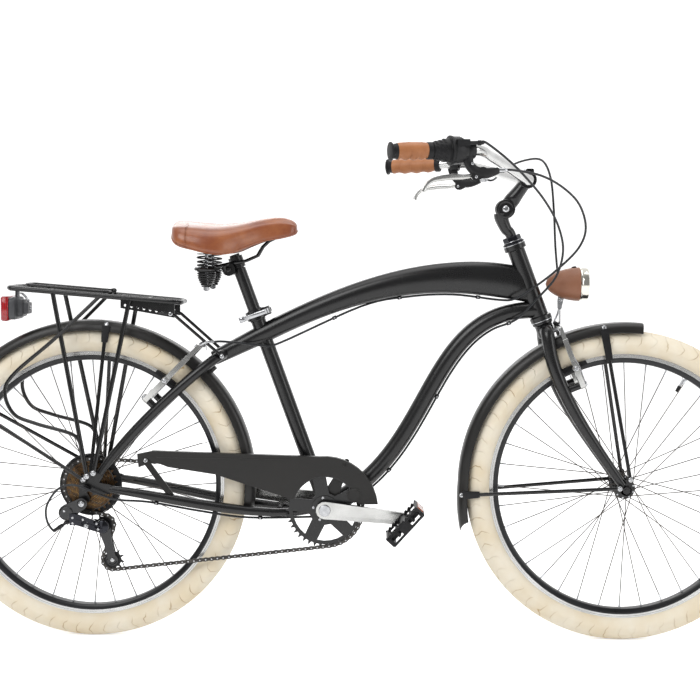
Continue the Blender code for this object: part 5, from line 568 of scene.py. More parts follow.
def map_tread(obj, axle):
    """Lays the map round the tyre in metres: u along the tread, v across it."""
    mesh = obj.data
    middle = axle + TO_SHARED
    layer = mesh.uv_layers.new(name="tread")
    for face in mesh.polygons:
        turns = []
        for corner in face.loop_indices:
            point = mesh.vertices[mesh.loops[corner].vertex_index].co - middle
            turns.append(atan2(point.z, point.x))
        wraps = max(turns) - min(turns) > pi
        for corner, turn in zip(face.loop_indices, turns):
            point = mesh.vertices[mesh.loops[corner].vertex_index].co - middle
            over = atan2(point.y, hypot(point.x, point.z) - TUBE_CENTRE) * CASING_RADIUS
            if wraps and turn < 0:
                turn += tau
            layer.data[corner].uv = (turn * TREAD_RADIUS, over)


def tyre(name, axle):
    """A balloon casing with a fine moulding line each side, down to its beads."""
    profile = []
    for i in range(41):
        turn = radians(-150 + 300 * i / 40)
        line = 0.0005 if i in (7, 8, 32, 33) else 0.0
        profile.append((TUBE_CENTRE + (0.0265 + line) * cos(turn), (0.027 + line) * sin(turn)))
    body = name.replace("tyre", "wheel")
    obj = piece(name + "_casing", body, TYRE_RUBBER, [lathe(profile, on_axle(axle), 180, ring=True)],
                hides=(name,))
    map_tread(obj, axle)


def rim(end, axle):
    """The dark channel, and the two machined tracks that the brake blocks press on."""
    half = 0.01375
    body = [(0.285, half - 0.0022), (0.2795, half - 0.0026), (0.2795, 0.0026 - half),
            (0.285, 0.0022 - half), (0.279, -half + 0.0003), (0.2776, -half), (0.27, -0.0122),
            (0.2672, -0.0098), (0.2663, -0.006), (0.2663, 0.006), (0.2672, 0.0098),
            (0.27, 0.0122), (0.2776, half), (0.279, half - 0.0003)]
    piece(end + "_rim_body", end + "_wheel", RIM_BLACK, [lathe(body, on_axle(axle), 144, ring=True)],
          hides=(end + "_rim",), sharp=30)
    tracks = []
    for side in (-1, 1):
        track = [(0.2779, side * (half + 0.0001)), (0.2783, side * (half + 0.0004)),
                 (0.2818, side * (half + 0.0004)), (0.2822, side * (half + 0.0001)),
                 (0.2826, side * (half + 0.0004)), (0.2856, side * (half + 0.0004)),
                 (0.2862, side * (half - 0.0003)), (0.2862, side * (half - 0.002)),
                 (0.28, side * (half - 0.0018))]
        tracks.append(lathe(track, on_axle(axle), 144, ring=True))
    piece(end + "_rim_tracks", end + "_wheel", TRACK, tracks, sharp=30)


def spoke_ends(end, index):
    """Where a spoke leaves its flange and where it meets the rim, about the axle."""
    side = 1 if index % 2 else -1
    pair = (index // 2) % 2
    step = tau / SPOKES
    rim_turn = index * step
    hub_turn = rim_turn + 3 * tau / (SPOKES / 2) * (1 if pair else -1)
    y = FLANGES[end][0] if side < 0 else FLANGES[end][1]
    outside = side * (0.0024 if pair else -0.0024)
    hub = Vector((cos(hub_turn), 0, sin(hub_turn))) * SPOKE_CIRCLE + sideways(y)
    foot = Vector((cos(rim_turn), 0, sin(rim_turn))) * RIM_BED + sideways(side * 0.003)
    return hub, sideways(outside), foot


def spokes(end, axle):
    """Each spoke from its head, round its elbow and out to its nipple, crossing three others."""
    wires = []
    nipples = []
    for index in range(SPOKES):
        hub, outside, foot = spoke_ends(end, index)
        way = (foot - hub).normalized()
        head = axle + hub - outside
        elbow = axle + hub + outside
        wires.append(sweep([head, elbow, elbow + way * 0.004, axle + foot - way * 0.006], 0.001, 6))
        start = axle + foot - way * 0.013
        nipples.append(rod(start, axle + foot + way * 0.001, 0.0016, 8, 0.002))
        heads = outside.normalized() * 0.0016
        nipples.append(rod(head - heads * 0.2, head - heads * 0.9, 0.0019, 8))
    body = end + "_wheel"
    piece(end + "_spoke_wires", body, SPOKE_WIRE, wires, hides=(end + "_hub_and_spokes",))
    piece(end + "_spoke_nipples", body, ZINC, nipples)


def hub(end, axle):
    """The shell with its two drilled flanges and the dust caps at its ends."""
    near, far = FLANGES[end]
    start, stop = HUB_ENDS[end]
    profile = [(0.0092, stop), (0.0098, stop - 0.001), (0.0098, far + 0.0035), (0.015, far + 0.0028),
               (0.0222, far + 0.0016), (0.0229, far), (0.0222, far - 0.0016), (0.0155, far - 0.0034),
               (0.0137, far - 0.007), (0.0128, (near + far) / 2), (0.0137, near + 0.007),
               (0.0155, near + 0.0034), (0.0222, near + 0.0016), (0.0229, near), (0.0222, near - 0.0016),
               (0.015, near - 0.0028), (0.0098, near - 0.0035), (0.0098, start + 0.001), (0.0092, start),
               (0.0056, start), (0.0056, stop)]
    piece(end + "_hub_shell", end + "_wheel", BLACK_WIRE, [lathe(profile, on_axle(axle), 48, ring=True)])


def valve(end, axle, turn):
    """The valve through the rim with its black cap."""
    way = heading(turn)
    root = axle + way * RIM_BED
    stem = [rod(root + way * 0.002, root - way * 0.02, 0.0029, 14),
            rod(root + way * 0.0005, root - way * 0.003, 0.0052, 6)]
    cap = [rod(root - way * 0.019, root - way * 0.033, 0.0042, 14, 0.0036)]
    piece(end + "_valve_stem", end + "_wheel", ZINC, stem, bevel=0.0004)
    piece(end + "_valve_cap", end + "_wheel", RESIN, cap, bevel=0.0006)


for end, axle, turn in (("rear", REAR_AXLE, 205.0), ("front", FRONT_AXLE, 61.0)):
    tyre(end + "_tyre", axle)
    rim(end, axle)
    spokes(end, axle)
    hub(end, axle)
    valve(end, axle, turn)


# Frame tubes

BOTTOM_BRACKET = Vector((0.5035, 0, 0.289))
SEAT_UP = Vector((-0.34366, 0, 0.93909))
STEER_UP = Vector((-0.35347, 0, 0.93544))
STEER_AHEAD = Vector((0.93544, 0, 0.35347))
STEER_FOOT = Vector((1.09824, 0, TREAD_RADIUS))
STEER_ANGLE = 69.3
SEAT_TOP = BOTTOM_BRACKET + SEAT_UP * 0.45
ARCH_START = BOTTOM_BRACKET + SEAT_UP * 0.394
ARCH_END = STEER_FOOT + STEER_UP * (0.39 + 0.152 * 0.46)
WISHBONE = ARCH_START + Vector((-0.105, 0, -0.053))
STAY_FOOT = REAR_AXLE + Vector((0.026, 0, 0.029))


def steer_point(height, ahead=0.0, y=0.0):
    return STEER_FOOT + STEER_UP * height + STEER_AHEAD * ahead + sideways(y)


def arch_line(count):
    return bezier(ARCH_START, ARCH_START + heading(27) * 0.215,
                  ARCH_END - heading(-12) * 0.215, ARCH_END, count)


def down_line(count):
    top = steer_point(0.404)
    return bezier(BOTTOM_BRACKET, BOTTOM_BRACKET + heading(24) * 0.267,
                  top - heading(-1.5) * 0.25, top, count)


def arch():
    """The arched top tube: it deepens towards the head and turns into line with the head tube."""
    tail = [WISHBONE.lerp(ARCH_START, i / 10) for i in range(10)]
    bow = arch_line(60)
    route = tail + bow
    rings = []
    for i, point in enumerate(route):
        way = direction(route, i)
        share = max((i - len(tail)) / (len(bow) - 1), 0)
        narrow = min(i / len(tail), 1)
        upright = Vector((-way.z, 0, way.x)).lerp(STEER_UP, max((share - 0.7) / 0.3, 0) ** 1.2).normalized()
        tall = 0.0155 + 0.005 * narrow + 0.0215 * share ** 1.7
        wide = 0.0155 + 0.005 * narrow - 0.005 * max((share - 0.94) / 0.06, 0) ** 1.5
        rings.append([point + sideways(a) + upright * b for a, b in rounded(wide, tall, 36, 0.9)])
    return loft(rings[:-1])


def seat_stay(side):
    start = WISHBONE + Vector((0.022, 0.01 * side, 0.01))
    foot = STAY_FOOT + sideways(0.0705 * side)
    route = bezier(start, start + Vector((-0.023, 0.062 * side, -0.004)),
                   STAY_FOOT + Vector((0.062, 0.04 * side, 0.095)), foot, 40)
    return sweep(route, [0.011] * 7 + [0.0105, 0.0094, 0.008], 20)


REAR_PIVOT = Vector((0.1244, 0, 0.5228))
REAR_ARM_TOP = Vector((0.233, 0, 0.632))
FRONT_PIVOT = Vector((1.046, 0, 0.558))
FRONT_ARM_TOP = Vector((0.999, 0, 0.676))
REAR_ARM_UP = (REAR_ARM_TOP - REAR_PIVOT).normalized()
FRONT_ARM_UP = (FRONT_ARM_TOP - FRONT_PIVOT).normalized()


def brake_stud(pivot, up, y, neck, ahead):
    """The neck on the frame, with the way out to the bolt in front of the arm and the stud's centre."""
    out = Vector((-up.z, 0, up.x)) * ahead
    centre = Vector((pivot.x, y, pivot.z))
    return rod(centre - out * neck, centre - out * 0.0058, 0.0075, 20), out, centre


def frame_tubes():
    shapes = [arch(), seat_stay(-1), seat_stay(1)]
    up = REAR_ARM_UP
    heads = []
    for side in (-1, 1):
        neck, out, centre = brake_stud(REAR_PIVOT, up, 0.0505 * side, 0.029, 1)
        shapes.append(neck)
        heads.append(bolt(centre + out * 0.006, out, 0.007, 0.0045))
    piece("arched_top_tube_and_stays", "frame", FRAME_PAINT, shapes, hides=("top_tube_and_seat_stays",))
    piece("swept_down_tube", "frame", FRAME_PAINT, [sweep(down_line(60), 0.018, 28)], hides=("down_tube",))
    return heads


FRAME_BOLTS = frame_tubes()


def weld_ring(centre, way, radius, thickness=0.0016):
    """The thin fillet of a joint between tubes."""
    turn = way.to_track_quat("Z", "Y").to_matrix().to_4x4()
    ring = [(radius + thickness * cos(t), thickness * 1.6 * sin(t)) for t in (tau * k / 8 for k in range(8))]
    return lathe(ring, at(*centre) @ turn, 36, ring=True)


piece("tube_joint_fillets", "frame", FRAME_PAINT, [
    weld_ring(BOTTOM_BRACKET + SEAT_UP * 0.0205, SEAT_UP, 0.0158),
    weld_ring(BOTTOM_BRACKET + heading(24) * 0.0215, heading(24), 0.0178),
    weld_ring(SEAT_TOP - SEAT_UP * 0.0235, SEAT_UP, 0.0157)])


# Brakes: forged arms, each with its block, the block's washers and nut, and a return spring

BLOCK_RADIUS = 0.2802
BLOCK_OUT = 0.0221


def brake_arm(name, body, side, pivot, up, arm_y, top, axle):
    centre = Vector((pivot.x, arm_y * side, pivot.z))
    across = sideways(side)
    where = at(*centre) @ Matrix((across, up, across.cross(up))).transposed().to_4x4()
    length = (top - pivot).length
    knee = (0.003, length * 0.42)
    arm = [slab(belt((0, 0), 0.0085, knee, 0.006), 0.011, where, [circle((0, 0), 0.0052, 20)]),
           slab(belt(knee, 0.006, (-0.006, length), 0.0048), 0.009, where),
           slab(belt((0.0005, 0.016), 0.0026, (0.001, length * 0.8), 0.002), 0.0112, where)]
    piece(name + "_forging", body, FORGED, arm, hides=(name,), bevel=0.0012)
    from_axle = pivot - axle
    along = from_axle.dot(up)
    height = -along + sqrt(along ** 2 - from_axle.length_squared + BLOCK_RADIUS ** 2)
    pad = Vector((pivot.x, side * BLOCK_OUT, pivot.z)) + up * height
    radial = (Vector((pad.x, 0, pad.z)) - axle).normalized()
    lean = atan2(radial.x, radial.z)
    turned = at(*pad) @ Matrix.Rotation(lean, 4, "Y")
    outline = [(-0.028, -0.0042), (-0.0265, -0.0048), (0.0265, -0.0048), (0.028, -0.0042), (0.028, 0.003),
               (0.0262, 0.0045), (-0.0262, 0.0045), (-0.028, 0.003)]
    block = [slab(outline, 0.0078, turned @ UPRIGHT)]
    for x in (-0.017, -0.0085, 0.0085, 0.017):
        block.append(brick((0.0012, 0.0086, 0.0102), turned @ at(x, side * 0.0006)))
    piece(name + "_block", body, GRIP_BLACK, block, bevel=0.0004)
    post = pad + sideways(side * 0.004)
    out = arm_y - BLOCK_OUT
    stack = [rod(post, post + across * (out + 0.007), 0.0034, 16)]
    for reach, radius in ((out - 0.0115, 0.007), (out - 0.0145, 0.0058), (out + 0.002, 0.007)):
        middle = post + across * reach
        stack.append(rod(middle, middle + across * 0.0022, radius, 28, radius * 0.86))
    stack.append(bolt(post + across * (out + 0.0042), across, 0.0058, 0.0042))
    spring = smooth([where @ Vector(p) for p in (
        (0.0, 0.004, -0.0075), (0.006, 0.01, -0.0078),
        (0.0085, length * 0.34, -0.0072), (0.008, length * 0.5, -0.004))], 6)
    stack.append(sweep(spring, 0.0009, 8))
    tip = where @ Vector((-0.006, length, 0))
    stack.append(bolt(tip + where.to_3x3() @ Vector((0, 0, 0.0045)), where.to_3x3() @ Vector((0, 0, 1)),
                      0.004, 0.003))
    piece(name + "_hardware", body, ZINC, stack, bevel=0.0002)


for side, word, ahead in ((-1, "right", "near"), (1, "left", "far")):
    brake_arm("rear_brake_arm_" + word, "rear_arm_" + ahead, side, REAR_PIVOT,
              REAR_ARM_UP, 0.0505, REAR_ARM_TOP, REAR_AXLE)
    brake_arm("front_brake_arm_" + word, "front_arm_" + ahead, side, FRONT_PIVOT,
              FRONT_ARM_UP, 0.0475, FRONT_ARM_TOP, FRONT_AXLE)


# Fork

def fork():
    """Blades that leave the crown like shoulders, sweep down and end in slotted tips."""
    shapes = []
    widths = (0.05, 0.0535, 0.0545, 0.0545, 0.0542, 0.0537, 0.053, 0.0525)
    tip = FRONT_AXLE + Vector((-0.007, 0, 0.01))
    heads = []
    up = FRONT_ARM_UP
    for side in (-1, 1):
        start = steer_point(0.346, -0.004)
        leg = bezier(start, start + heading(-83) * 0.115, tip - heading(-55) * 0.118, tip, 9)
        route = [steer_point(0.359), steer_point(0.358, 0, 0.025 * side),
                 steer_point(0.351, -0.002, 0.0425 * side)]
        route += [Vector((p.x, y * side, p.z)) for p, y in zip(leg[1:], widths)]
        shapes.append(sweep(smooth(route, 6), [0.0143, 0.0143, 0.0143, 0.0143, 0.0139, 0.0132, 0.0122,
                                               0.0112, 0.0103, 0.0095], 24))
        axle = in_plane(FRONT_AXLE)
        eye = (FRONT_AXLE.x + 0.008, FRONT_AXLE.z + 0.023)
        y = side * 0.0525
        shapes.append(side_slab(belt(in_plane(tip), 0.0086, axle, 0.0125), 0.005, y))
        shapes.append(side_slab(belt(axle, 0.0124, eye, 0.0062), 0.005, y))
        neck, out, centre = brake_stud(FRONT_PIVOT, up, 0.0475 * side, 0.043, -1)
        shapes.append(neck)
        heads.append(bolt(centre + out * 0.006, out, 0.007, 0.0045))
        heads.append(bolt(Vector((eye[0], side * 0.0612, eye[1])), sideways(side), 0.0052, 0.003))
    place = at(*STEER_FOOT) @ Matrix.Rotation(radians(STEER_ANGLE - 90), 4, "Y")
    crown = [(0.0, 0.344), (0.015, 0.344), (0.0182, 0.347), (0.0187, 0.352), (0.0187, 0.37),
             (0.0219, 0.3735), (0.0219, 0.3775), (0.0, 0.3775)]
    shapes.append(lathe(crown, place, 40))
    piece("swept_fork_blades", "steerer", FRAME_PAINT, shapes, hides=("fork",), bevel=0.0006)
    nut = [(0.0116, 0.5545), (0.0228, 0.5545), (0.0232, 0.5556), (0.0226, 0.558), (0.0196, 0.5592),
           (0.0116, 0.5592)]
    washer = [(0.0116, 0.5594), (0.0206, 0.5594), (0.021, 0.5602), (0.0206, 0.561), (0.0116, 0.561)]
    hexagon = [(0.0118, 0.5612), (0.0196, 0.5612), (0.0196, 0.569), (0.018, 0.5712), (0.0118, 0.5712)]
    shapes = [lathe(nut, place, 40, ring=True), lathe(hexagon, place, 6, ring=True)]
    piece("headset_nuts", "steerer", BLACK_CHROME, shapes, bevel=0.0006)
    piece("headset_washer", "steerer", ZINC, [lathe(washer, place, 40, ring=True)])
    piece("headset_cup_lines", "frame", ZINC, [
        lathe([(0.0232, h), (0.0241, h + 0.0006), (0.0241, h + 0.0018), (0.0232, h + 0.0024)], place, 40)
        for h in (0.3788, 0.5518)])
    return heads


FORK_BOLTS = fork()
LAMP_PIVOT = Vector((1.003, 0, 0.7355))


def lamp_bracket():
    """A bright bent strip from the crown's bolt up to two ears round the lamp's lug."""
    foot = steer_point(0.354, 0.0165)
    low = Vector((LAMP_PIVOT.x - 0.001, 0, foot.z))
    knee = LAMP_PIVOT + Vector((-0.0015, 0, -0.0175))
    strip = smooth([foot + Vector((0.003, 0, 0)), low + Vector((-0.003, 0, 0)), low.lerp(knee, 0.3), knee], 8)
    shapes = [sweep(strip, 0, section=lambda s: oblong(0.007, 0.0011))]
    for side in (-1, 1):
        outline = belt(in_plane(knee), 0.004, in_plane(LAMP_PIVOT), 0.006)
        shapes.append(side_slab(outline, 0.002, side * 0.0043))
        shapes.append(bolt(LAMP_PIVOT + sideways(side * 0.0053), sideways(side), 0.0042, 0.0026))
    shapes.append(bolt(foot + Vector((0.004, 0, 0)), Vector((1, 0, 0)), 0.006, 0.004))
    piece("lamp_bracket", "steerer", ZINC, shapes, bevel=0.0003)


lamp_bracket()


# Chain: its pins lie on one path round the ring, both pulleys and the largest sprocket

PITCH = 0.0127
LINKS = 124
RING_TEETH = 40
SPROCKET_TEETH = 28
PULLEY_TEETH = 11
CAGE_LENGTH = 0.077
GUIDE_PULLEY = REAR_AXLE + Vector((0.029, 0, -0.0865))
RING_PLANE = -0.0475
SPROCKET_PLANE = -0.0365


def pitch_radius(teeth):
    return PITCH / (2 * sin(pi / teeth))


def chain_wheels(cage_angle):
    """Each wheel's x, z, tooth count, sense of turning and plane."""
    tension = GUIDE_PULLEY + heading(cage_angle) * CAGE_LENGTH
    return [(BOTTOM_BRACKET.x, BOTTOM_BRACKET.z, RING_TEETH, 1, RING_PLANE),
            (tension.x, tension.z, PULLEY_TEETH, 1, SPROCKET_PLANE),
            (GUIDE_PULLEY.x, GUIDE_PULLEY.z, PULLEY_TEETH, -1, SPROCKET_PLANE),
            (REAR_AXLE.x, REAR_AXLE.z, SPROCKET_TEETH, 1, SPROCKET_PLANE)]


def chain_path(cage_angle):
    """Stretches of the path, each a length in links and a way to place a share of it."""
    wheels = chain_wheels(cage_angle)
    runs = []
    for i, (x, z, teeth, sense, plane) in enumerate(wheels):
        x2, z2, teeth2, sense2, plane2 = wheels[(i + 1) % 4]
        offset = sense * pitch_radius(teeth) - sense2 * pitch_radius(teeth2)
        travel = atan2(z2 - z, x2 - x) - asin(offset / hypot(x2 - x, z2 - z))
        normal = travel + pi / 2
        ends = []
        for cx, cz, count, turn in ((x, z, teeth, sense), (x2, z2, teeth2, sense2)):
            reach = turn * pitch_radius(count)
            ends.append((cx + reach * cos(normal), cz + reach * sin(normal)))
        runs.append((travel, ends[0], ends[1], plane, plane2))
    stretches = []
    for i, (x, z, teeth, sense, plane) in enumerate(wheels):
        arrival = runs[i - 1][0] + sense * pi / 2
        departure = runs[i][0] + sense * pi / 2
        turned = (sense * (arrival - departure)) % tau
        stretches.append((turned * teeth / tau, "arc",
                          (x, z, pitch_radius(teeth), arrival, sense * turned, plane)))
        travel, start, end, first, second = runs[i]
        length = hypot(end[0] - start[0], end[1] - start[1]) / PITCH
        stretches.append((length, "run", (start, end, first, second)))
    return stretches


def settled_cage():
    """The cage swings until the path holds the chain's whole number of links."""
    slack, taut = -150.0, -10.0
    for _ in range(50):
        middle = (slack + taut) / 2
        if sum(stretch[0] for stretch in chain_path(middle)) > LINKS:
            slack = middle
        else:
            taut = middle
    return (slack + taut) / 2


CAGE_ANGLE = settled_cage()
TENSION_PULLEY = GUIDE_PULLEY + heading(CAGE_ANGLE) * CAGE_LENGTH
PATH = chain_path(CAGE_ANGLE)


def pin_place(link):
    """The centre of one of the chain's pins."""
    link = link % LINKS
    for length, kind, facts in PATH:
        if link > length:
            link -= length
            continue
        share = link / length
        if kind == "arc":
            x, z, reach, arrival, turned, plane = facts
            turn = arrival - turned * share
            return Vector((x + reach * cos(turn), plane, z + reach * sin(turn)))
        start, end, first, second = facts
        skew = min(max((share - 0.12) / 0.76, 0), 1)
        return Vector((start[0] + (end[0] - start[0]) * share, first + (second - first) * skew,
                       start[1] + (end[1] - start[1]) * share))
    return pin_place(0)


def link_plate(start, end, y):
    """A waisted side plate between two pins."""
    dx, dz = end.x - start.x, end.z - start.z
    aim = degrees(atan2(dz, dx))
    middle = ((start.x + end.x) / 2, (start.z + end.z) / 2)
    side = radians(aim + 90)
    waist = 0.0029
    upper = (middle[0] + waist * cos(side), middle[1] + waist * sin(side))
    lower = (middle[0] - waist * cos(side), middle[1] - waist * sin(side))
    outline = arc(in_plane(end), 0.004, aim - 100, aim + 100, 6) + [upper]
    outline += arc(in_plane(start), 0.004, aim + 80, aim + 280, 6) + [lower]
    return side_slab(outline, 0.001, (start.y + end.y) / 2 + y)


def chain_links(first, last):
    """Plates, rollers and pins from one link to another."""
    plates = []
    pins = []
    for link in range(first, last):
        start, end = pin_place(link), pin_place(link + 1)
        gap = 0.00175 if link % 2 else 0.00285
        plates += [link_plate(start, end, -gap), link_plate(start, end, gap)]
        pins.append(rod(start + sideways(-0.0036), start + sideways(0.0036), 0.0016, 8))
        plates.append(rod(start + sideways(-0.0013), start + sideways(0.0013), 0.0037, 10))
    return plates, pins


def chain():
    """The links round the cage's pulleys swing with it; those next to them are only placed, on no body."""
    counts = [stretch[0] for stretch in PATH]
    lower = round(counts[0] + counts[1])
    guide = round(sum(counts[:4]))
    leaving = guide + 1
    groups = (("chain_on_the_wheels", "frame", leaving, LINKS + lower - 9, None),
              ("chain_to_the_cage", "frame", lower - 9, lower, "cage"),
              ("chain_in_the_cage", "cage", lower, guide - 2, None),
              ("chain_off_the_cage", "cage", guide - 2, leaving, "frame"))
    for name, body, first, last, onward in groups:
        plates, pins = chain_links(first, last)
        span = (pin_place(first), pin_place(last)) if onward else ()
        piece(name, body, CHAIN_STEEL, plates, hides=("chain",) if name == "chain_on_the_wheels" else (),
              body_to=onward, span=span)
        piece(name + "_pins", body, ZINC, pins, body_to=onward, span=span)


chain()
CRANK_DROP = 5.1
CRANK_LENGTH = 0.17
PEDAL_RIGHT = BOTTOM_BRACKET + heading(-CRANK_DROP) * CRANK_LENGTH
PEDAL_LEFT = BOTTOM_BRACKET - heading(-CRANK_DROP) * CRANK_LENGTH


def crank_fittings():
    """Ring bolts round the spider, the cap in the crank, and the pedal spindles' flats."""
    shapes = []
    for k in range(5):
        place = BOTTOM_BRACKET + heading(28 + 72 * k) * 0.0245 + sideways(RING_PLANE - 0.004)
        shapes.append(bolt(place, sideways(-1), 0.0034, 0.002, 14))
    for side, pedal in ((-1, PEDAL_RIGHT), (1, PEDAL_LEFT)):
        out = sideways(side)
        shapes.append(rod(pedal + out * 0.0783, pedal + out * 0.08, 0.0085, 6))
    piece("crank_fittings", "crankset", ZINC, shapes, bevel=0.0003)
    caps = [rod(BOTTOM_BRACKET + sideways(-0.0696), BOTTOM_BRACKET + sideways(-0.0722), 0.0128, 32, 0.0118)]
    piece("crank_bolt_cap", "crankset", ZINC, caps, bevel=0.0005)


crank_fittings()


def pedal(name, body, side, place):
    """Two ribbed treads round a barrel, with notched edges and end reflectors."""
    centre = place + sideways(side * (0.0555 + 0.01 + 0.013 + 0.0015 + 0.043))
    where = at(*centre) @ Matrix.Rotation(-radians(48), 4, "Y")
    shapes = [lathe([(0.0047, -0.04), (0.0125, -0.04), (0.0128, -0.036), (0.0108, -0.03),
                     (0.0108, 0.03), (0.0118, 0.036), (0.0112, 0.0405), (0.0047, 0.0405)],
                    where @ ACROSS, 28, ring=True)]
    for y in (-0.0385, 0.0385):
        rail = [(-0.0465, -0.0095), (-0.044, -0.0125), (0.044, -0.0125), (0.0465, -0.0095)]
        steps = 9
        for i in range(steps + 1):
            x = 0.044 - 0.088 * i / steps
            rail += [(x + 0.003, 0.0095), (x + 0.0016, 0.0132), (x - 0.0016, 0.0132)]
        rail = [corner for corner in rail if abs(corner[0]) <= 0.0466] + [(-0.0465, 0.0095)]
        windows = [[(s * 0.0125, -0.0078), (s * 0.0375, -0.0078), (s * 0.0375, 0.0058), (s * 0.0125, 0.0058)]
                   for s in (-1, 1)]
        shapes.append(slab(rail, 0.007, where @ at(0, y, 0) @ UPRIGHT, windows))
    for x in (-0.0425, 0.0425):
        shapes.append(brick((0.006, 0.078, 0.0235), where @ at(x)))
    for x in (-0.021, 0.021):
        shapes.append(brick((0.006, 0.074, 0.012), where @ at(x)))
    for y in (-0.018, 0.018):
        shapes.append(brick((0.086, 0.006, 0.011), where @ at(0, y, 0)))
    piece(name + "_tread", body, RESIN, shapes, hides=(name,), bevel=0.0008)
    lamps = [brick((0.0026, 0.056, 0.015), where @ at(x)) for x in (-0.0463, 0.0463)]
    piece(name + "_reflectors", body, AMBER, lamps, bevel=0.0008)
    cap = rod(centre + sideways(side * 0.04), centre + sideways(side * 0.0425), 0.0088, 24)
    piece(name + "_end_cap", body, RESIN, [cap], bevel=0.0006)


pedal("pedal_right", "pedal_near", -1, PEDAL_RIGHT)
pedal("pedal_left", "pedal_far", 1, PEDAL_LEFT)


def derailleur():
    """Hanger knuckle, the two link plates with their pins and spring, the cage knuckle and the barrel."""
    near = sideways(-1)
    hanger = REAR_AXLE + Vector((-0.008, -0.085, -0.031))
    elbow = REAR_AXLE + Vector((-0.04, -0.085, -0.05))
    start = REAR_AXLE + Vector((-0.029, -0.085, -0.0645))
    end = Vector((GUIDE_PULLEY.x, -0.0525, GUIDE_PULLEY.z))
    shapes = [side_slab(belt(in_plane(hanger), 0.012, in_plane(elbow), 0.0168), 0.016, -0.085),
              rod(hanger + sideways(0.008), hanger + sideways(0.0185), 0.006, 20)]
    for centre, radius, deep in ((elbow, 0.015, 0.003), (hanger, 0.0098, 0.002)):
        face = centre + near * 0.008
        shapes.append(rod(face, face + near * deep, radius, 36, radius * 0.84))
    piece("derailleur_hanger_knuckle", "frame", GLOSS_BLACK, shapes, hides=("derailleur_body",), bevel=0.0022)
    plates = []
    for lift, y, far_y in ((0.0052, -0.0955, -0.064), (-0.0062, -0.0945, -0.063)):
        line = [(start.x - 0.004, y, start.z + lift + 0.001),
                (start.x + 0.014, y, start.z + lift),
                (end.x - 0.014, far_y, end.z + lift + 0.003),
                (end.x + 0.002, far_y, end.z + lift)]
        plates.append(sweep(smooth(line, 6), 0, section=lambda s: [
            (a, b * (1 - 0.25 * s)) for a, b in ((-0.0014, -0.007), (0.0014, -0.007), (0.0026, 0.0),
                                                 (0.0014, 0.007), (-0.0014, 0.007))]))
    eye = [(0.0, -0.011), (0.01, -0.011), (0.0138, -0.0085), (0.0145, -0.005), (0.0145, 0.007), (0.0, 0.007)]
    plates.append(lathe(eye, on_axle(end), 40))
    inner = [start + Vector((0, 0.0105, -0.001)), start.lerp(end, 0.5) + Vector((0, 0.0125, -0.001)),
             end + Vector((-0.004, 0.0075, 0.0))]
    plates.append(sweep(smooth(inner, 5), 0.0062, 14))
    piece("derailleur_links", "frame", BLACK_CHROME, plates, bevel=0.0008)
    coil = []
    way = (end - start).normalized()
    middle = start + Vector((0.006, -0.003, -0.0005))
    up = way.cross(sideways(1)).normalized()
    for k in range(73):
        turn = tau * k / 12
        coil.append(middle + way * 0.03 * k / 72 + up * 0.0042 * cos(turn)
                    + way.cross(up) * 0.0042 * sin(turn))
    bright = [sweep(coil, 0.0008, 6), bolt(hanger + near * 0.0098, near, 0.0062, 0.0024),
              bolt(elbow + near * 0.0108 + Vector((-0.004, 0, 0.004)), near, 0.0026, 0.0016, 12)]
    for x, z, y in ((-0.026, -0.0595, -0.0985), (-0.026, -0.0715, -0.0975), (0.019, -0.0775, -0.0695),
                    (0.022, -0.0895, -0.068), (-0.006, -0.065, -0.09), (-0.001, -0.082, -0.086)):
        bright.append(bolt(REAR_AXLE + Vector((x, y, z)), near, 0.0029, 0.002, 14))
    clamp = REAR_AXLE + Vector((0.001, -0.09, -0.079))
    bright.append(rod(clamp, clamp + near * 0.0025, 0.0052, 24, 0.0046))
    bright.append(bolt(clamp + near * 0.0025, near, 0.0036, 0.003))
    piece("derailleur_bolts_and_spring", "frame", ZINC, bright)
    outer = REAR_AXLE + Vector((-0.059, -0.085, -0.084))
    aim = (start - outer).normalized()
    barrel = [rod(outer, outer + aim * 0.011, 0.0044, 10), rod(outer + aim * 0.011, start, 0.003, 16),
              rod(outer + aim * 0.02, outer + aim * 0.026, 0.0056, 6)]
    piece("derailleur_barrel", "frame", RESIN, barrel, bevel=0.0003)


def cage():
    """The cage's two plates, windowed over the lower pulley, its stop tab and its bolts."""
    near = sideways(-1)
    first = in_plane(GUIDE_PULLEY)
    second = in_plane(TENSION_PULLEY)
    aim = degrees(atan2(second[1] - first[1], second[0] - first[0]))
    windows = [arc(second, 0.0104, aim - 62, aim + 62, 10) + arc(second, 0.0072, aim + 62, aim - 62, 10)]
    shapes = []
    for y in (-0.0056, 0.0056):
        shapes.append(side_slab(belt(first, 0.0146, (first[0] + (second[0] - first[0]) * 0.45,
                                                     first[1] + (second[1] - first[1]) * 0.45), 0.0098),
                                0.0015, SPROCKET_PLANE + y))
        shapes.append(side_slab(belt(first, 0.0098, second, 0.0086), 0.0014, SPROCKET_PLANE + y))
        shapes.append(side_slab(circle(second, 0.0122, 40), 0.0013, SPROCKET_PLANE + y, windows))
    tab = TENSION_PULLEY + heading(aim + 28) * -0.0125
    shapes.append(brick((0.0075, 0.0125, 0.0075), Matrix.Translation(
        Vector((tab.x - 0.001, SPROCKET_PLANE, tab.z - 0.006))) @ Matrix.Rotation(0.5, 4, "Y")))
    piece("derailleur_cage_plates", "cage", GLOSS_BLACK, shapes, hides=("derailleur_cage",), bevel=0.0004)
    faces = [bolt(centre + sideways(SPROCKET_PLANE - 0.0066), near, 0.0046, 0.002)
             for centre in (GUIDE_PULLEY, TENSION_PULLEY)]
    piece("cage_bolts", "cage", ZINC, faces)


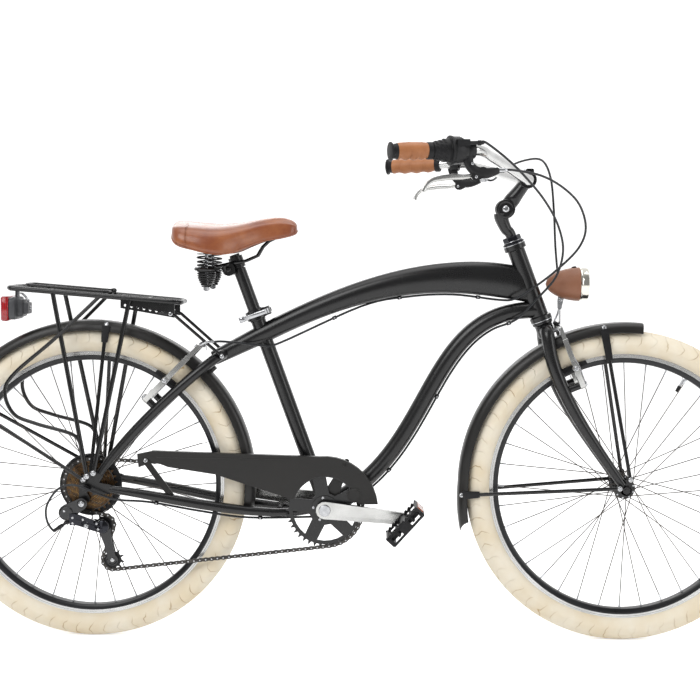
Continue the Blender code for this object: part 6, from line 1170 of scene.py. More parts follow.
def sprocket_faces():
    """The dark largest plate, the slots drawn as dark marks of painted shade, and the rubbed brassy edges,
    partly wear and partly painted highlight, that step down the block.
    """
    dark_plate_and_shade_slots = []
    edges = []
    teeth = (28, 24, 22, 20, 18, 16, 14)
    for index in range(7):
        y = SPROCKET_PLANE - index * 0.0045 - 0.0012
        outer = pitch_radius(teeth[index]) - 0.0042
        inner = pitch_radius(teeth[index + 1]) + 0.003 if index < 6 else 0.0145
        if index == 0:
            dark_plate_and_shade_slots.append(lathe([(inner, y), (outer + 0.001, y), (outer + 0.001, y - 0.0003),
                                (inner, y - 0.0003)],
                               on_axle(REAR_AXLE), 60, ring=True))
            continue
        middle = (outer + inner) / 2
        for k in range(9 + index % 3):
            turn = 360 / (9 + index % 3) * k + index * 17
            ends = [REAR_AXLE + heading(turn + d) * middle + sideways(y - 0.0001) for d in (-7, 0, 7)]
            # Painted shade: each slot is a dark mark on the plate's face, standing for the shade in a gap.
            dark_plate_and_shade_slots.append(sweep(ends, 0, section=lambda s: oblong(0.0003, 0.0008)))
        # Worn edge and painted highlight: a bright brassy ring along each plate's rim.
        edges.append(lathe([(outer, y), (outer + 0.0007, y), (outer + 0.0007, y - 0.0003),
                            (outer, y - 0.0003)],
                           on_axle(REAR_AXLE), 60, ring=True))
    piece("sprocket_slots", "freewheel", BLACK_WIRE, dark_plate_and_shade_slots, slot="dark_steel")
    piece("sprocket_rubbed_edges_and_painted_highlights", "freewheel", BRASSY_WEAR_AND_HIGHLIGHT, edges)


cage()
sprocket_faces()
derailleur()


def protector_rim():
    """The protector's rolled edge, its ring of round holes shown by raised eyes."""
    y = FLANGES["rear"][0] - 0.0058
    ring = [(0.0655, y - 0.0009), (0.0668, y - 0.0012), (0.0672, y), (0.0668, y + 0.0012),
            (0.0655, y + 0.0009)]
    shapes = [lathe(ring, on_axle(REAR_AXLE), 72, ring=True)]
    for k in range(30):
        eye = REAR_AXLE + heading(12 * k) * 0.062 + sideways(y - 0.0008)
        shapes.append(bolt(eye, sideways(-1), 0.0017, 0.001, 10))
    piece("protector_edge", "rear_wheel", RESIN, shapes)


protector_rim()


# Mudguards

GUARD_HALF = ((-0.03, -0.021), (-0.0295, -0.0165), (-0.0276, -0.0105), (-0.0246, -0.0056),
              (-0.02, -0.0022), (-0.013, -0.0004), (-0.0065, 0.0))
GUARD_RADIUS = 0.353
FLARE_START = 0.86


def flared(share):
    """How far a share of a guard's length has come into its flared end, from 0 to 1."""
    return max(share - FLARE_START, 0) / (1 - FLARE_START)


def guard_shell(axle, start, end, flare, steps=84):
    """The rolled guard: a deep rounded section with beaded edges; a flared end is cut to a tongue."""
    rings = []
    for i in range(steps + 1):
        near_end = flared(i / steps)
        reach = GUARD_RADIUS + flare * near_end
        outer = [*GUARD_HALF, *((-y, h) for y, h in GUARD_HALF[::-1])]
        ring = [(y, reach + h) for y, h in outer]
        ring += [(y * 0.955, reach + h * 0.97 - 0.0016) for y, h in outer[::-1]]
        hoop = []
        for y, r in ring:
            crown = 1 - min(abs(y) / 0.03, 1) ** 2
            turn = radians(start + (end - start) * i / steps + (crown - 0.5) * near_end * flare * 420)
            hoop.append(axle + Vector((r * cos(turn), y, r * sin(turn))))
        rings.append(hoop)
    return loft(rings)


def beads(axle, start, end, flare, steps=84):
    """The rolled bead along both lower edges."""
    shapes = []
    for side in (-1, 1):
        route = []
        for i in range(steps + 1):
            near_end = flared(i / steps)
            turn = radians(start + (end - start) * i / steps - near_end * flare * 210)
            reach = GUARD_RADIUS - 0.0208 + flare * near_end
            route.append(axle + Vector((reach * cos(turn), 0.0296 * side, reach * sin(turn))))
        shapes.append(sweep(route, 0.0011, 8))
    return shapes


def stay(axle, angle, foot, clip):
    """A wire stay from its foot to a moulded clip on the guard's edge, with the clip's screw."""
    edge = axle + heading(angle) * 0.3375 + sideways(0.03)
    low = axle + Vector(foot)
    way = (edge - low).normalized()
    joint = edge - way * clip
    flat = rounded(0.0021, 0.004, 14)
    wires = [sweep(smooth([low, low + way * 0.02 + sideways(0.0008), joint + way * 0.012], 6), 0,
                   section=lambda s: flat),
             lathe([(0.003, -0.0026), (0.0064, -0.0026), (0.0064, 0.0026), (0.003, 0.0026)],
                   on_axle(low), 20, ring=True)]
    clips = [sweep([joint, joint + way * 0.01, edge, edge + way * 0.006], 0,
                   section=lambda s: [(a * (1 - 0.2 * s), b * (0.75 + 0.35 * s)) for a, b in (
                       (-0.0024, -0.0086), (0.0024, -0.0086), (0.0032, 0), (0.0024, 0.0086),
                       (-0.0024, 0.0086), (-0.0032, 0))])]
    screw = bolt(axle + heading(angle) * 0.3455 + sideways(0.0273), Vector((0, 0.93, 0.37)), 0.0052, 0.003)
    nut = bolt(low + sideways(0.0028), sideways(1), 0.0056, 0.0034)
    return both_sides(*wires), both_sides(*clips), both_sides(screw, nut)


def mudguard(name, body, axle, start, end, flare, stays, tab):
    shell = [guard_shell(axle, start, end, flare), *beads(axle, start, end, flare), tab]
    piece(name + "_shell", body, GUARD_PAINT, shell, hides=(name,), sharp=50)
    wires, clips, screws = [], [], []
    for angle, foot, clip in stays:
        a, b, c = stay(axle, angle, foot, clip)
        wires += a
        clips += b
        screws += c
    piece(name + "_stays", body, BLACK_WIRE, wires)
    piece(name + "_stay_clips", body, RESIN, clips, bevel=0.0006)
    piece(name + "_screws", body, ZINC, screws)


REAR_EYE_Y = 0.0675 + 0.006 + 0.0026 + 0.0022
mudguard("rear_mudguard", "frame", REAR_AXLE, 173.0, -10.0, 0.0, (
    (147.0, (-0.006, REAR_EYE_Y, 0.018), 0.03), (84.0, (0.009, REAR_EYE_Y, 0.029), 0.03)),
    rod(REAR_AXLE + heading(43.6) * 0.35, REAR_AXLE + heading(43.6) * 0.3665, 0.0055, 16))
mudguard("front_mudguard", "steerer", FRONT_AXLE, 84.0, 194.5, 0.008, (
    (98.0, (0.008, 0.0584, 0.023), 0.062), (183.0, (-0.015, 0.0652, 0.005), 0.03)),
    rod(FRONT_AXLE + heading(117) * 0.35, FRONT_AXLE + heading(117) * 0.36, 0.0055, 16))


def chain_guard_fittings():
    """The guard's screws, and the pressed line along its face."""
    near = sideways(-1)
    top = BOTTOM_BRACKET.z + 0.1175
    piece("chain_guard_screw", "frame", ZINC,
          [bolt(Vector((0.122, -0.056, top - 0.015)), near, 0.005, 0.0028)])
    boss = BOTTOM_BRACKET + Vector((0.0625, -0.0562, 0.031))
    rivets = [rod(boss, boss + near * 0.0016, 0.0135, 40, 0.012),
              bolt(BOTTOM_BRACKET + heading(66) * 0.1045 + sideways(-0.056), near, 0.0038, 0.002)]
    piece("chain_guard_rivets", "frame", GUARD_PAINT, rivets, bevel=0.0003)
    line = [(0.146, -0.0556, top - 0.0085), (0.3, -0.0556, top - 0.0095), (0.43, -0.0556, top - 0.011)]
    piece("chain_guard_pressing", "frame", GUARD_PAINT, [sweep(smooth(line, 8), 0.0009, 8)])


chain_guard_fittings()


# Rack

RACK_REAR = Vector((-0.166, 0.061, 0.757))
RACK_FRONT = Vector((0.196, 0.05, 0.727))
LEG_FEET = (REAR_AXLE + Vector((0.003, 0.0868, 0.027)), REAR_AXLE + Vector((0.017, 0.0868, 0.034)))


def on_deck(share, y=0.0, lift=0.0):
    point = RACK_REAR.lerp(RACK_FRONT, share)
    return Vector((point.x, y, point.z + lift))


def deck_edge(share):
    return RACK_REAR.y + (RACK_FRONT.y - RACK_REAR.y) * share


def rounded_loop(half, per_span=5):
    """A closed smooth loop from one side's points and their mirror images."""
    points = [Vector(p) for p in half] + [mirrored(Vector(p)) for p in half[::-1]]
    count = len(points)
    route = []
    for i in range(count):
        span = [points[(i + k - 1) % count] for k in range(4)]
        part = smooth(span, per_span)
        route += part[per_span:2 * per_span]
    return route


def rack():
    half = [on_deck(1, 0.012), on_deck(1, 0.033), on_deck(0.978, 0.0455), on_deck(0.93, deck_edge(0.93)),
            on_deck(0.6, deck_edge(0.6)), on_deck(0.3, deck_edge(0.3)), on_deck(0.05, deck_edge(0.05)),
            on_deck(0.012, 0.054), on_deck(0, 0.04), on_deck(0, 0.012)]
    shapes = [sweep(rounded_loop(half), 0.0052, 16, closed=True)]
    for y in (-0.021, 0.021):
        shapes.append(rod(on_deck(0.0, y), on_deck(1.0, y), 0.0032, 12))
        shapes.append(side_slab(belt((on_deck(0.58).x, on_deck(0.58).z + 0.0045), 0.0058,
                                     (on_deck(0.58).x, on_deck(0.58).z - 0.0005), 0.005), 0.005, y))
    for share in (0.22, 0.55, 0.8):
        end = on_deck(share, deck_edge(share))
        shapes.append(rod(mirrored(end), end, 0.0032, 12))
    tops = (on_deck(0.262, deck_edge(0.262), -0.002), on_deck(0.708, deck_edge(0.708), -0.002))
    side = [rod(top, foot, 0.0048, 14) for top, foot in zip(tops, LEG_FEET)]
    low = (LEG_FEET[0] + LEG_FEET[1]) / 2
    side.append(side_slab(belt(in_plane(LEG_FEET[0]), 0.0062, in_plane(LEG_FEET[1]), 0.0062), 0.0068, low.y))
    loop = [on_deck(0.535, deck_edge(0.535), -0.001), (-0.064, 0.07, 0.652),
            (-0.15, 0.073, 0.578), (-0.171, 0.075, 0.538), (-0.152, 0.077, 0.492),
            (-0.105, 0.079, 0.472), (-0.026, 0.081, 0.449),
            LEG_FEET[0].lerp(tops[0], 0.15)]
    side.append(sweep(smooth(loop, 8), 0.004, 14))
    holes = [circle((0.08 + 0.0132 * k, 0.7207 - 0.00232 * k), 0.003, 14) for k in range(8)]
    side.append(side_slab([(0.07, 0.715), (0.184, 0.695), (0.184, 0.728), (0.07, 0.737)], 0.0025, 0.046,
                          holes))
    strut = Vector((0.284, 0.04, 0.613))
    side.append(sweep([Vector((0.15, 0.0445, 0.7045)), Vector((0.176, 0.046, 0.703)),
                       Vector((0.186, 0.046, 0.699)), strut], 0.0034, 12))
    side.append(rod(strut - sideways(0.006), strut + sideways(0.0022), 0.006, 20))
    piece("welded_rack", "frame", BLACK_WIRE, shapes + both_sides(*side), hides=("rack",))
    screws = both_sides(
        bolt(strut + sideways(0.0026), sideways(1), 0.005, 0.003),
        bolt(Vector((0.176, 0.0478, 0.703)), sideways(1), 0.005, 0.003),
        bolt(LEG_FEET[0] + sideways(0.0036), sideways(1), 0.0062, 0.0035),
        bolt(LEG_FEET[1] + sideways(0.0036), sideways(1), 0.0062, 0.0035))
    piece("rack_screws", "frame", ZINC, screws + FRAME_BOLTS)
    bow = [on_deck(0.58, 0.03, 0.009), on_deck(0.545, 0.04, 0.009), on_deck(0.35, 0.0375, 0.009),
           on_deck(0.14, 0.0345, 0.009), on_deck(0.095, 0.028, 0.009), on_deck(0.085, 0.012, 0.009)]
    coil = []
    for k in range(161):
        turn = tau * k / 20
        coil.append(on_deck(0.58, 0.025 - 0.0475 * k / 160, 0.009)
                    + Vector((0.0052 * cos(turn), 0, 0.0052 * sin(turn))))
    piece("sprung_bail", "bail", BLACK_WIRE, [sweep(rounded_loop(bow), 0.003, 12, closed=True)],
          hides=("rack_bail",))
    piece("bail_spring", "bail", BLACK_WIRE, [sweep(coil, 0.0009, 6)])


rack()


TAIL_LIGHT_HEIGHT = 0.712


def tail_light_fittings():
    """The housing, which steps in behind the lens to its bracket, and the lens's two screws."""
    rings = []
    for place, wide, tall in ((-0.1688, 0.0435, 0.0235), (-0.16, 0.044, 0.024), (-0.1565, 0.043, 0.0232),
                              (-0.154, 0.025, 0.019), (-0.145, 0.0235, 0.018), (-0.1425, 0.018, 0.013),
                              (-0.133, 0.017, 0.012)):
        rings.append([Vector((place, a, TAIL_LIGHT_HEIGHT + b))
                      for a, b in rounded(wide, tall, 32, 0.3, first=0.5)])
    low, high = TAIL_LIGHT_HEIGHT + 0.012, RACK_REAR.z - 0.0052
    stem = brick((0.005, 0.02, high - low), at(-0.16, 0, (high + low) / 2))
    piece("tail_light_housing", "frame", GREY_CASE, [loft(rings), stem], hides=("tail_light_body",),
          bevel=0.0006)
    arm = smooth([(-0.16, 0, 0.744), (-0.15, 0, 0.743), (-0.14, 0, 0.733), (-0.137, 0, 0.724)], 5)
    strip = sweep(arm, 0, section=lambda s: oblong(0.008, 0.001))
    near = Vector((1, 0, 0))
    nuts = [bolt(Vector((-0.1328, 0, TAIL_LIGHT_HEIGHT)), near, 0.0046, 0.0026),
            bolt(Vector((-0.1362, 0, 0.728)), near, 0.0034, 0.002)]
    piece("tail_light_bracket", "frame", ZINC, [strip, *nuts], bevel=0.0002)
    shapes = [bolt(Vector((-0.1852, y, TAIL_LIGHT_HEIGHT)), Vector((-1, 0, 0)), 0.003, 0.0015, 14)
              for y in (-0.033, 0.033)]
    piece("tail_light_screws", "frame", ZINC, shapes)


tail_light_fittings()


# Bar, grips and controls

STEM_PIVOT = Vector((0.883, 0, 0.927))
BAR_CENTRE = Vector((0.929, 0, 0.9885))
BAR_END = Vector((0.634, -0.313, 1.03))
TURN = radians(17.6)
GRIP_WAY = Vector((cos(TURN), sin(TURN), 0.034)).normalized()
GRIP_UP = (Vector((0, 0, 1)) - GRIP_WAY * GRIP_WAY.z).normalized()
GRIP = at(*BAR_END) @ Matrix((GRIP_UP, GRIP_WAY.cross(GRIP_UP), GRIP_WAY)).transposed().to_4x4()


def flip(shape):
    return [mirrored(point) for point in shape[0]], shape[1]


def handlebar():
    start = BAR_END + GRIP_WAY * 0.178
    way = start - BAR_CENTRE
    points = [BAR_CENTRE, BAR_CENTRE + sideways(-0.0225),
              BAR_CENTRE + way * 0.24 + Vector((0.008, -0.004, -0.003)),
              BAR_CENTRE + way * 0.5 + Vector((0.006, -0.004, 0)),
              BAR_CENTRE + way * 0.78 + Vector((0.004, -0.002, 0.001)), start,
              BAR_END + GRIP_WAY * 0.1, BAR_END + GRIP_WAY * 0.012]
    half = smooth(points, 12)[12:]
    route = [mirrored(p) for p in half[::-1]] + [BAR_CENTRE] + half
    radii = [0.0111] * 27 + [0.0116, 0.0126, 0.0127, 0.0126, 0.0116] + [0.0111] * 27
    piece("swept_handlebar", "bars", ALLOY, [sweep(route, radii, 28)], hides=("handlebar",))


def grip(name, length, left):
    """A grained sleeve with finger hollows below, stitched rings, and black ends."""
    hand_end = length - 0.01
    rings = []
    for i in range(57):
        share = i / 56
        z = 0.015 + (hand_end - 0.0155) * share
        swell = 0.0158 + 0.0016 * sin(pi * share) ** 0.7
        hollow = 0.0013 * cos(share * 3.6 * tau)
        ring = []
        for k in range(36):
            turn = tau * k / 36
            under = max(-cos(turn), 0)
            reach = swell + hollow * under - 0.0006 * under
            ring.append(GRIP @ Vector((reach * cos(turn), reach * sin(turn), z)))
        rings.append(ring)
    sleeve = loft(rings)
    cap = lathe([(0.0, 0.0), (0.015, 0.0), (0.0178, 0.0008), (0.0182, 0.0025), (0.0176, 0.0042),
                 (0.0148, 0.0058), (0.014, 0.0072), (0.0152, 0.0146), (0.0158, 0.0156), (0.0, 0.0156)],
                GRIP, 40)
    band = lathe([(0.012, hand_end - 0.0008), (0.0162, hand_end - 0.0006), (0.0168, hand_end + 0.001),
                  (0.0168, length - 0.001), (0.016, length), (0.012, length)], GRIP, 40, ring=True)
    rows = []
    for z in (0.0385, 0.064) if length < 0.1 else (0.0385, 0.064, 0.09):
        middle = 0.0158 + 0.0016 * sin(pi * (z - 0.015) / (hand_end - 0.0155)) ** 0.7
        row = [GRIP @ Vector((middle * cos(t), middle * sin(t), z + 0.0022 * sin(t)))
               for t in (radians(-150 + 300 * k / 40) for k in range(41))]
        rows.append(sweep(row, 0.0005, 6))
    shapes = [sleeve, *rows]
    ends = [cap, band]
    if left:
        shapes = [flip(shape) for shape in shapes]
        ends = [flip(shape) for shape in ends]
    piece(name + "_sleeve", "bars", GRIP_BROWN, shapes, hides=(name,), sharp=60)
    piece(name + "_ends", "bars", GRIP_BLACK, ends, sharp=30)


def twist_grip():
    """The flared rubber sleeve, with three rows of slanting ribs to hold it by."""
    profile = [(0.0116, 0.1269), (0.0275, 0.1269), (0.0288, 0.1258), (0.029, 0.1222), (0.0278, 0.1208),
               (0.0236, 0.1204), (0.023, 0.1196), (0.0232, 0.118), (0.0226, 0.114), (0.0212, 0.109),
               (0.0196, 0.103), (0.0182, 0.096), (0.0172, 0.089), (0.0166, 0.0872), (0.0116, 0.0872)]
    shapes = [lathe(profile, GRIP, 56, ring=True)]
    for row, (z, reach) in enumerate(((0.0935, 0.0178), (0.102, 0.0194), (0.1105, 0.0216))):
        for k in range(16):
            turn = tau * (k + row * 0.5) / 16
            lean = 0.22
            ends = []
            for s in (-1, 1):
                t = turn + s * lean * 0.5
                ends.append(GRIP @ Vector((reach * cos(t), reach * sin(t), z + s * 0.003)))
            shapes.append(sweep([ends[0], (ends[0] + ends[1]) / 2, ends[1]], [0.0008, 0.0016, 0.0008], 8))
    piece("twist_grip_sleeve", "twist", GRIP_BLACK, shapes, hides=("twist_grip",), sharp=30)
    window = [slab(oblong(0.0028, 0.008), 0.0012,
                   GRIP @ Matrix.Rotation(radians(-62), 4, "Z") @ at(0.0242, 0, 0.1415)
                   @ Matrix.Rotation(radians(66), 4, "Y") @ Matrix.Rotation(pi / 2, 4, "Z"))]
    piece("gear_window", "bars", GLASS, window, bevel=0.0004)


LEVER_PIVOT = Vector((-0.052, 0.004, 0.171))


def brake_lever(name, body, left):
    """A forged blade with a flat face, a fuller back and a rolled tip."""
    points = ((0.004, 0.004), (0.001, -0.02), (0.001, -0.045), (-0.001, -0.07), (-0.005, -0.088),
              (-0.014, -0.1), (-0.026, -0.107))
    route = smooth([GRIP @ (LEVER_PIVOT + Vector((up, 0, back))) for up, back in points], 6)
    widths = (0.75, 0.85, 1.05, 1.12, 1.05, 0.92, 0.8, 0.72, 0.95)

    def section(share):
        scale = eased(widths, share) * 0.0052
        return rounded(scale * 0.8, scale, 20, 0.7, 0.8)

    shapes = [sweep(route, 0, section=section),
              lathe([(0.0027, -0.0042), (0.0064, -0.0042), (0.0066, 0), (0.0064, 0.0042), (0.0027, 0.0042)],
                    GRIP @ at(*LEVER_PIVOT) @ UPRIGHT, 24, ring=True)]
    if left:
        shapes = [flip(shape) for shape in shapes]
    piece(name + "_blade", body, FORGED, shapes, hides=(name,), sharp=50)


def lever_bracket(name, left):
    """The clamp round the bar, a horn that bends down and along to the cable, and the lever's cheeks."""
    rings = []
    points = smooth([(-0.01, 0.004, 0.157), (-0.026, 0.004, 0.16), (-0.04, 0.004, 0.172),
                     (-0.045, 0.004, 0.19), (-0.043, 0.004, 0.208), (-0.04, 0.004, 0.2205)], 5)
    for i, point in enumerate(points):
        share = i / (len(points) - 1)
        way = direction(points, i)
        out = Vector((way.z, 0, -way.x))
        tall = eased((0.012, 0.01, 0.0095, 0.011, 0.0105, 0.0085, 0.0064), share)
        wide = eased((0.0085, 0.008, 0.0088, 0.0092, 0.0088, 0.008, 0.0066), share)
        rings.append([GRIP @ (point + out * a + sideways(b)) for a, b in rounded(tall, wide, 28, 0.75)])
    clamp = lathe([(0.0116, 0.1545), (0.016, 0.1545), (0.0166, 0.1553), (0.0166, 0.172), (0.016, 0.1728),
                   (0.0116, 0.1728)], GRIP, 40, ring=True)
    shapes = [loft(rings), clamp]
    for side in (-1, 1):
        outline = belt((-0.043, 0.186), 0.0105, in_plane(LEVER_PIVOT), 0.0082)
        shapes.append(slab(outline, 0.003, GRIP @ at(0, 0.004 + side * 0.0067) @ UPRIGHT))
    if left:
        shapes = [flip(shape) for shape in shapes]
    piece("lever_bracket_" + ("left" if left else "right"), "bars", RESIN, shapes, hides=(name,),
          bevel=0.0007, sharp=45)


def control_fittings():
    """Clamp screws, pivot pins and the bright adjusting barrels of both levers."""
    shapes = []
    out = GRIP.to_3x3() @ sideways(1)
    for side in (-1, 1):
        shapes.append(bolt(GRIP @ (LEVER_PIVOT + sideways(side * 0.0092)), out * side, 0.0034, 0.0022, 14))
    shapes.append(bolt(GRIP @ Vector((-0.026, 0.0125, 0.164)), out, 0.0036, 0.0024, 14))
    barrel = GRIP @ Vector((-0.04, 0.004, 0.2305))
    way = GRIP_WAY
    shapes.append(rod(barrel - way * 0.009, barrel + way * 0.0035, 0.0048, 12))
    shapes.append(rod(barrel + way * 0.0035, barrel + way * 0.0095, 0.004, 20, 0.0031))
    both = shapes + [flip(shape) for shape in shapes]
    piece("lever_fittings", "bars", ZINC, both, bevel=0.0003)
    collar = GRIP @ Vector((0.013, 0.018, 0.1745))
    piece("shifter_barrel", "bars", RESIN, [rod(collar, collar + way * 0.006, 0.0052, 16),
                                           rod(collar + way * 0.006, collar + way * 0.012, 0.0042, 16,
                                               0.0032)], bevel=0.0003)


def stem():
    """A goose-necked quill with two cheeks, and the arm between them that carries the bar's clamp."""
    neck = smooth([steer_point(0.5), steer_point(0.56), steer_point(0.578), (0.885, 0, 0.886),
                   (0.8765, 0, 0.905), (0.8745, 0, 0.918)], 8)

    def section(share):
        wide = eased((0.0111, 0.0111, 0.0113, 0.0124, 0.0148, 0.0178, 0.0192), share)
        deep = eased((0.0111, 0.0111, 0.0112, 0.0118, 0.013, 0.015, 0.016), share)
        return rounded(wide, deep, 36)

    shapes = [sweep(neck, 0, section=section)]
    for side in (-1, 1):
        disc = [(0.0, 0.0096), (0.0195, 0.0096), (0.0203, 0.0105), (0.0203, 0.0165), (0.0195, 0.018),
                (0.016, 0.0186), (0.015, 0.018), (0.0118, 0.018), (0.0, 0.018)]
        shapes.append(lathe([(r, side * h) for r, h in disc], on_axle(STEM_PIVOT), 44))
    piece("goose_neck_quill", "steerer", BLACK_WIRE, shapes, hides=("stem_quill",), bevel=0.0005, sharp=40)
    way = (BAR_CENTRE - STEM_PIVOT).normalized()
    route = smooth([STEM_PIVOT, STEM_PIVOT + way * 0.022, STEM_PIVOT + way * 0.045, BAR_CENTRE], 8)

    def arm(share):
        wide = eased((0.009, 0.012, 0.0165, 0.0168, 0.0162, 0.016), share)
        deep = eased((0.015, 0.016, 0.0165, 0.015, 0.0138, 0.013), share)
        return rounded(wide, deep, 36)

    clamp = [(0.0132, -0.02), (0.0176, -0.02), (0.0186, -0.019), (0.0186, 0.019), (0.0176, 0.02),
             (0.0132, 0.02)]
    ear = [(-0.0045, 0.015), (0.0125, 0.015), (0.0125, 0.0215), (0.0105, 0.0235), (-0.0025, 0.0235),
           (-0.0045, 0.0215)]
    shapes = [sweep(route, 0, section=arm),
              lathe(clamp, on_axle(BAR_CENTRE), 44, ring=True),
              lathe([(0.0, -0.0092), (0.0188, -0.0092), (0.0188, 0.0092), (0.0, 0.0092)],
                    on_axle(STEM_PIVOT), 40),
              side_slab([(BAR_CENTRE.x + x, BAR_CENTRE.z + z) for x, z in ear], 0.038, 0.0)]
    piece("stem_arm_and_clamp", "bars", BLACK_WIRE, shapes, hides=("stem_extension",), bevel=0.0007, sharp=40)


def stem_fittings():
    """The pivot's bolt head and the clamp screws over the bar."""
    shapes = [bolt(STEM_PIVOT + sideways(side * 0.0186), sideways(side), 0.0078, 0.005) for side in (-1, 1)]
    piece("stem_pivot_bolt", "steerer", ZINC, shapes)
    tops = [bolt(BAR_CENTRE + Vector((-0.0045, y, 0.0195)), Vector((-1, 0, 0.2)), 0.0042, 0.003)
            for y in (-0.011, 0.011)]
    piece("stem_clamp_screws", "bars", ZINC, tops)


handlebar()
grip("grip_right", 0.086, False)
grip("grip_left", 0.128, True)
twist_grip()
brake_lever("brake_lever_right", "lever_near", False)
brake_lever("brake_lever_left", "lever_far", True)
lever_bracket("brake_bracket_right", False)
lever_bracket("brake_bracket_left", True)
control_fittings()
stem()
stem_fittings()


# Headlight

def headlight():
    centre = Vector((1.0425, 0, 0.7685))
    where = at(*centre) @ Matrix.Rotation(pi / 2, 4, "Y")
    outer = []
    for k in range(25):
        share = k / 24
        outer.append((0.0358 * cos(share * pi / 2) ** 0.5, -0.0005 - 0.0712 * share))
    shell = lathe([(0.03, -0.0005), *outer], where, 64)
    lug = side_slab(belt(in_plane(LAMP_PIVOT), 0.0062, (LAMP_PIVOT.x + 0.004, LAMP_PIVOT.z + 0.014),
                         0.0075),
                    0.0058, 0.0, [circle(in_plane(LAMP_PIVOT), 0.0026, 14)])
    piece("lamp_shell", "lamp", LAMP_BROWN, [shell], hides=("headlight",), sharp=50)
    piece("lamp_lug", "lamp", ZINC, [lug], bevel=0.0005)
    ring = [(0.03, 0.0), (0.0352, 0.0), (0.0362, 0.0012), (0.0364, 0.003), (0.0352, 0.005),
            (0.0348, 0.013), (0.0338, 0.0168), (0.0318, 0.0182), (0.0305, 0.0172), (0.03, 0.012)]
    piece("lamp_ring", "lamp", CHROME, [lathe(ring, where, 64, ring=True)], sharp=30)
    glass = [(0.0, 0.0175)] + [(0.0302 * sin(t), 0.0105 + 0.007 * cos(t))
                              for t in (pi / 2 * k / 10 for k in range(1, 11))]
    glass += [(0.0302, 0.008), (0.0, 0.008)]
    piece("lamp_glass", "lamp", GLASS, [lathe(glass, where, 48)])
    knob = centre + Vector((-0.0115, 0, 0.0338))
    switch = lathe([(0.0, 0.004), (0.004, 0.004), (0.0052, 0.0026), (0.0055, 0.0), (0.0055, -0.003),
                    (0.0, -0.003)],
                   at(*knob) @ Matrix.Rotation(radians(-14), 4, "Y"), 24)
    piece("lamp_switch", "lamp", RESIN, [switch])


headlight()


# Saddle: a base shell, a padded cover with its seams, and the two springs

SECTIONS = (
    (0.1825, 0.062, 0.892, 0.873), (0.1855, 0.086, 0.8985, 0.86), (0.2, 0.1015, 0.9, 0.848),
    (0.23, 0.1065, 0.898, 0.84), (0.258, 0.107, 0.8955, 0.8335), (0.285, 0.101, 0.8945, 0.8305),
    (0.312, 0.084, 0.896, 0.8345), (0.338, 0.062, 0.8998, 0.845), (0.37, 0.042, 0.9055, 0.857),
    (0.405, 0.0305, 0.9085, 0.864), (0.426, 0.0262, 0.9042, 0.869), (0.4372, 0.019, 0.8975, 0.8735),
    (0.441, 0.011, 0.8905, 0.88))


def saddle_ring(x, half, top, bottom, inset=0.0):
    """One section of the cover: crowned on top, rounded over, and turned under at the skirt."""
    half -= inset
    deep = top - bottom
    crown = min(0.3, 0.011 / deep)
    side = [(0.0, 1.0), (0.2, 1.0 - crown * 0.05), (0.4, 1.0 - crown * 0.22), (0.58, 1.0 - crown * 0.55),
            (0.72, 1.0 - crown * 1.05), (0.84, 0.76), (0.925, 0.6), (0.975, 0.42), (1.0, 0.22), (0.995, 0.07),
            (0.965, -0.01), (0.925, -0.01), (0.89, 0.07), (0.7, 0.16), (0.4, 0.2), (0.0, 0.22)]
    ring = [Vector((x, half * a, bottom + deep * b)) for a, b in side]
    return ring + [mirrored(point) for point in ring[-2:0:-1]]


def saddle_values(share):
    """Half width, top and bottom between the measured sections, on one smooth curve."""
    curve = [Vector((x, half, top)) for x, half, top, _ in SECTIONS]
    lower = [Vector((x, half, bottom)) for x, half, _, bottom in SECTIONS]
    upper = smooth(curve, 6)
    under = smooth(lower, 6)
    i = round(share * (len(upper) - 1))
    return upper[i].x, upper[i].y, upper[i].z, under[i].z


def padded_saddle():
    """The stuffed cover: a stiff net of rings, swollen as foam under leather swells."""
    rings = [saddle_ring(*saddle_values(i / 66)) for i in range(67)]
    cover = piece("saddle_cover", "saddle", LEATHER, [loft(rings)], hides=("saddle",), sharp=80)
    shape = bmesh.new()
    shape.from_mesh(cover.data)
    soft = [v for v in shape.verts if v.co.z > 0.842]
    for _ in range(3):
        bmesh.ops.smooth_vert(shape, verts=soft, factor=0.35, use_axis_x=True, use_axis_y=True,
                              use_axis_z=True)
    shape.to_mesh(cover.data)
    shape.free()
    finer = cover.modifiers.new("finer", "SUBSURF")
    finer.levels = 1
    finer.render_levels = 2
    return rings


def saddle_seams(rings):
    """The welt along the skirt's edge, two sewn panel seams at the tail, and their stitches."""
    loop = [ring[10] for ring in rings] + [ring[-10] for ring in rings[::-1]]
    piece("saddle_welt", "saddle", LEATHER, [sweep(loop, 0.0014, 8, closed=True)])
    seams = []
    threads = []
    for side in (1, -1):
        route = [rings[14][j * side] + Vector((0, side * 0.0003, 0.0002)) for j in range(3, 10)]
        seams.append(sweep(smooth(route, 4), 0.0008, 6))
        line = smooth([p + Vector((0.0035, side * 0.0002, 0.0004)) for p in route], 6)
        threads += [sweep([line[k], line[k + 1]], 0.0004, 5) for k in range(0, len(line) - 1, 2)]
    piece("saddle_panel_seams", "saddle", LEATHER, seams)
    piece("saddle_stitches", "saddle", GRIP_BROWN, threads, slot="brown_leather")


def saddle_base():
    """The moulded base inside the skirt, with its nose bridge for the rails."""
    rings = []
    for i in range(3, 64, 3):
        x, half, top, bottom = saddle_values(i / 66)
        deep = top - bottom
        rings.append([Vector((x, half * a, bottom + deep * b)) for a, b in (
            (-0.86, 0.1), (-0.5, 0.19), (0.0, 0.215), (0.5, 0.19), (0.86, 0.1), (0.86, 0.04), (0.5, 0.12),
            (0.0, 0.15), (-0.5, 0.12), (-0.86, 0.04))])
    piece("saddle_base", "saddle", RESIN, [loft(rings)])


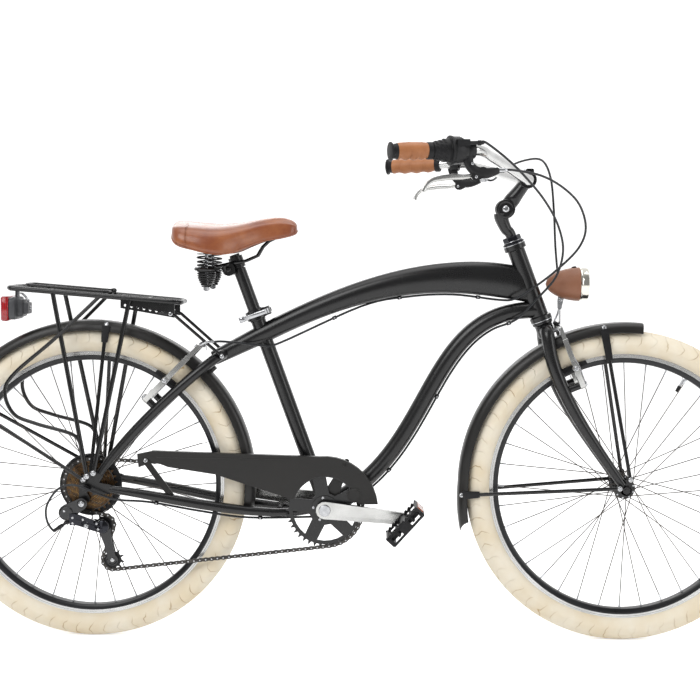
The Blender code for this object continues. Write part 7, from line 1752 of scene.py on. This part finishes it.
def saddle_spring(name, side):
    """A conical coil, open at the top and wound close below, its bolt and the bright nut."""
    centre = Vector((0.254, 0.06 * side, 0))
    shape = ((0.0, 0.0098), (0.12, 0.0132), (0.3, 0.0172), (0.52, 0.0185), (0.75, 0.019), (1.0, 0.0195))
    turns = 11
    points = []
    for k in range(turns * 20 + 1):
        share = k / (turns * 20)
        turn = side * share * turns * tau
        height = 0.764 + 0.064 * (0.78 * share + 0.22 * share ** 5)
        for (a, ra), (b, rb) in zip(shape, shape[1:]):
            if a <= share <= b:
                reach = ra + (rb - ra) * (share - a) / (b - a)
        points.append(centre + Vector((reach * cos(turn), reach * sin(turn), height)))
    coil = sweep(points, 0.0018, 8)
    plates = [lathe([(0.0, h - 0.0012), (r, h - 0.001), (r + 0.0008, h), (r, h + 0.001), (0.0, h + 0.0012)],
                    at(*centre), 32)
              for h, r in ((0.83, 0.02), (0.762, 0.0105))]
    piece(name + "_coil", "saddle", BLACK_WIRE, [coil, *plates], hides=(name,))
    bolt_shapes = [rod(centre + Vector((0, 0, 0.752)), centre + Vector((0, 0, 0.8395)), 0.0036, 20),
                   rod(centre + Vector((0, 0, 0.7535)), centre + Vector((0, 0, 0.761)), 0.0072, 6)]
    piece(name + "_bolt", "saddle", ZINC, bolt_shapes, bevel=0.0005)


SADDLE_RINGS = padded_saddle()
saddle_seams(SADDLE_RINGS)
saddle_base()
saddle_spring("spring_right", -1)
saddle_spring("spring_left", 1)


def seat_fittings():
    """The knurled washers and bolt heads beside the saddle clamp."""
    tilt = Vector((0.297, 0, 0.797))
    shapes = []
    for side in (-1, 1):
        for k in range(18):
            turn = tau * k / 18
            spot = tilt + Vector((0.0139 * cos(turn), side * 0.022, 0.0139 * sin(turn)))
            shapes.append(rod(spot - sideways(0.0048), spot + sideways(0.0048), 0.0007, 6))
        shapes.append(bolt(tilt + sideways(side * 0.0335), sideways(side), 0.0052, 0.003))
    piece("clamp_teeth", "saddle", BLACK_WIRE, shapes)


seat_fittings()


# Cables: one housing size throughout, each split where the stem and the fork turn

HOUSING = 0.0024


def barrel_end(side):
    end = GRIP @ Vector((-0.04, 0.004, 0.237))
    return Vector((end.x, end.y * -side, end.z)), Vector((GRIP_WAY.x, GRIP_WAY.y * -side, GRIP_WAY.z))


def under(route, depths):
    """A route offset downwards, square to a tube."""
    out = []
    for i, point in enumerate(route):
        way = direction(route, i)
        out.append(point + Vector((way.z, 0, -way.x)) * depths[i])
    return out


def nearest(route, point):
    return min(range(len(route)), key=lambda i: (route[i] - Vector(point)).length)


def housing(name, points, node, turning, fixed):
    """A cable in two pieces, split at the turning point: the piece by the bar is only placed, on no body, and
    the rest turns with the fork, or is only placed along the frame.
    """
    route = smooth(points, 6)
    turn = nearest(route, turning)
    stop = route[nearest(route, fixed)] if fixed else None
    first = sweep(route[:turn + 1], HOUSING, 10)
    piece(name + "_by_the_bar", "bars", LINER, [first], hides=(node,),
          body_to="steerer", span=(route[0], route[turn]))
    rest = sweep(route[turn:], HOUSING, 10)
    if fixed:
        piece(name + "_along_the_frame", "steerer", LINER, [rest], body_to="frame", span=(route[turn], stop))
    else:
        piece(name + "_down_the_fork", "steerer", LINER, [rest])
    return route


def noodle_and_boot(name, body, entry, top, up, arm_y, side):
    """The bent guide tube over the arms, its rubber bellows and the pinched inner wire."""
    middle = top + up * 0.008
    points = [*entry, middle + Vector((0, side * (arm_y + 0.004), -0.0005)),
              middle + sideways(side * (arm_y - 0.012))]
    piece(name + "_noodle", body, ZINC, [sweep(smooth(points, 6), 0.0023, 12)])
    rings = []
    for k in range(25):
        y = arm_y - 0.014 - (2 * arm_y - 0.04) * k / 24
        rings.append((0.003 + (0.0014 if k % 3 == 1 else 0.0), side * y))
    profile = [(0.0, rings[0][1]), *rings, (0.0, rings[-1][1])]
    piece(name + "_boot", body, GRIP_BLACK, [lathe(profile, on_axle(middle), 16)], sharp=60)
    wire = [middle + sideways(-side * (arm_y - 0.026)),
            middle + sideways(-side * (arm_y + 0.006)),
            middle + Vector((0, -side * (arm_y + 0.008), -0.02))]
    piece(name + "_inner_wire", body, ZINC, [sweep(smooth(wire, 5), 0.0008, 8)])


def front_cable():
    start, way = barrel_end(1)
    points = [start, start + way * 0.016, (0.899, 0.165, 1.021), (0.935, 0.115, 1.036), (0.968, 0.075, 1.034),
              (0.985, 0.054, 0.995), (0.992, 0.046, 0.925), (0.996, 0.044, 0.85), (1.003, 0.047, 0.78),
              (1.008, 0.056, 0.73)]
    housing("front_brake_cable", points, "front_brake_cable", (0.992, 0.046, 0.925), None)
    entry = [(1.008, 0.056, 0.732), (1.0065, 0.0575, 0.708)]
    up = FRONT_ARM_UP
    noodle_and_boot("front_brake", "steerer", entry, FRONT_ARM_TOP, up, 0.0475, 1)
    ferrule = rod(Vector((1.0075, 0.0555, 0.738)), Vector((1.008, 0.0562, 0.727)), 0.0034, 16)
    piece("front_cable_ferrule", "steerer", ZINC, [ferrule], bevel=0.0004)


def rear_cable():
    start, way = barrel_end(-1)
    low = under(arch_line(12), [(0.041 + 0.041 * (i / 11) ** 1.7) / 2 + 0.0034 for i in range(12)])
    points = [start, start + way * 0.016, (0.936, -0.196, 0.99), (0.985, -0.155, 0.968),
              (1.024, -0.115, 0.935), (1.042, -0.088, 0.888), (1.03, -0.074, 0.846), (0.99, -0.064, 0.803),
              (0.945, -0.053, 0.766), (0.905, -0.032, 0.739)]
    points += [low[i] for i in range(10, 2, -2)]
    points += [(0.405, -0.022, 0.641), (0.37, -0.0285, 0.636), (0.325, -0.034, 0.641),
               (0.285, -0.042, 0.645), (0.268, -0.05, 0.6448)]
    route = housing("rear_brake_cable", points, "rear_brake_cable", (1.042, -0.088, 0.888),
                    (0.905, -0.032, 0.739))
    up = REAR_ARM_UP
    entry = [(0.27, -0.049, 0.6449), (0.254, -0.0555, 0.644)]
    noodle_and_boot("rear_brake", "frame", entry, REAR_ARM_TOP, up, 0.0505, -1)
    return route


def gear_cable():
    start = GRIP @ Vector((0.013, 0.018, 0.177))
    low = under(down_line(13), [0.0214] * 13)
    points = [start + GRIP_WAY * 0.002, start + GRIP_WAY * 0.014, (0.868, -0.236, 1.018),
              (0.91, -0.196, 0.982), (0.95, -0.15, 0.941), (0.982, -0.108, 0.893), (0.997, -0.08, 0.84),
              (0.985, -0.06, 0.785), (0.948, -0.044, 0.738), (0.908, -0.022, 0.694)]
    points += [low[i] for i in range(10, 0, -1)]
    points += [(0.5155, -0.008, 0.2646), (0.4895, -0.014, 0.2656)]
    foot = REAR_AXLE + Vector((0.048, -0.0705, -0.003))
    head = BOTTOM_BRACKET + Vector((-0.022, -0.021, -0.006))
    stay = bezier(foot, foot + heading(-6.2) * 0.11 + sideways(0.004),
                  head - heading(11.2) * 0.116 + sideways(-0.029), head, 10)
    low_stay = under(stay, [0.0144] * 10)
    points += [low_stay[i] for i in (6, 4, 2)]
    eye = REAR_AXLE + Vector((-0.059, -0.085, -0.084))
    way = (REAR_AXLE + Vector((-0.03, -0.085, -0.066)) - eye).normalized()
    points += [(0.066, -0.083, 0.312), (0.025, -0.0935, 0.327), (-0.02, -0.0935, 0.344),
               (-0.056, -0.0905, 0.336), (-0.082, -0.087, 0.3), (-0.083, -0.0855, 0.267),
               eye - way * 0.012, eye - way * 0.002]
    route = housing("gear_cable", points, "shift_cable", (0.997, -0.08, 0.84), (0.908, -0.022, 0.694))
    piece("gear_cable_ferrule", "frame", RESIN, [rod(eye - way * 0.01, eye + way * 0.002, 0.0036, 14)],
          bevel=0.0004)
    return route


def cable_clips(route, spots, name):
    """Moulded clips that hold a housing to the frame, each with its small screw."""
    clips = []
    screws = []
    for spot in spots:
        i = nearest(route, spot)
        way = (route[i + 1] - route[i - 1]).normalized()
        clips.append(rod(route[i] - way * 0.0045, route[i] + way * 0.0045, 0.004, 16))
        screws.append(bolt(route[i] + sideways(-0.004), sideways(-1), 0.002, 0.0014, 12))
    piece(name + "_clips", "frame", RESIN, clips, bevel=0.0006)
    piece(name + "_clip_screws", "frame", ZINC, screws)


front_cable()
cable_clips(rear_cable(), ((0.83, -0.01, 0.717), (0.66, 0, 0.715), (0.52, -0.01, 0.672)), "brake_cable")
cable_clips(gear_cable(), ((0.905, -0.02, 0.65), (0.772, 0, 0.505), (0.665, 0, 0.345), (0.36, -0.04, 0.262),
                           (0.14, -0.07, 0.303)), "gear_cable")

piece("fork_screws", "steerer", ZINC, FORK_BOLTS)


def size_note():
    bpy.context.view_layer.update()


def seen(tree):
    """1 for the rays in which the white background shows: straight, mirrored and through glass."""
    rays = add(tree, "LightPath")
    sharp = add(tree, "Math", "MAXIMUM", i0=rays.outputs["Is Camera Ray"], i1=rays.outputs["Is Glossy Ray"])
    return add(tree, "Math", "MAXIMUM", i0=sharp, i1=rays.outputs["Is Transmission Ray"])


# The paper sweep that the bike stands on: a floor that rises behind it in one long curve

def paper():
    floor = [(y, 0.0) for y in (-6.0, -2.0, 0.0, 2.0, 4.0)]
    bend = [(4.0 + 2.0 * sin(t), 2.0 - 2.0 * cos(t)) for t in (pi / 2 * k / 12 for k in range(1, 13))]
    profile = [*floor, *bend, (6.0, 7.0)]
    points = [Vector((x, y, z - 0.0002)) for x in (-9.0, 9.0) for y, z in profile]
    count = len(profile)
    faces = [(i, i + 1, i + 1 + count, i + count) for i in range(count - 1)]
    mesh = bpy.data.meshes.new("paper_sweep")
    mesh.from_pydata(points, [], faces)
    mesh.shade_smooth()
    obj = placed("paper_sweep", mesh)
    made, tree, shader, place = blank("matt_white_studio_paper")
    fibre = add(tree, "TexNoise", Vector=place, Scale=700.0, Detail=3.0)
    tone = add(tree, "Mix", {"data_type": "RGBA"}, i0=fibre, i6=linear("ffffff"), i7=linear("fafafa"))
    glow = add(tree, "Math", "MULTIPLY", i0=seen(tree), i1=0.55)
    feed(shader, Base_Color=tone.outputs[2], Roughness=0.9, Specular_IOR_Level=0.1,
         Emission_Color=(1, 1, 1, 1), Emission_Strength=glow)
    mesh.materials.append(made)


def softbox(name, place, aim, size, power):
    """A large even panel of light that faces a point."""
    data = bpy.data.lights.new(name, "AREA")
    data.shape = "RECTANGLE"
    data.size, data.size_y = size
    data.energy = power
    lamp = placed(name, data)
    lamp.location = place
    lamp.rotation_euler = (Vector(aim) - Vector(place)).to_track_quat("-Z", "Y").to_euler()


def studio():
    """White behind the bike; the camera's own side of the room is dimmer, which shapes the metal."""
    world = bpy.data.worlds.new("white_studio")
    bpy.context.scene.world = world
    world.use_nodes = True
    tree = world.node_tree
    tree.nodes.clear()
    deep = add(tree, "SeparateXYZ", Vector=add(tree, "TexCoord").outputs["Generated"]).outputs[1]
    behind = add(tree, "MapRange", Value=deep, From_Min=-0.45, From_Max=0.3, To_Min=0.3)
    rays = add(tree, "LightPath")
    soft = add(tree, "Math", "MULTIPLY", i0=rays.outputs["Is Diffuse Ray"], i1=0.4)
    glint = add(tree, "Math", "MULTIPLY_ADD", i0=rays.outputs["Is Glossy Ray"], i1=behind, i2=soft)
    straight = add(tree, "Math", "MAXIMUM", i0=rays.outputs["Is Camera Ray"],
                   i1=rays.outputs["Is Transmission Ray"])
    strength = add(tree, "Math", "MAXIMUM", i0=glint, i1=straight)
    white = add(tree, "Background", Color=(1, 1, 1, 1), Strength=strength)
    add(tree, "OutputWorld", Surface=white)
    softbox("key_softbox", (-2.2, -3.4, 3.4), (0, 0, 0.5), (3.0, 2.2), 95.0)
    softbox("overhead_softbox", (0.2, -0.3, 4.2), (0, 0, 0.4), (4.0, 2.4), 60.0)
    softbox("side_softbox", (3.6, -2.0, 1.8), (0.2, 0, 0.5), (1.6, 2.4), 34.0)
    softbox("back_softbox", (-0.5, 3.0, 2.6), (0, 0, 0.6), (3.2, 1.4), 30.0)


def camera():
    """Where the photograph was taken from: a long lens, level with the handlebar and a touch to one side."""
    yaw, pitch, roll = (radians(a) for a in (1.042, -4.52, -0.237))
    place = Vector((0.6109, -3.0894, 0.8693)) + TO_SHARED
    ahead = Vector((-sin(yaw) * cos(pitch), cos(yaw) * cos(pitch), sin(pitch)))
    right = Vector((cos(yaw), sin(yaw), 0))
    down = ahead.cross(right)
    across = right * cos(roll) + down * sin(roll)
    lower = down * cos(roll) - right * sin(roll)
    data = bpy.data.cameras.new("camera")
    data.sensor_width = 36.0
    data.lens = 74.32
    obj = placed("camera", data)
    turn = Matrix((across, -lower, -ahead)).transposed().to_4x4()
    obj.matrix_world = at(*place) @ turn
    bpy.context.scene.camera = obj


size_note()
paper()
studio()
camera()
bpy.context.scene.view_settings.view_transform = "Standard"
